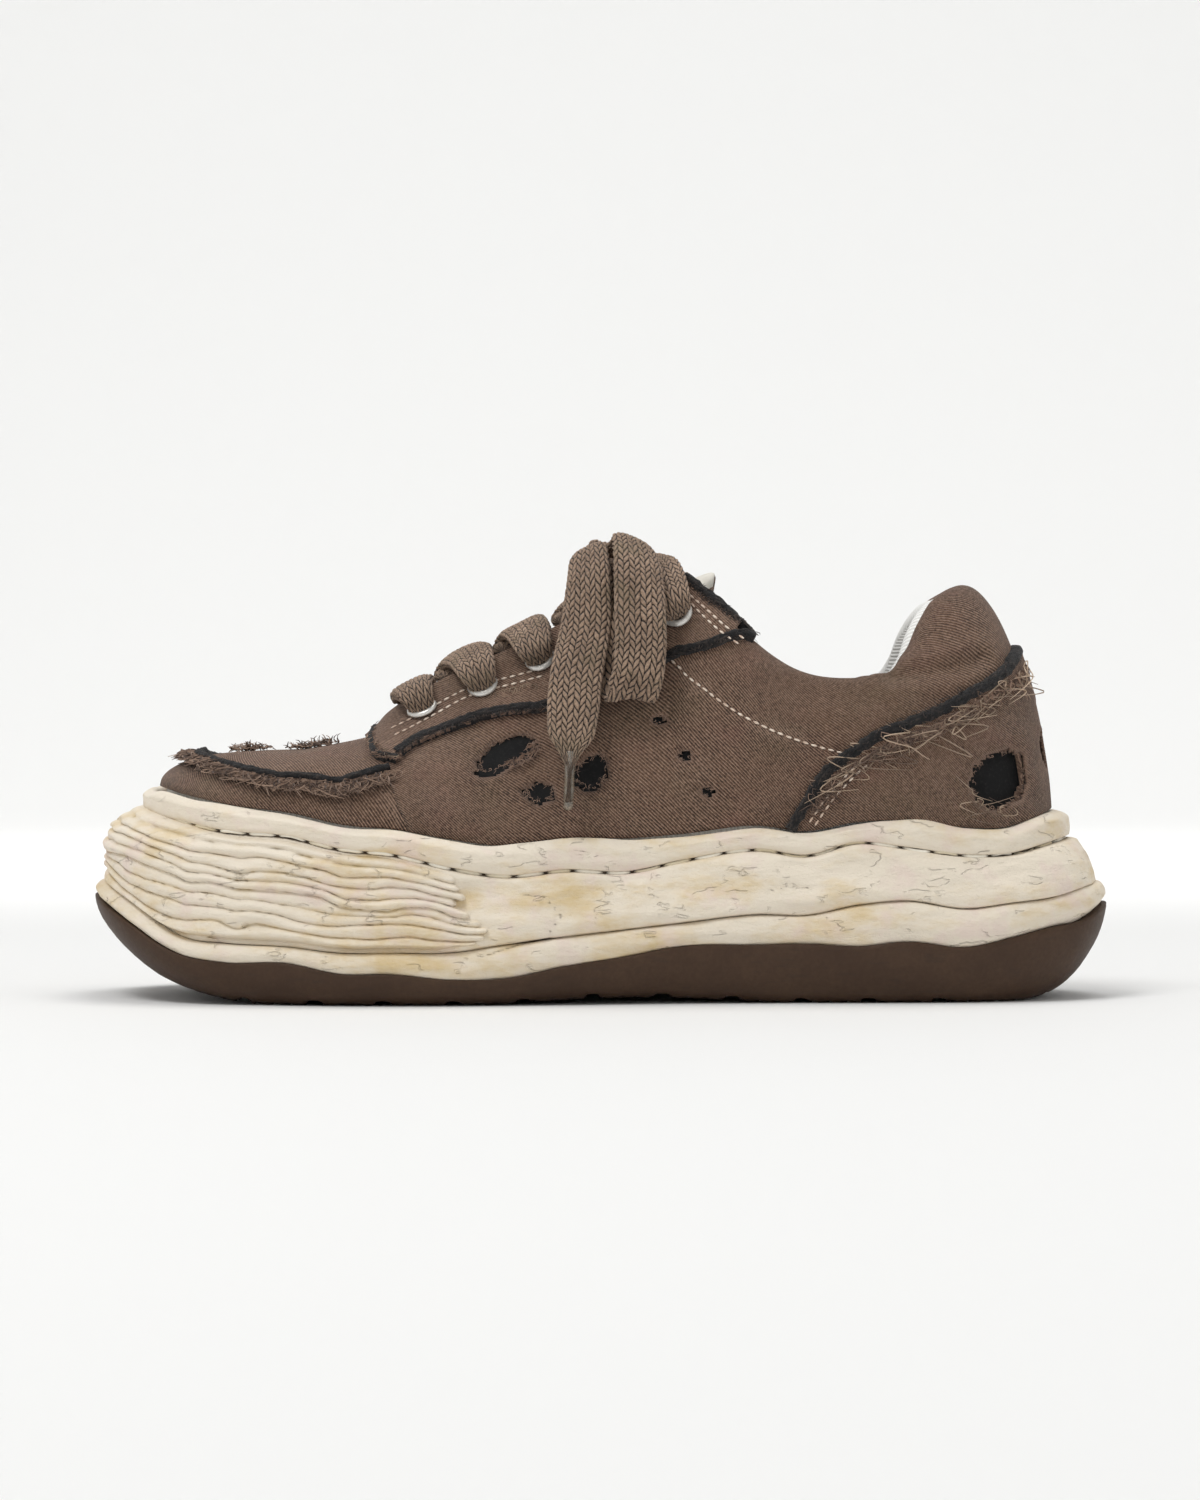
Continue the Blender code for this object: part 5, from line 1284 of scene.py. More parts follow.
def tread(points):
    """Cuts the tread's cross grooves, and finer zigzag ribs, into the lowest part of the outsole."""
    x, y, z = points[..., 0], points[..., 1], points[..., 2]
    nearest = np.clip(np.round((x - TREAD_FIRST_X) / TREAD_PITCH), 0, TREAD_GROOVES - 1)
    gap = np.abs(x - TREAD_FIRST_X - nearest * TREAD_PITCH)
    broad = GROOVE_DEPTH * smoothstep(GROOVE_WIDTH / 2 + 0.0006, GROOVE_WIDTH / 2 - 0.0004, gap)
    zigzag = np.abs(((y / 0.01) % 1) - 0.5) * 0.006
    fine = np.abs((((x + zigzag) / RIB_PITCH) % 1) - 0.5) * RIB_PITCH
    low = bottom_height(x)
    rise = np.maximum(broad, 0.001 * smoothstep(0.0009, 0.0004, fine)) * smoothstep(0.003, 0.0004, z - low)
    made = points.copy()
    made[..., 2] = np.maximum(z, np.minimum(z + rise, np.maximum(z, low + rise)))
    return made


def outsole_mesh():
    """The outsole: a rounded edge below, a thin rim above, and the tread."""
    t = around(0.0013)
    reach, edge = outsole_reach(t), rounding(t)
    high = LAST.lines["outsole_top"](LAST.ring(t, reach)[:, 0])
    rows = []
    for turn in EDGE_TURNS:
        a = radians(turn)
        plan = LAST.ring(t, reach - edge * (1 - cos(a)))
        low = bottom_height(plan[:, 0])
        rows.append(with_height(plan, low + (high - low) * (1 - sin(a))))
    for set_in, drop in ((0.0004, -0.00015), (OUTSOLE_RIM * 0.7, -0.0002), (OUTSOLE_RIM + 0.0015, 0.0012)):
        rows.append(with_height(LAST.ring(t, reach - set_in), high - drop))
    rows = np.array(rows)
    uneven = 0.00022 * rough(rows, (0.014, 0.012, 0.006), 81) + 0.0001 * rough(rows, 0.003, 82)
    uneven = uneven * smoothstep(0.0, 0.3, np.linspace(0, 1, len(rows))[:, None])
    side = slice(0, len(EDGE_TURNS))
    rows[side] += (outward3(t)[None] * uneven[..., None])[side]
    rows[side] = tread(rows[side])
    wall = wall_round("outsole", t, rows, {"dirt": smoothstep(0.01, 0.0, rows[..., 2])})
    plan = span(LAST.ring(t, reach - edge), 81)
    grid = tread(with_height(plan, bottom_height(plan[..., 0])))[:, ::-1]
    floor = sheet("outsole_bottom", grid, grid[..., :2], {"dirt": 1.0})
    return joined("outsole", [wall, floor], weld=True)


# Laces.


def lace_line(bends, spacing=0.00062):
    """The middle line of a lace through its bends, evenly spaced, with its width at each place."""
    places = np.array([bend[:3] for bend in bends])
    run = run_along(places)
    fine = np.linspace(0, run[-1], 400)
    line = np.stack([through(run, places[:, k])(fine) for k in range(3)], axis=1)
    length = run_along(line)
    along = np.linspace(0, length[-1], max(8, int(length[-1] / spacing)))
    width = np.interp(along, length, through(run, [bend.width for bend in bends])(fine))
    return places_at(along, length, line), width, along


def braid(round_share, along):
    """The braid's relief: grains in columns, leaning left and right in turn; 1 on a grain, 0 between."""
    column = round_share * BRAID_COLUMNS
    number = np.floor(column)
    local = column - number - 0.5
    odd = number % 2
    phase = along / BRAID_PITCH + (1 - 2 * odd) * local * BRAID_LEAN + 0.5 * odd
    lengthwise = phase - np.floor(phase) - 0.5
    return clamp(1 - np.abs(2 * lengthwise) ** 2.4 - 0.62 * np.abs(2 * local) ** 4) ** 0.5


def lace_outline():
    """A lace's section: shares of its width and thickness, outward directions, and how far round."""
    turn = np.linspace(0, 2 * pi, 2001)
    c, s = np.cos(turn), np.sin(turn)
    x, y = 0.5 * np.sign(c) * np.abs(c) ** 0.72, 0.5 * np.sign(s) * np.abs(s) ** 0.78
    wide, thick = 0.015, 0.0042
    run = np.append(0.0, np.cumsum(np.hypot(np.diff(x) * wide, np.diff(y) * thick)))
    share = np.arange(LACE_AROUND) / LACE_AROUND
    a, b = np.interp(share * run[-1], run, x), np.interp(share * run[-1], run, y)
    da, db = (np.roll(a, -1) - np.roll(a, 1)) * wide, (np.roll(b, -1) - np.roll(b, 1)) * thick
    size = np.hypot(da, db)
    return a, b, db / size, -da / size, share


def lace_mesh(bends, thickness, across, folds=0.1, seed=1, tilt=None):
    """A flat braided lace through its bends; `across` is roughly the direction its width lies in."""
    centre, width, along = lace_line(bends)
    tangent = unit(np.gradient(centre, axis=0))
    up = unit(np.cross(tangent, np.asarray(across, float)))
    wide = np.cross(up, tangent)
    if tilt is not None:
        turn = np.interp(along / along[-1], np.linspace(0, 1, len(tilt)), tilt)[:, None]
        wide, up = wide * np.cos(turn) + up * np.sin(turn), up * np.cos(turn) - wide * np.sin(turn)

    def placed(x, y):
        return centre[:, None] + wide[:, None] * x[..., None] + up[:, None] * y[..., None]

    a, b, out_x, out_y, share = lace_outline()
    column = np.stack([along, 0 * along, 0 * along], axis=1)
    bulge = 1 + folds * rough(column, 0.011, seed) + 0.6 * folds * rough(column, 0.005, seed + 1)
    fat = thickness * (0.8 + 0.2 * bulge)
    cup = 0.14 * rough(column, 0.016, seed + 2)
    skin = placed(a[None, :] * width[:, None], b[None, :] * fat[:, None])
    slip = 0.00075 * rough(skin, 0.0036, seed + 3)
    drift = 0.006 * rough(skin, 0.005, seed + 4)
    grain = BRAID_DEPTH * (braid(share[None, :] + drift, along[:, None] + slip) - 0.8)
    x = a[None, :] * (width * (0.97 + 0.03 * bulge))[:, None] + grain * out_x[None, :]
    y = b[None, :] * fat[:, None] - (cup * thickness)[:, None] * (4 * a[None, :] ** 2 - 0.5)
    y = y + grain * out_y[None, :]
    ends = np.clip(np.minimum(along, along[-1] - along) / 0.0012, 0.15, 1)[:, None]
    round_it = np.append(share, 1.0)[None, :] + np.append(drift, drift[:, :1], axis=1)
    lengthwise = along[:, None] + np.append(slip, slip[:, :1], axis=1)
    return tube("lace", placed(x * ends, y * ends), pair(lengthwise, round_it * LACE_GIRTH)), centre


def lace_into_hole(side, number):
    """Where a lace goes down through its eyelet."""
    t, v = eyelet_place(number)
    return Bend(*(LAST.surface(side * t, v) - LAST.normal(side * t, v) * 0.003), 0.005)


def knot_mesh():
    """The knot: a short strap wound round the meeting laces, over a lumpy core."""
    x, y, z = KNOT_CENTRE
    long, wide, tall = KNOT_HALF
    core = [
        Bend(x, y - wide * 0.86, z, 0.0092),
        Bend(x, y, z + 0.0004, 0.0112),
        Bend(x, y + wide * 0.86, z, 0.0092),
    ]
    wound = [
        Bend(x + long * 0.62 * cos(a), y + 0.0012 * a - 0.002, z - 0.0006 + tall * 0.58 * sin(a), 0.0084)
        for a in np.linspace(-0.25 * pi, 1.62 * pi, 15)
    ]
    lean = [
        Bend(x - long * 0.55, y - 0.0052, z - 0.0022, 0.007),
        Bend(x - long * 0.62, y, z + tall * 0.2, 0.009),
        Bend(x - long * 0.1, y + 0.005, z + tall * 0.45, 0.007),
    ]
    straps = (
        (core, 0.0098, (1.0, 0.0, 0.0), 0.3, 31),
        (wound, 0.0026, (0.0, 1.0, 0.0), 0.15, 32),
        (lean, 0.0026, (0.3, 0.0, 1.0), 0.1, 33),
    )
    return joined("knot", [lace_mesh(*strap)[0] for strap in straps])


def colour(red, green, blue):
    """A colour given from 0 to 255, in the renderer's own linear values."""
    return tuple(((c / 255 + 0.055) / 1.055) ** 2.4 if c > 10 else c / 3295 for c in (red, green, blue))


class Value:
    """A number from a node's output; arithmetic on it adds Math nodes."""

    def __init__(self, finish, output):
        self.finish = finish
        self.output = output

    def apply(self, operation, *others):
        return self._math(operation, self, *others)

    def _math(self, operation, *terms):
        made = self.finish.node("ShaderNodeMath", dict(enumerate(terms)), operation=operation)
        return Value(self.finish, made.outputs[0])

    def __add__(self, other):
        return self._math("ADD", self, other)

    def __sub__(self, other):
        return self._math("SUBTRACT", self, other)

    def __rsub__(self, other):
        return self._math("SUBTRACT", other, self)

    def __mul__(self, other):
        return self._math("MULTIPLY", self, other)

    def __truediv__(self, other):
        return self._math("DIVIDE", self, other)

    def __pow__(self, other):
        return self._math("POWER", self, other)

    __radd__ = __add__
    __rmul__ = __mul__

    def wave(self):
        """The sine, moved to lie from 0 to 1."""
        return self._math("SINE", self) * 0.5 + 0.5

    def between(self, low, high):
        """0 up to low, 1 from high, smooth in between."""
        sockets = {"Value": self, "From Min": low, "From Max": high}
        made = self.finish.node("ShaderNodeMapRange", sockets, interpolation_type="SMOOTHSTEP")
        return Value(self.finish, made.outputs["Result"])


class Finish:
    """A material in the making; one method adds any node from its kind, settings and socket values."""

    def __init__(self, name):
        self.material = bpy.data.materials.new(name)
        self.material.use_nodes = True
        self.shader = self.material.node_tree.nodes["Principled BSDF"]

    def node(self, kind, values=None, **settings):
        made = self.material.node_tree.nodes.new(kind)
        for key, setting in settings.items():
            setattr(made, key, setting)
        for key, value in (values or {}).items():
            self.feed(made.inputs[key], value)
        return made

    def feed(self, socket, value):
        if isinstance(value, Value):
            value = value.output
        if isinstance(value, bpy.types.NodeSocket):
            self.material.node_tree.links.new(value, socket)
        elif isinstance(value, tuple) and len(value) == 3 and socket.type == "RGBA":
            socket.default_value = (*value, 1.0)
        else:
            socket.default_value = value

    def mapped(self):
        """The two numbers of the piece's own map, in metres."""
        apart = self.node("ShaderNodeSeparateXYZ", {0: self.node("ShaderNodeUVMap", uv_map="map").outputs[0]})
        return Value(self, apart.outputs[0]), Value(self, apart.outputs[1])

    def mark(self, name):
        return Value(self, self.node("ShaderNodeAttribute", attribute_name=name).outputs["Fac"])

    def noise(self, size, detail=3.0, roughness=0.6, stretch=None):
        """Noise whose lumps are about this size in metres."""
        place = self.node("ShaderNodeTexCoord").outputs["Object"]
        if stretch is not None:
            place = self.node("ShaderNodeMapping", {"Vector": place, "Scale": stretch}).outputs[0]
        sockets = {"Vector": place, "Scale": 1 / size, "Detail": detail, "Roughness": roughness}
        return Value(self, self.node("ShaderNodeTexNoise", sockets).outputs["Fac"])

    def mix(self, first, second, share):
        return self.node("ShaderNodeMix", {0: share, 6: first, 7: second}, data_type="RGBA").outputs[2]

    def bump(self, height, distance, strength=1.0, under=None):
        values = {"Height": height, "Distance": distance, "Strength": strength}
        if under is not None:
            values["Normal"] = under
        return self.node("ShaderNodeBump", values).outputs[0]

    def done(self, **sockets):
        for name, value in sockets.items():
            self.feed(self.shader.inputs[name.replace("_", " ")], value)
        return self.material


def canvas_finish(name, pitch, lean, base, pale, soil):
    """Worn canvas: a slanting twill, patches of fading and soil, pale fluffy edges, and painted shade along
    the vamp seam.
    """
    f = Finish(name)
    u, v = f.mapped()
    edge, dirt, worn = f.mark("edge"), f.mark("dirt"), f.mark("worn")
    drift = f.noise(0.005, 2.0)
    fine = f.noise(0.00085, 3.0, 0.7)
    twill = ((lean * u + v) * (2 * pi / pitch) + drift * 1.6 + (fine - 0.5) * 2.2).wave()
    weft = ((u - lean * v) * (2 * pi / (pitch * 0.6)) + drift * 2.0).wave()
    patch = f.noise(0.014, 4.0, 0.65)
    faded = (worn * 0.55 + (patch - 0.45) * 1.2 + (fine - 0.5) * 0.4).between(0.05, 1.0)
    light = (twill * 0.8 + weft * 0.25 + (fine - 0.5) * 1.5).between(0.45, 1.2) * 0.95
    # The soil colour: in the twill's gaps, in soiled patches, and as painted shade in the vamp seam's crease.
    deep = ((1 - twill) * 0.75 + dirt * 0.35 + (patch - 0.5) * 0.6 + (0.5 - fine) * 2.2).between(0.3, 1.25)
    olive = (f.noise(0.026, 2.0) * 1.8 - 0.85).between(0.0, 1.0) * 0.4
    rose = (f.noise(0.019, 2.0, stretch=(1.0, 1.3, 1.6)) * 1.9 - 0.95).between(0.0, 1.0) * 0.42
    fluff = (edge + (fine - 0.5) * 0.8).between(0.45, 0.95) * 0.7
    shade = base
    for tint, share in (
        (pale, faded),
        (pale, light),
        (soil, deep * 0.97),
        (colour(96, 88, 58), olive),
        (colour(136, 92, 84), rose),
        (colour(132, 106, 90), fluff),
    ):
        shade = f.mix(shade, tint, share)
    normal = f.bump(twill * 0.9 + weft * 0.25 + fine * 0.9, 0.0003, 0.9)
    normal = f.bump(f.noise(0.0045, 3.0, 0.6), 0.0006, 0.6, normal)
    gloss = 0.88 + fine * 0.1
    return f.done(Base_Color=shade, Roughness=gloss, Sheen_Weight=0.08, Sheen_Roughness=0.5, Normal=normal)


def fray_finish():
    """The dark cut edge of the overlays: matted short fibres."""
    f = Finish("black_fray")
    fine = f.noise(0.0007, 4.0, 0.75)
    matted = (fine * 0.9 + f.mark("worn") * 0.35 + f.noise(0.005, 3.0) * 0.35).between(0.75, 1.15)
    shade = f.mix(colour(17, 16, 18), colour(70, 60, 54), matted)
    normal = f.bump(fine + f.noise(0.0016, 3.0, 0.7), 0.0005, 1.0)
    return f.done(Base_Color=shade, Roughness=0.95, Sheen_Weight=0.1, Normal=normal)


def hole_shadow_finish():
    """Painted shadow: a near-black sheet behind the holes, standing in for the shade inside them."""
    f = Finish("dark_cloth")
    fine = f.noise(0.0009, 3.0, 0.7)
    shade = f.mix(colour(9, 9, 10), colour(30, 28, 28), (fine - 0.5).between(0.0, 0.2))
    return f.done(Base_Color=shade, Roughness=0.92 + fine * 0.06, Normal=f.bump(fine, 0.0002, 0.6))


def thread_finish(name, dark, light):
    f = Finish(name)
    shade = f.mix(dark, light, (f.mark("worn") * 1.1 + f.noise(0.004) * 0.4 - 0.2).between(0.0, 1.0))
    return f.done(Base_Color=shade, Roughness=0.85, Sheen_Weight=0.15)


def rubber_finish(white, ochre):
    """Aged cream rubber: pale and smooth where rubbed, ochre in hollows and patches, with thin creases;
    painted shade darkens the creases a little and lies as dark lines where the line mark runs.
    """
    f = Finish("cream_rubber")
    hollow, line, dirt = f.mark("hollow"), f.mark("line"), f.mark("dirt")
    upright = (0.6, 0.6, 1.5)
    broad = f.noise(0.024, 4.0, 0.6, stretch=upright)
    small = f.noise(0.0046, 4.0, 0.65, stretch=upright)
    fine = f.noise(0.0011, 3.0, 0.7)
    aged = (hollow * 0.7 + (broad - 0.44) * 2.9 + (small - 0.5) * 1.1 + dirt * 0.15).between(0.0, 1.0)
    pale = f.mix(white, ochre, aged * 0.9)
    rosy = f.mix(pale, colour(226, 206, 196), (f.noise(0.012, 3.0) - 0.5).between(0.0, 0.22) * 0.6)
    winding = f.noise(0.011, 3.0, 0.5, stretch=(0.75, 0.75, 2.0))
    crease = 1 - (winding - 0.5).apply("ABSOLUTE").between(0.0, 0.02)
    crease = crease * (f.noise(0.009, 3.0) - 0.53).between(0.0, 0.08)
    stain = (f.noise(0.009, 5.0, 0.7) - 0.56).between(0.0, 0.16)
    # The thin creases are darkened a little here: painted shade in them; the stains and the soil mark add
    # real soil.
    soiled = crease * 0.15 + stain * 0.3 + (small - 0.56) * 1.4 * dirt
    stained = f.mix(rosy, colour(132, 104, 66), soiled.between(0.08, 1.0) * 0.75)
    # Painted shade: dark brown along the line mark, in the groove, the strip's crack, the creases and between
    # the bumper's ridges.
    line_shaded = f.mix(stained, colour(80, 60, 40), (line + (fine - 0.5) * 0.5).between(0.35, 0.85) * 0.9)
    normal = f.bump(small * 0.9 + fine * 0.2 - crease * 0.55, 0.00085, 0.9)
    gloss = 0.4 + (1 - small) * 0.22 + dirt * 0.12
    return f.done(Base_Color=line_shaded, Roughness=gloss, Normal=normal)


def brown_finish():
    """The matte brown outsole: even, slightly pitted and scuffed."""
    f = Finish("brown_rubber")
    broad, fine = f.noise(0.02, 4.0, 0.6), f.noise(0.0013, 4.0, 0.7)
    tone = (broad * 0.9 + (fine - 0.5) * 0.5).between(0.25, 0.95)
    shade = f.mix(colour(63, 44, 30), colour(80, 59, 42), tone)
    dust = ((f.noise(0.007, 3.0) - 0.58) * 1.4 + f.mark("dirt") * 0.1).between(0.1, 0.8) * 0.22
    shade = f.mix(shade, colour(104, 84, 64), dust)
    scuff = f.noise(0.003, 3.0, 0.6, stretch=(0.3, 1.0, 2.0))
    shade = f.mix(shade, colour(54, 42, 33), (scuff - 0.58).between(0.0, 0.1) * 0.3)
    normal = f.bump(fine * 0.5 + f.noise(0.005, 3.0) * 0.5 + scuff * 0.2, 0.00025, 0.6)
    gloss = 0.5 + (1 - fine) * 0.18
    return f.done(Base_Color=shade, Roughness=gloss, Specular_IOR_Level=0.3, Normal=normal)


def braid_finish():
    """The laces: brown cord, with painted shade near-black between the grains of the braid, and a hairy
    surface.
    """
    f = Finish("braid")
    u, v = f.mapped()
    fine = f.noise(0.0006, 3.0, 0.7)
    column = v * (BRAID_COLUMNS / LACE_GIRTH)
    number = column.apply("FLOOR")
    local = column - number - 0.5
    odd = number.apply("MODULO", 2.0)
    phase = u / BRAID_PITCH + (1 - 2 * odd) * local * BRAID_LEAN + odd * 0.5
    lengthwise = phase - phase.apply("FLOOR") - 0.5
    grain = 1 - (lengthwise * 2).apply("ABSOLUTE") ** 2.4 - (local * 2).apply("ABSOLUTE") ** 4.0 * 0.55
    fibres = ((u + (1 - 2 * odd) * v * 1.7) * (2 * pi / 0.00055) + fine * 6.0).wave()
    tone = (f.noise(0.008, 3.0) * 0.7 + fibres * 0.35 + (fine - 0.5) * 0.9).between(0.2, 0.9)
    top = f.mix(colour(126, 103, 85), colour(194, 165, 141), tone)
    # Painted shade: near-black between the braid's grains.
    shade = f.mix(colour(34, 26, 21), top, (grain + (fine - 0.5) * 0.45).between(0.08, 0.85))
    olive = f.mix(shade, colour(108, 98, 70), (f.noise(0.012, 2.0) - 0.5).between(0.0, 0.2) * 0.3)
    normal = f.bump(fibres * 0.35 + fine + grain.between(0.0, 0.7) * 1.4, 0.00028, 0.9)
    return f.done(Base_Color=olive, Roughness=0.86, Sheen_Weight=0.12, Sheen_Roughness=0.5, Normal=normal)


def metal_finish():
    """The eyelets: off-white painted rings, chipped to dull metal."""
    f = Finish("ring_metal")
    chip = (f.noise(0.0016, 3.0, 0.7) * 0.8 + f.noise(0.005, 2.0) * 0.4 - 0.2).between(0.48, 0.6)
    shade = f.mix(colour(226, 224, 219), colour(132, 120, 104), chip * 0.6)
    grime = f.mix(shade, colour(158, 142, 122), (f.noise(0.0024, 3.0) - 0.46).between(0.0, 0.3) * 0.35)
    normal = f.bump(f.noise(0.0007, 3.0), 0.00008, 0.6)
    return f.done(Base_Color=grime, Roughness=0.26 + chip * 0.25, Metallic=0.45 + chip * 0.4, Normal=normal)


def tip_finish():
    """Clear, slightly yellowed plastic over the lace's end."""
    f = Finish("clear_tip")
    haze = f.noise(0.004, 3.0)
    shade = f.mix(colour(232, 224, 210), colour(200, 186, 164), haze.between(0.35, 0.7))
    normal = f.bump(f.noise(0.0015, 3.0), 0.00012, 0.5)
    gloss = 0.16 + haze * 0.1
    clear = {"Transmission_Weight": 0.8, "IOR": 1.45, "Coat_Weight": 0.5}
    return f.done(Base_Color=shade, Roughness=gloss, Normal=normal, **clear)


def lining_finish():
    """Bright white lining with fine upright ribs, soiled lower down."""
    f = Finish("lining")
    rib = (f.mapped()[0] * (2 * pi / 0.0016) + f.noise(0.01) * 2.5).wave()
    fine = f.noise(0.0009, 3.0, 0.7)
    soil = ((f.noise(0.014, 4.0) - 0.46) * 1.4).between(0.0, 0.9) * 0.6
    soiled = f.mix(colour(248, 247, 244), colour(206, 196, 180), soil)
    ribbed = f.mix(soiled, colour(178, 172, 162), (1 - rib).between(0.6, 1.0) * 0.3)
    normal = f.bump(rib + fine * 0.5, 0.00028, 0.8)
    return f.done(Base_Color=ribbed, Roughness=0.9, Sheen_Weight=0.2, Normal=normal)


def floor_finish():
    f = Finish("studio_floor")
    tone = f.mix(colour(238, 238, 237), colour(236, 236, 235), f.noise(0.9, 2.0))
    return f.done(Base_Color=tone, Roughness=0.75 + f.noise(0.4, 2.0) * 0.1)


# The add-on: sizes and colours, one operator for each group of pieces, a panel and the run itself.


def colour_setting(name, description, red, green, blue):
    return FloatVectorProperty(
        name=name, description=description, subtype="COLOR", default=colour(red, green, blue), min=0, max=1
    )


class SneakerColours(bpy.types.PropertyGroup):
    """The colours that a user would change."""

    canvas: colour_setting("Canvas", "The cloth of the upper", 106, 79, 62)
    faded: colour_setting("Faded canvas", "The cloth where it is rubbed pale", 164, 136, 117)
    # The soil colour also paints the shade in the vamp seam's crease.
    soil: colour_setting("Soil", "Dirt in the cloth", 46, 32, 25)
    rubber: colour_setting("Rubber", "The midsole and toe bumper", 231, 220, 202)
    ochre: colour_setting("Aged rubber", "The rubber where it has yellowed", 212, 186, 134)


def length_setting(name, description, default, low, high):
    limits = {"default": default, "min": low, "max": high}
    return FloatProperty(name=name, description=description, unit="LENGTH", **limits)


class SneakerSizes(bpy.types.PropertyGroup):
    """The sizes that a user would change."""

    panel_spacing: length_setting("Cloth fineness", "The cloth's point spacing", 0.0013, 0.0005, 0.005)
    stitch_length: length_setting("Stitch", "Length of a stitch on the upper", 0.0021, 0.001, 0.005)
    groove_stitch: length_setting("Sole stitch", "Length of a sole stitch", 0.0082, 0.004, 0.015)
    fringe: length_setting("Fringe", "Fringe under the apron strip", 0.0046, 0.001, 0.01)
    hairs: IntProperty(
        name="Loose threads", description="Threads at the heel counter", default=300, min=0, max=2000
    )


FINISHES = {}


OTHER_FINISHES = {
    "brown": brown_finish,
    "braid": braid_finish,
    "metal": metal_finish,
    "tip": tip_finish,
    "lining": lining_finish,
    "fray": fray_finish,
    "dark_cloth": hole_shadow_finish,
    "floor": floor_finish,
}


THREADS = {  # the material's name, its dark and its light colour
    "black_thread": ("black_thread", (12, 11, 12), (74, 62, 56)),
    "fringe": ("apron_fringe", (66, 50, 42), (158, 132, 114)),
    "label": ("tongue_label", (206, 200, 188), (236, 232, 222)),
    "dark_thread": ("dark_thread", (78, 60, 50), (156, 128, 110)),
    "pale_thread": ("pale_thread", (100, 80, 66), (196, 172, 148)),
    "stitch": ("stitch_thread", (196, 168, 148), (238, 222, 206)),
    "white_thread": ("sole_thread", (214, 200, 170), (246, 240, 226)),
}


WEAVES = {  # the material's name, the distance between its twill lines, and which way they lean
    "canvas": ("canvas", 0.00105, -1.0),
    "overlay": ("canvas_overlay", 0.00085, -1.0),
    "tongue": ("canvas_tongue", 0.00095, 1.0),
}


def finish_named(name):
    """Each finish is made once, from the colours in the panel."""
    if name not in FINISHES:
        c = bpy.context.scene.sneaker_colours
        if name in WEAVES:
            made = canvas_finish(*WEAVES[name], tuple(c.canvas), tuple(c.faded), tuple(c.soil))
        elif name in THREADS:
            title, dark, light = THREADS[name]
            made = thread_finish(title, colour(*dark), colour(*light))
        elif name == "rubber":
            made = rubber_finish(tuple(c.rubber), tuple(c.ochre))
        else:
            made = OTHER_FINISHES[name]()
        FINISHES[name] = made
    return FINISHES[name]


def spun(bm, profile, steps):
    """Turns a profile once round the upright axis."""
    bmesh.ops.spin(
        bm, geom=profile, cent=(0, 0, 0), axis=(0, 0, 1), angle=2 * pi, steps=steps, use_merge=True
    )


def aimed(name, data, place, aim):
    """A lamp or camera at a place, turned towards another."""
    held = bpy.data.objects.new(name, data)
    held.location = place
    held.rotation_euler = (Vector(aim) - Vector(place)).to_track_quat("-Z", "Y").to_euler()
    bpy.context.scene.collection.objects.link(held)
    return held


LIGHTS = (  # name, place, what it is aimed at, size, power in watts
    ("key_light", (-0.8, -0.9, 2.2), (0, 0, 0.05), 0.9, 25.0),
    ("fill_light", (1.8, -1.9, 1.2), (0, 0, 0.05), 2.0, 3.5),
    ("top_light", (0.3, 0.5, 2.4), (0, 0, 0.05), 1.1, 17.0),
    ("wall_light", (0.0, 1.2, 1.25), (0, 2.65, 0.3), 1.8, 12.5),
)


WALL_CURVE = 1.2


FLOOR_REACH = 1.9


class SNEAKER_OT_stage(bpy.types.Operator):
    """Lay the pale floor, hang the soft lights and set the camera"""

    bl_idname = "sneaker.stage"
    bl_label = "Stage"

    def execute(self, context):
        scene = context.scene
        bm = bmesh.new()
        turns = [radians(a) for a in range(6, 91, 6)]
        outline = [(0.02, 0.0), (FLOOR_REACH, 0.0)]
        outline += [(FLOOR_REACH + WALL_CURVE * sin(a), WALL_CURVE * (1 - cos(a))) for a in turns]
        outline += [(FLOOR_REACH + WALL_CURVE, 3.0)]
        line = [bm.verts.new((r, 0.0, z)) for r, z in outline]
        edges = [bm.edges.new(ends) for ends in zip(line, line[1:])]
        spun(bm, line + edges, 96)
        rim = [e for e in bm.edges if e.is_boundary and all(v.co.z < 0.01 for v in e.verts)]
        bmesh.ops.contextual_create(bm, geom=rim)
        bmesh.ops.recalc_face_normals(bm, faces=bm.faces[:])
        bmesh.ops.reverse_faces(bm, faces=bm.faces[:])
        floor = bpy.data.objects.new("studio_floor", from_bmesh("studio_floor", bm))
        floor.data.materials.append(finish_named("floor"))
        scene.collection.objects.link(floor)
        for name, place, aim, size, power in LIGHTS:
            lamp = bpy.data.lights.new(name, "AREA")
            lamp.size = size
            lamp.energy = power
            aimed(name, lamp, place, aim)
        scene.world = scene.world or bpy.data.worlds.new("studio")
        scene.world.use_nodes = True
        sky = scene.world.node_tree.nodes["Background"]
        sky.inputs["Color"].default_value = (1.0, 1.0, 1.0, 1.0)
        sky.inputs["Strength"].default_value = 0.44
        eye = bpy.data.cameras.new("main_camera")
        eye.sensor_fit = "VERTICAL"
        eye.sensor_height = 24.0
        eye.lens = 24.0 * 1.4 / 0.4539
        eye.clip_start = 0.05
        scene.camera = aimed("main_camera", eye, (0.0, -1.4, 0.09), (0.0, 0.0, 0.0741))
        scene.view_settings.view_transform = "Standard"
        return {"FINISHED"}


def hang(name, node, bends, seed, tilt):
    mesh, centre = lace_mesh(bends, LACE_THICKNESS + 0.0004, (1.0, 0.0, 0.0), 0.22, seed, tilt)
    piece = finish_piece(name, mesh, "braid", node)


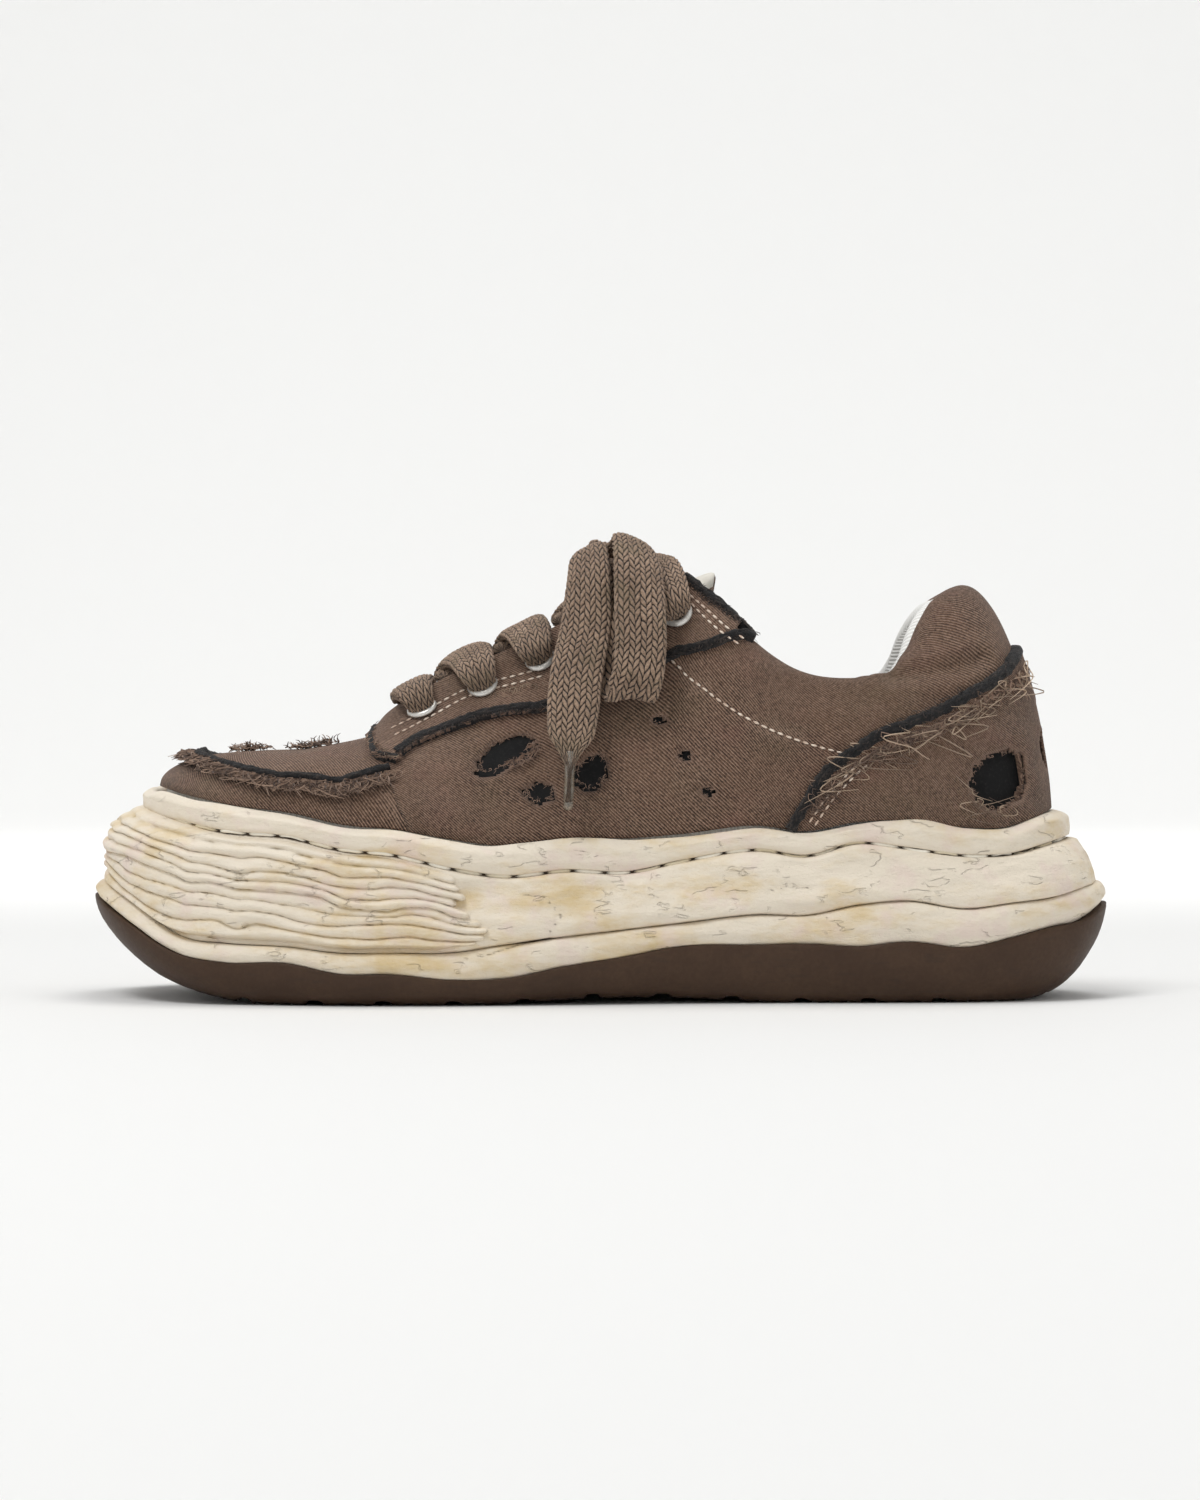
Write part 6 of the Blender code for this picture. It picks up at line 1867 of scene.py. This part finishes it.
class SNEAKER_OT_bow(bpy.types.Operator):
    """Tie the knot with its two loops and two hanging ends"""

    bl_idname = "sneaker.bow"
    bl_label = "Bow"

    def execute(self, context):
        x, _, z = KNOT_CENTRE
        knot = finish_piece("knot", knot_mesh(), "braid", "lace_knot")
        for side, word in SIDES:
            *flip, last = [bend._replace(y=side * bend.y) for bend in LACE_END]
            tip_x, tip_y, tip_z, _ = AGLET[1]
            end = [
                Bend(x, -side * 0.004, z, 0.006),
                *flip,
                last._replace(width=0.0062),
                Bend(-0.009, side * -0.047, 0.07, 0.0028),
                Bend(tip_x, side * tip_y, tip_z + 0.0012, 0.0022),
            ]
            tip = finish_piece(f"bow_tip_{word}", aglet_mesh(side), "tip", f"aglet_{word}")
            tilt = [side * turn for turn in END_TILT]
            hang(f"bow_end_{word}", f"lace_end_{word}", end, 11 + side, tilt)
            core = Bend(x + 0.001, -side * 0.0035, z + 0.001, 0.007)
            loop = [core, *(bend._replace(y=side * bend.y) for bend in LACE_LOOP), core._replace(z=z - 0.002)]
            tilt = [side * turn for turn in LOOP_TILT]
            hang(f"bow_loop_{word}", f"lace_loop_{word}", loop, 21 + side, tilt)
        return {"FINISHED"}


def aglet_mesh(side):
    """A clear tube shrunk over the lace's end, pinched at its mouth."""
    top, low = [np.array((bend.x, side * bend.y, bend.z)) for bend in AGLET]
    top = top + (top - low) * 0.1
    along = np.linspace(0, 1, 26)
    width = 0.00185 * (1 - 0.1 * along + 0.16 * np.exp(-along / 0.05) - 0.5 * smoothstep(0.955, 1.0, along))
    axis = unit(low - top)
    wide = unit(np.cross(axis, (1.0, 0.0, 0.0)))
    turns = np.linspace(0, 2 * pi, 20, endpoint=False)[None, :, None]
    dents = 1 + 0.05 * rough(np.stack([along, along, along], axis=1), 0.22, 91)
    section = np.cos(turns) * wide + 0.86 * np.sin(turns) * np.cross(axis, wide)
    return tube("aglet", top + (low - top) * along[:, None, None] + (width * dents)[:, None, None] * section)


class SNEAKER_OT_laces(bpy.types.Operator):
    """Lace the eyelets: the front bar, the three crosses and the top one behind the knot"""

    bl_idname = "sneaker.laces"
    bl_label = "Laces"

    def execute(self, context):
        fat = LACE_THICKNESS + 0.001
        x = EYELETS[0][0]
        middle = rim_at(1, x - 0.005)
        ends = [
            [lace_into_hole(side, 0), over_eyelet(side, 0, 0.0096), over_edge(side, x - 0.0045, 0.013)]
            for side, _ in SIDES
        ]
        bar = [*ends[0], Bend(middle[0], 0.0, middle[2] + 0.0035, 0.0128), *ends[1][::-1]]
        finish_piece("front_bar", lace_mesh(bar, fat, THROAT_DIRECTION, 0.25, 41)[0], "braid", "lace_bar")
        for number in range(1, 4):
            ring, before = EYELETS[number][0], EYELETS[number - 1][0]
            strands = []
            for side, _ in SIDES:
                start = rim_at(-side, before + 0.0055)
                middle = rim_at(side, (before + ring) / 2)
                bends = (
                    Bend(start[0], start[1] * 0.45, start[2] + 0.0008, 0.009),
                    Bend(middle[0], 0.0, middle[2] + 0.0036 + side * 0.0008, 0.0115),
                    over_edge(side, ring - 0.005, 0.0135),
                    over_eyelet(side, number, 0.0104),
                    lace_into_hole(side, number),
                )
                seed = 42 + 7 * number + side
                strands.append(lace_mesh(bends, fat, THROAT_DIRECTION, 0.28, seed)[0])
            finish_piece(f"cross_{number}", joined("cross", strands), "braid", f"lace_cross_{number}")
        ends = [
            [lace_into_hole(side, 4), over_eyelet(side, 4, 0.01), over_edge(side, 0.0175, 0.012)]
            for side, _ in SIDES
        ]
        aside, centre = LACE_BEHIND_KNOT
        behind = [*ends[0], aside, centre, aside._replace(y=-aside.y), *ends[1][::-1]]
        mesh, _ = lace_mesh(behind, LACE_THICKNESS, THROAT_DIRECTION, 0.2, 77)
        finish_piece("top_cross", mesh, "braid", "lace_cross_top")
        return {"FINISHED"}


def patch(first, last, low, high):
    """A near-black sheet of painted shadow between the canvas and the lining, from place to place round and
    up the section.
    """
    t, v = np.meshgrid(np.linspace(first, last, 16), np.linspace(max(low, 0.0), high, 16), indexing="ij")
    return sheet("patch", LAST.raised(t, v, -0.0017 + 0 * t), np.stack([t, v * 0.06], axis=-1))


class SNEAKER_OT_upper(bpy.types.Operator):
    """Sew the upper: the vamp, both quarters, and the near-black sheets of painted shadow seen through the
    holes
    """

    bl_idname = "sneaker.upper"
    bl_label = "Upper"

    def execute(self, context):
        spacing = context.scene.sneaker_sizes.panel_spacing

        def back(v):
            return 0 * v

        def vamp_start(v):
            return seam_place(v) - 0.003

        def vamp_end(v):
            return 2 * LAST.toe - seam_place(v) + 0.003

        def medial_seam(v):
            return -seam_place(v)

        finish_piece("vamp", panel("vamp", vamp_start, vamp_end, spacing, -0.0003), "canvas", "upper")
        finish_piece("quarter_lateral", panel("quarter", back, seam_place, spacing), "canvas")
        finish_piece("quarter_medial", panel("quarter", medial_seam, back, spacing), "canvas")
        # Near-black sheets behind every hole and tear and the hole at the heel's back: painted shadow inside
        # the holes.
        shadow_sheets = []
        for hole in HOLES:
            places = on_side(hole.side, hole.outline)
            low, high = np.min(places, axis=0), np.max(places, axis=0)
            shadow_sheets.append(patch(low[0] - 0.005, high[0] + 0.005, low[1] - 0.07, high[1] + 0.07))
        for x, z, side in TEARS:
            t, v = LAST.locate(side, x, z)
            shadow_sheets.append(patch(t - 0.0035, t + 0.0035, v - 0.05, v + 0.05))
        shadow_sheets.append(patch(-0.004, 0.021, 0.04, 0.34))
        finish_piece("interlining", joined("interlining", shadow_sheets), "dark_cloth")
        return {"FINISHED"}


class SNEAKER_OT_lining(bpy.types.Operator):
    """Line the upper and pad the insole and the tongue"""

    bl_idname = "sneaker.lining"
    bl_label = "Lining, insole and tongue"

    def execute(self, context):
        finish_piece("lining", lining_mesh(), "lining")
        finish_piece("insole_pad", insole_mesh(), "lining", "insole")
        tongue, label = tongue_mesh()
        finish_piece("tongue_pad", tongue, "tongue", "tongue")
        finish_piece("tongue_label", label, "label")
        return {"FINISHED"}


def lining_mesh():
    """The lining from the bed up to the top line, where it rolls outwards over the cloth's edge."""
    t = around(0.003)
    tt, vv = np.meshgrid(t, np.linspace(0.02, 0.992, 48), indexing="ij")
    near = LAST.fold(tt)[1]
    # Over the collar's padding it runs straight up to the top line.
    share = clamp((vv - PADDING_FROM) / 0.212)[..., None]
    straight = inner(tt, PADDING_FROM + 0 * vv) * (1 - share) + LAST.rim(tt) * share
    straight = straight - outward3(t)[:, None] * 0.0012 * np.sin(pi * share)
    padded = smoothstep(LAST.knots[THROAT_TOP] - 0.002, LAST.knots[THROAT_TOP] - 0.02, near)
    points = inner(tt, vv)
    points = points + (straight - points) * (padded * (vv > PADDING_FROM))[..., None]
    over = np.array([0.02, 0.25, 0.5, 0.75, 1.0, 1.1])[None, :]
    tt, near = tt[:, : over.shape[1]], near[:, : over.shape[1]]
    roll = 0.0002 + 0.0007 * np.sin(pi * clamp(over)) * clamp(collar_turn(near) / 0.05)
    roll = np.where(over > 1, -0.0004, roll)
    rolled = LAST.raised(tt, 1 - over * collar_turn(near), roll)
    collar = near < LAST.knots[THROAT_TOP] - 0.001
    rolled = np.where(collar[..., None], rolled, points[:, -1:])
    foot = LAST.ring(t, -WALL * np.ones(len(t)))
    low = with_height(foot, LAST.bed(foot[:, 0]) + 0.0012)[:, None]
    points = np.concatenate([low, points, rolled], axis=1)
    uv = pair(t[:, None], run_across(points))
    return sheet("lining", points[::-1], uv[::-1])


def insole_mesh():
    """A thin crowned pad with a pressed heel, its edge rounded."""
    t = around(0.0036)
    plan = span(LAST.ring(t, np.full(len(t), -(WALL + GAP) - 0.0006)), 15)
    x, share = plan[..., 0], np.linspace(0, 1, 15)[None, :]
    low = LAST.bed(x) + GAP
    crown = np.sin(pi * share) ** 0.5
    press = 0.0009 * hump(x - 0.085, 0.028) * crown + 0.0006 * hump(x + 0.06, 0.03) * crown
    top = low + INSOLE_THICKNESS * (0.45 + 0.55 * crown) - press
    edge = (share == 0) | (share == 1)
    skins = []
    for height, order in ((top, 1), (low, -1)):
        grid = with_height(plan, np.where(edge, low + INSOLE_THICKNESS * 0.22, height))[:, ::order]
        skins.append(sheet("insole", grid, grid[..., :2]))
    return joined("insole", skins, weld=True, outwards=True)


def tongue_mesh():
    """A soft strip that lies under the throat and swells past its top, and the bare label on its end."""
    first, last = LAST.knots[THROAT_TOP], LAST.knots[THROAT_FRONT] - 0.004
    near = np.linspace(first, last, 60)
    ups = np.array([TONGUE_WRAP, 0.8, 0.86, 0.92, 0.97])
    slope = unit((LAST.rim(first) - LAST.rim(LAST.knots[THROAT_TOP + 1])) * np.array([1.0, 0.0, 1.0]))
    shares = np.linspace(1.0, 0.08, 12)
    reach, narrowed = zip((0.0, 1.0), *TONGUE_FREE_END)
    faces = []
    for depth in (WALL + TONGUE_GAP, WALL + TONGUE_GAP + TONGUE_THICKNESS):
        edges = [
            LAST.raised(*spread(side * near[:, None], ups[None, :]), np.full((60, 5), -depth))
            for side, _ in SIDES
        ]
        share = np.linspace(0, 1, 9)[None, 1:-1, None]
        middle = edges[0][:, -1:] * (1 - share) + edges[1][:, -1:] * share
        middle[..., 2] += 0.0009 * np.sin(pi * share[..., 0])
        grid = np.concatenate([edges[0], middle, edges[1][:, ::-1]], axis=1)
        free = []
        for share, narrow in zip(shares, np.interp(shares, reach, narrowed)):
            row = grid[0].copy()
            centre, crown = row[:, 1].mean(), row[:, 2].max()
            row[:, 1] = centre + (row[:, 1] - centre) * narrow
            row[:, 2] = crown + (row[:, 2] - crown) * narrow
            free.append(row + slope * TONGUE_BEYOND * share)
        faces.append(np.concatenate([np.array(free), grid]))
    outer, under = faces
    middle = (outer + under) / 2
    count = outer.shape[1]
    across = np.linspace(-1, 1, count)[None, :]
    along = np.linspace(0, 1, len(outer))[:, None]
    full = clamp(1 - across**8) * clamp(1 - (1 - clamp(along / 0.06)) ** 2) ** 0.5
    full = (0.25 + 0.75 * full * clamp((1 - along) / 0.05) ** 0.5)[..., None]
    puff = 0.0004 * rough(outer, 0.011, 95)[..., None] * full
    up = unit(outer - under)
    top = middle + (outer - middle) * full + up * puff
    low = middle + (under - middle) * full
    label = (top + up * 0.0006)[:LABEL_ROWS, 2 : count - 2]
    label = sheet("label", label, label[..., :2], {"worn": 0.5}, thick=0.0005)
    rings = np.concatenate([top, low[:, ::-1]], axis=1)
    closed = np.concatenate([rings, rings[:, :1]], axis=1)
    uv = pair(run_along(middle[:, count // 2])[:, None], run_across(closed))
    plain = np.zeros(closed.shape[:2])
    marks = {"edge": plain, "dirt": plain + 0.25, "worn": 0.5 + 0.4 * rough(closed, 0.012, 96)}
    return tube("tongue", rings, uv, marks), label


class SNEAKER_OT_counter(bpy.types.Operator):
    """Sew on the heel counter with its frayed black edge"""

    bl_idname = "sneaker.counter"
    bl_label = "Heel counter"

    def execute(self, context):
        finish_piece("counter", counter_mesh(), "overlay", "heel_counter")
        bands = []
        for side, _ in SIDES:
            path = on_side(side, COUNTER_EDGE[:-1])
            reach, top = path[-1]
            path += [(reach * 0.55, top + 0.024), (0.0, top + 0.032)]
            bands.append(tape(path, 0.0037, LAYER - 0.0006, 0.0014, 101 + side))
        finish_piece("counter_binding", joined("binding", bands), "fray")
        return {"FINISHED"}


class SNEAKER_OT_eyestays(bpy.types.Operator):
    """Sew on both eyestays with their black lower edge"""

    bl_idname = "sneaker.eyestays"
    bl_label = "Eyestays"

    def execute(self, context):
        edges = ((EYESTAY_BAND, 0.0034, 111), (TAB_EDGE, 0.0028, 113), (EYESTAY_FRONT, 0.0022, 115))
        top = LAST.locate(1, *TAB_EDGE[0])[0] + 0.0022
        top = np.linspace(LAST.knots[THROAT_TOP] + 0.001, top, 12)
        for side, word in SIDES:
            finish_piece(f"stay_{word}", eyestay_mesh(side), "overlay", f"eyestay_{word}")
            bands = [
                tape(on_side(side, path), width, LAYER - 0.0005, 0.001, seed + side)
                for path, width, seed in edges
            ]
            bands.append(tape([(side * t, 0.97) for t in top], 0.003, LAYER - 0.0005, 0.0011, 117 + side))
            finish_piece(f"stay_binding_{word}", joined("binding", bands), "fray")
        return {"FINISHED"}


class SNEAKER_OT_apron(bpy.types.Operator):
    """Sew the apron strip round the toe, with its thick brown fringe"""

    bl_idname = "sneaker.apron"
    bl_label = "Apron strip"

    def execute(self, context):
        start = located(APRON_PATH)[0][0]
        end = 2 * LAST.toe - start
        t = np.linspace(start, end, 500)
        path = list(zip(t, apron_line(LAST.fold(t)[1])))
        strip = tape(path, 0.0028, OVERLAY_GAP + 0.0005, 0.0013, 121)
        finish_piece("apron_piping", strip, "fray", "apron_strip")
        rng = np.random.default_rng(5)
        count = APRON_THREADS
        t = rng.uniform(start, end, count)
        v = apron_line(LAST.fold(t)[1])
        n = LAST.normal(t, v)
        down = unit(LAST.surface(t, v - 0.04) - LAST.surface(t, v))
        way = unit(down + np.cross(n, down) * rng.normal(0.0, 0.45, count)[:, None])
        roots = cloth(t, v, 0.0008) + down * rng.uniform(0.001, 0.0036, count)[:, None]
        lengths = context.scene.sneaker_sizes.fringe * rng.uniform(0.3, 1.0, count)
        fringe = hair(roots, way, n, lengths, 6, 0.00026, 0.9)
        finish_piece("apron_fringe", joined("fringe", [fringe, *tufts(rng)]), "fringe")
        return {"FINISHED"}


def tufts(rng):
    """Clumps of pulled threads on top of the vamp."""
    made = []
    ts = np.linspace(LAST.knots[THROAT_FRONT], LAST.toe, 400)
    along = LAST.surface(ts, 0 * ts + 0.97)[:, 0]
    for x, apart, count, reach in VAMP_TUFTS:
        t = np.interp(-(x + rng.normal(0.0, apart, count)), -along, ts)
        v = np.clip(0.97 - np.abs(rng.normal(0.0, 0.02, count)), 0.8, 0.99)
        n = LAST.normal(t, v)
        way = unit(n * rng.uniform(0.0, 0.45, count)[:, None] + rng.normal(0.0, 0.6, (count, 3)))
        lengths = reach * rng.uniform(0.3, 1.0, count)
        made.append(hair(cloth(t, v, 0.0002), way, n, lengths, 61, 0.00022, 1.1))
    return made


class SNEAKER_OT_sole(bpy.types.Operator):
    """Mould the sole: outsole, midsole, toe bumper and the thread in its groove"""

    bl_idname = "sneaker.sole"
    bl_label = "Sole"

    def execute(self, context):
        finish_piece("outsole_rubber", outsole_mesh(), "brown", "outsole")
        finish_piece("midsole_rubber", midsole_mesh(), "rubber", "midsole")
        finish_piece("bumper_rubber", bumper_mesh(), "rubber", "toe_bumper")
        t = around(0.0008)
        line = rows_of(t, MIDSOLE_SIDE[GROOVE_RING : GROOVE_RING + 1])[0] + outward3(t) * 0.0004
        run = run_along(line)
        length = context.scene.sneaker_sizes.groove_stitch
        rng = np.random.default_rng(9)
        share = np.linspace(-1, 1, 12)
        turns = np.linspace(0, 2 * pi, 7, endpoint=False)[None, :, None]
        radius = 0.00046 * (1 - share**6)[:, None, None] + 0.00008
        meshes = []
        at = 0.0
        while at + length < run[-1]:
            long = length * rng.uniform(0.86, 1.08)
            along = np.linspace(at, at + long, len(share))
            out = outward3(np.interp(along, run, t))
            centre = places_at(along, run, line) + out * (0.0009 * (1 - share**4))[:, None]
            centre[:, 2] += 0.0003 * rng.normal() * (1 - share**2)
            section = out[:, None] * np.cos(turns) + np.array([0, 0, 1.15]) * np.sin(turns)
            mesh = tube("stitch", centre[:, None] + radius * section)
            set_mark(mesh, "worn", np.full(len(mesh.vertices), rng.random()))
            meshes.append(mesh)
            at += long + 0.0009
        finish_piece("groove_thread", joined("thread", meshes), "white_thread")
        return {"FINISHED"}


class SNEAKER_OT_eyelets(bpy.types.Operator):
    """Set five rings on each side"""

    bl_idname = "sneaker.eyelets"
    bl_label = "Eyelets"

    def execute(self, context):
        high = EYELET_LIFT + EYELET_HEIGHT
        profile = (
            (EYELET_BORE, -(WALL + OVERLAY)),
            (EYELET_BORE + EYELET_WALL, -(WALL + OVERLAY)),
            (EYELET_BORE + EYELET_WALL, EYELET_LIFT),
            (EYELET_RING - 0.0003, EYELET_LIFT - 0.0002),
            (EYELET_RING, EYELET_LIFT + 0.00015),
            (EYELET_RING - 0.0002, EYELET_LIFT + 0.0006),
            (EYELET_RING - 0.0007, high - 0.0001),
            (EYELET_RING - 0.0011, high),
            (EYELET_BORE + 0.0005, high - 0.0001),
            (EYELET_BORE, high - 0.0006),
        )
        for side, word in SIDES:
            for number in range(len(EYELETS)):
                t, v = eyelet_place(number)
                bm = bmesh.new()
                ring = [bm.verts.new((r, 0.0, h)) for r, h in profile]
                edges = [bm.edges.new(ends) for ends in zip(ring, ring[1:] + ring[:1])]
                spun(bm, ring + edges, 32)
                bmesh.ops.recalc_face_normals(bm, faces=bm.faces[:])
                bmesh.ops.transform(bm, matrix=frame_at(side * t, v, LAYER), verts=bm.verts[:])
                name = f"{word}_{number + 1}"
                finish_piece(f"ring_{name}", from_bmesh("ring", bm), "metal", f"eyelet_{name}")
        return {"FINISHED"}


BLACK_FRINGES = (  # line, threads, their length, how far below the line they start, how much they spread
    (COUNTER_EDGE, 720, 0.0024, -0.001, 2.0),
    (EYESTAY_BAND, 420, 0.0022, 0.0008, 1.6),
    (TAB_EDGE, 200, 0.002, 0.0, 1.8),
    (TAB_TOP, 240, 0.0026, 0.0, 3.0),
)


def stitch_lines(side, length):
    """The seam on the collar, and double rows on the counter, the eyestay and its tab."""
    meshes = [stitches(COLLAR_SEAM, length, length * 1.25, 0.0003, 0.00038, side)]
    for off in (0.0, 0.0027):
        for line, pitch in (
            ([(x - 0.0012 - off * 0.6, z + off * 0.35) for x, z in COUNTER_STITCH], 1.3),
            ([(x - off * 0.35, z + off * 0.75) for x, z in EYESTAY_STITCH], 1.25),
            ([(x - 0.002 - off * 0.5, z - 0.0022 - off * 0.5) for x, z in TAB_TOP], 1.25),
        ):
            meshes.append(stitches(line, length, length * pitch, LAYER + 0.0002, 0.00036, side))
    for mesh in meshes:
        set_mark(mesh, "worn", lattice(np.arange(len(mesh.vertices))[:, None] // 20 * np.ones(3), 8))
    return meshes


class SNEAKER_OT_threads(bpy.types.Operator):
    """Sew the stitch lines and let the worn edges fray"""

    bl_idname = "sneaker.threads"
    bl_label = "Stitches and threads"

    def execute(self, context):
        sizes = context.scene.sneaker_sizes
        seams = [mesh for side, _ in SIDES for mesh in stitch_lines(side, sizes.stitch_length)]
        finish_piece("seam_stitches", joined("stitches", seams), "stitch")
        rng = np.random.default_rng(12)
        loose, dark, black = [], [], []
        for side, _ in SIDES:
            count = sizes.hairs if side > 0 else sizes.hairs // 2
            below = [(x + 0.0008, z - 0.0028) for x, z in COUNTER_EDGE[1:]]
            loose.append(fringe_along(side, below[1:], count // 3, 0.0054, rng, 0.0002, 0.8, 0.00024, 2.0, 9))
            dark.append(fringe_along(side, below, 2 * count, 0.0042, rng, 0.0, 0.8, 0.00018, 1.1))
            many = 1.0 if side > 0 else 0.6
            for path, count, reach, drop, apart in BLACK_FRINGES:
                black.append(fringe_along(side, path, int(count * many), reach, rng, drop, apart, 0.00015))
            dark.append(fringe_along(side, EYESTAY_FRONT, 200, 0.0022, rng, 0.0, 1.6))
            loose.append(fringe_along(side, LADDER, 22, 0.0034, rng, -0.0012, 0.35))
        for hole in HOLES:
            ring = [*hole.outline, hole.outline[0]]
            count = int(run_along(ring)[-1] / 0.00045)
            dark.append(fringe_along(hole.side, ring, count, 0.0014, rng, 0.0, 3.0))
        for x, z, side in TEARS:
            ring = [(x + 0.0017 * cos(a), z + 0.0013 * sin(a)) for a in np.linspace(0, 2 * pi, 9)]
            dark.append(fringe_along(side, ring, 8, 0.0012, rng, 0.0, 3.0))
        ring = [*HEEL_HOLE.outline[6:], HEEL_HOLE.outline[0]]
        loose.append(fringe_along(1, ring, 26, 0.0052, rng, 0.0004, 0.9, 0.00015, 1.6, 9))
        loose.append(fringe_along(1, EYESTAY_FRONT, 26, 0.003, rng, -0.001, 2.0))
        dark.append(fringe_along(1, LEAF_HOLE.outline[5:9], 60, 0.0034, rng, 0.0004, 0.8, 0.0002))
        finish_piece("loose_threads", joined("loose", loose), "pale_thread")
        finish_piece("frayed_fibres", joined("fibres", dark), "dark_thread")
        finish_piece("black_fibres", joined("black", black), "black_thread")
        return {"FINISHED"}


def fringe_along(side, path, count, reach, rng, drop, apart, thick=0.00013, curl=0.8, steps=4):
    """Short threads that leave a line on the upper, mostly downwards."""
    places = even(path, 0.0015)
    pick = rng.integers(0, len(places) - 1, count)
    share = rng.random(count)[:, None]
    here = places[pick] * (1 - share) + places[pick + 1] * share
    anchors = places[:: max(1, len(places) // 24)]
    near = np.argmin(((here[:, None] - anchors[None]) ** 2).sum(axis=2), axis=1)
    t, v = np.array(on_side(side, anchors))[near].T
    for _ in range(4):
        p = LAST.surface(t, v)
        dt = (LAST.surface(t + 1e-5, v) - p)[:, [0, 2]] / 1e-5
        dv = (LAST.surface(t, v + 1e-4) - p)[:, [0, 2]] / 1e-4
        miss = here - p[:, [0, 2]]
        det = dt[:, 0] * dv[:, 1] - dt[:, 1] * dv[:, 0]
        det = np.where(np.abs(det) < 1e-6, 1e-6, det)
        move_t = (miss[:, 0] * dv[:, 1] - miss[:, 1] * dv[:, 0]) / det
        move_v = (dt[:, 0] * miss[:, 1] - dt[:, 1] * miss[:, 0]) / det
        t = t + np.clip(move_t, -0.002, 0.002)
        v = np.clip(v + np.clip(move_v, -0.03, 0.03), 0.01, 0.99)
    n = LAST.normal(t, v)
    down = unit(LAST.surface(t, v - 0.02) - LAST.surface(t, v))
    turn = rng.normal(0.0, 0.55 * apart, count)[:, None]
    way = down * np.cos(turn) + np.cross(n, down) * np.sin(turn)
    roots = cloth(t, v, OVERLAY_GAP + OVERLAY * 0.8) + down * drop
    lengths = reach * rng.uniform(0.3, 1.0, count)
    return hair(roots, way, n, lengths, int(rng.integers(1, 9999)), thick, curl, steps)


class SNEAKER_PT_panel(bpy.types.Panel):
    """Sizes, colours and one button for each group of pieces"""

    bl_idname = "SNEAKER_PT_panel"
    bl_label = "Sneaker"
    bl_space_type = "VIEW_3D"
    bl_region_type = "UI"
    bl_category = "Sneaker"

    def draw(self, context):
        for group in (context.scene.sneaker_colours, context.scene.sneaker_sizes):
            for name in group.__annotations__:
                self.layout.prop(group, name)
        for operator in OPERATORS:
            self.layout.operator(operator.bl_idname)


OPERATORS = (
    SNEAKER_OT_stage,
    SNEAKER_OT_bow,
    SNEAKER_OT_laces,
    SNEAKER_OT_upper,
    SNEAKER_OT_lining,
    SNEAKER_OT_counter,
    SNEAKER_OT_eyestays,
    SNEAKER_OT_apron,
    SNEAKER_OT_sole,
    SNEAKER_OT_eyelets,
    SNEAKER_OT_threads,
)
CLASSES = (SneakerColours, SneakerSizes, *OPERATORS, SNEAKER_PT_panel)


def register():
    for made in CLASSES:
        bpy.utils.register_class(made)
    bpy.types.Scene.sneaker_colours = PointerProperty(type=SneakerColours)
    bpy.types.Scene.sneaker_sizes = PointerProperty(type=SneakerSizes)


def unregister():
    del bpy.types.Scene.sneaker_sizes
    del bpy.types.Scene.sneaker_colours
    for made in reversed(CLASSES):
        bpy.utils.unregister_class(made)


def corners(box):
    return [[float(c) for c in corner] for corner in box]


def main():
    register()
    for operator in OPERATORS:
        group, name = operator.bl_idname.split(".")
        getattr(getattr(bpy.ops, group), name)()


if __name__ == "__main__":
    main()
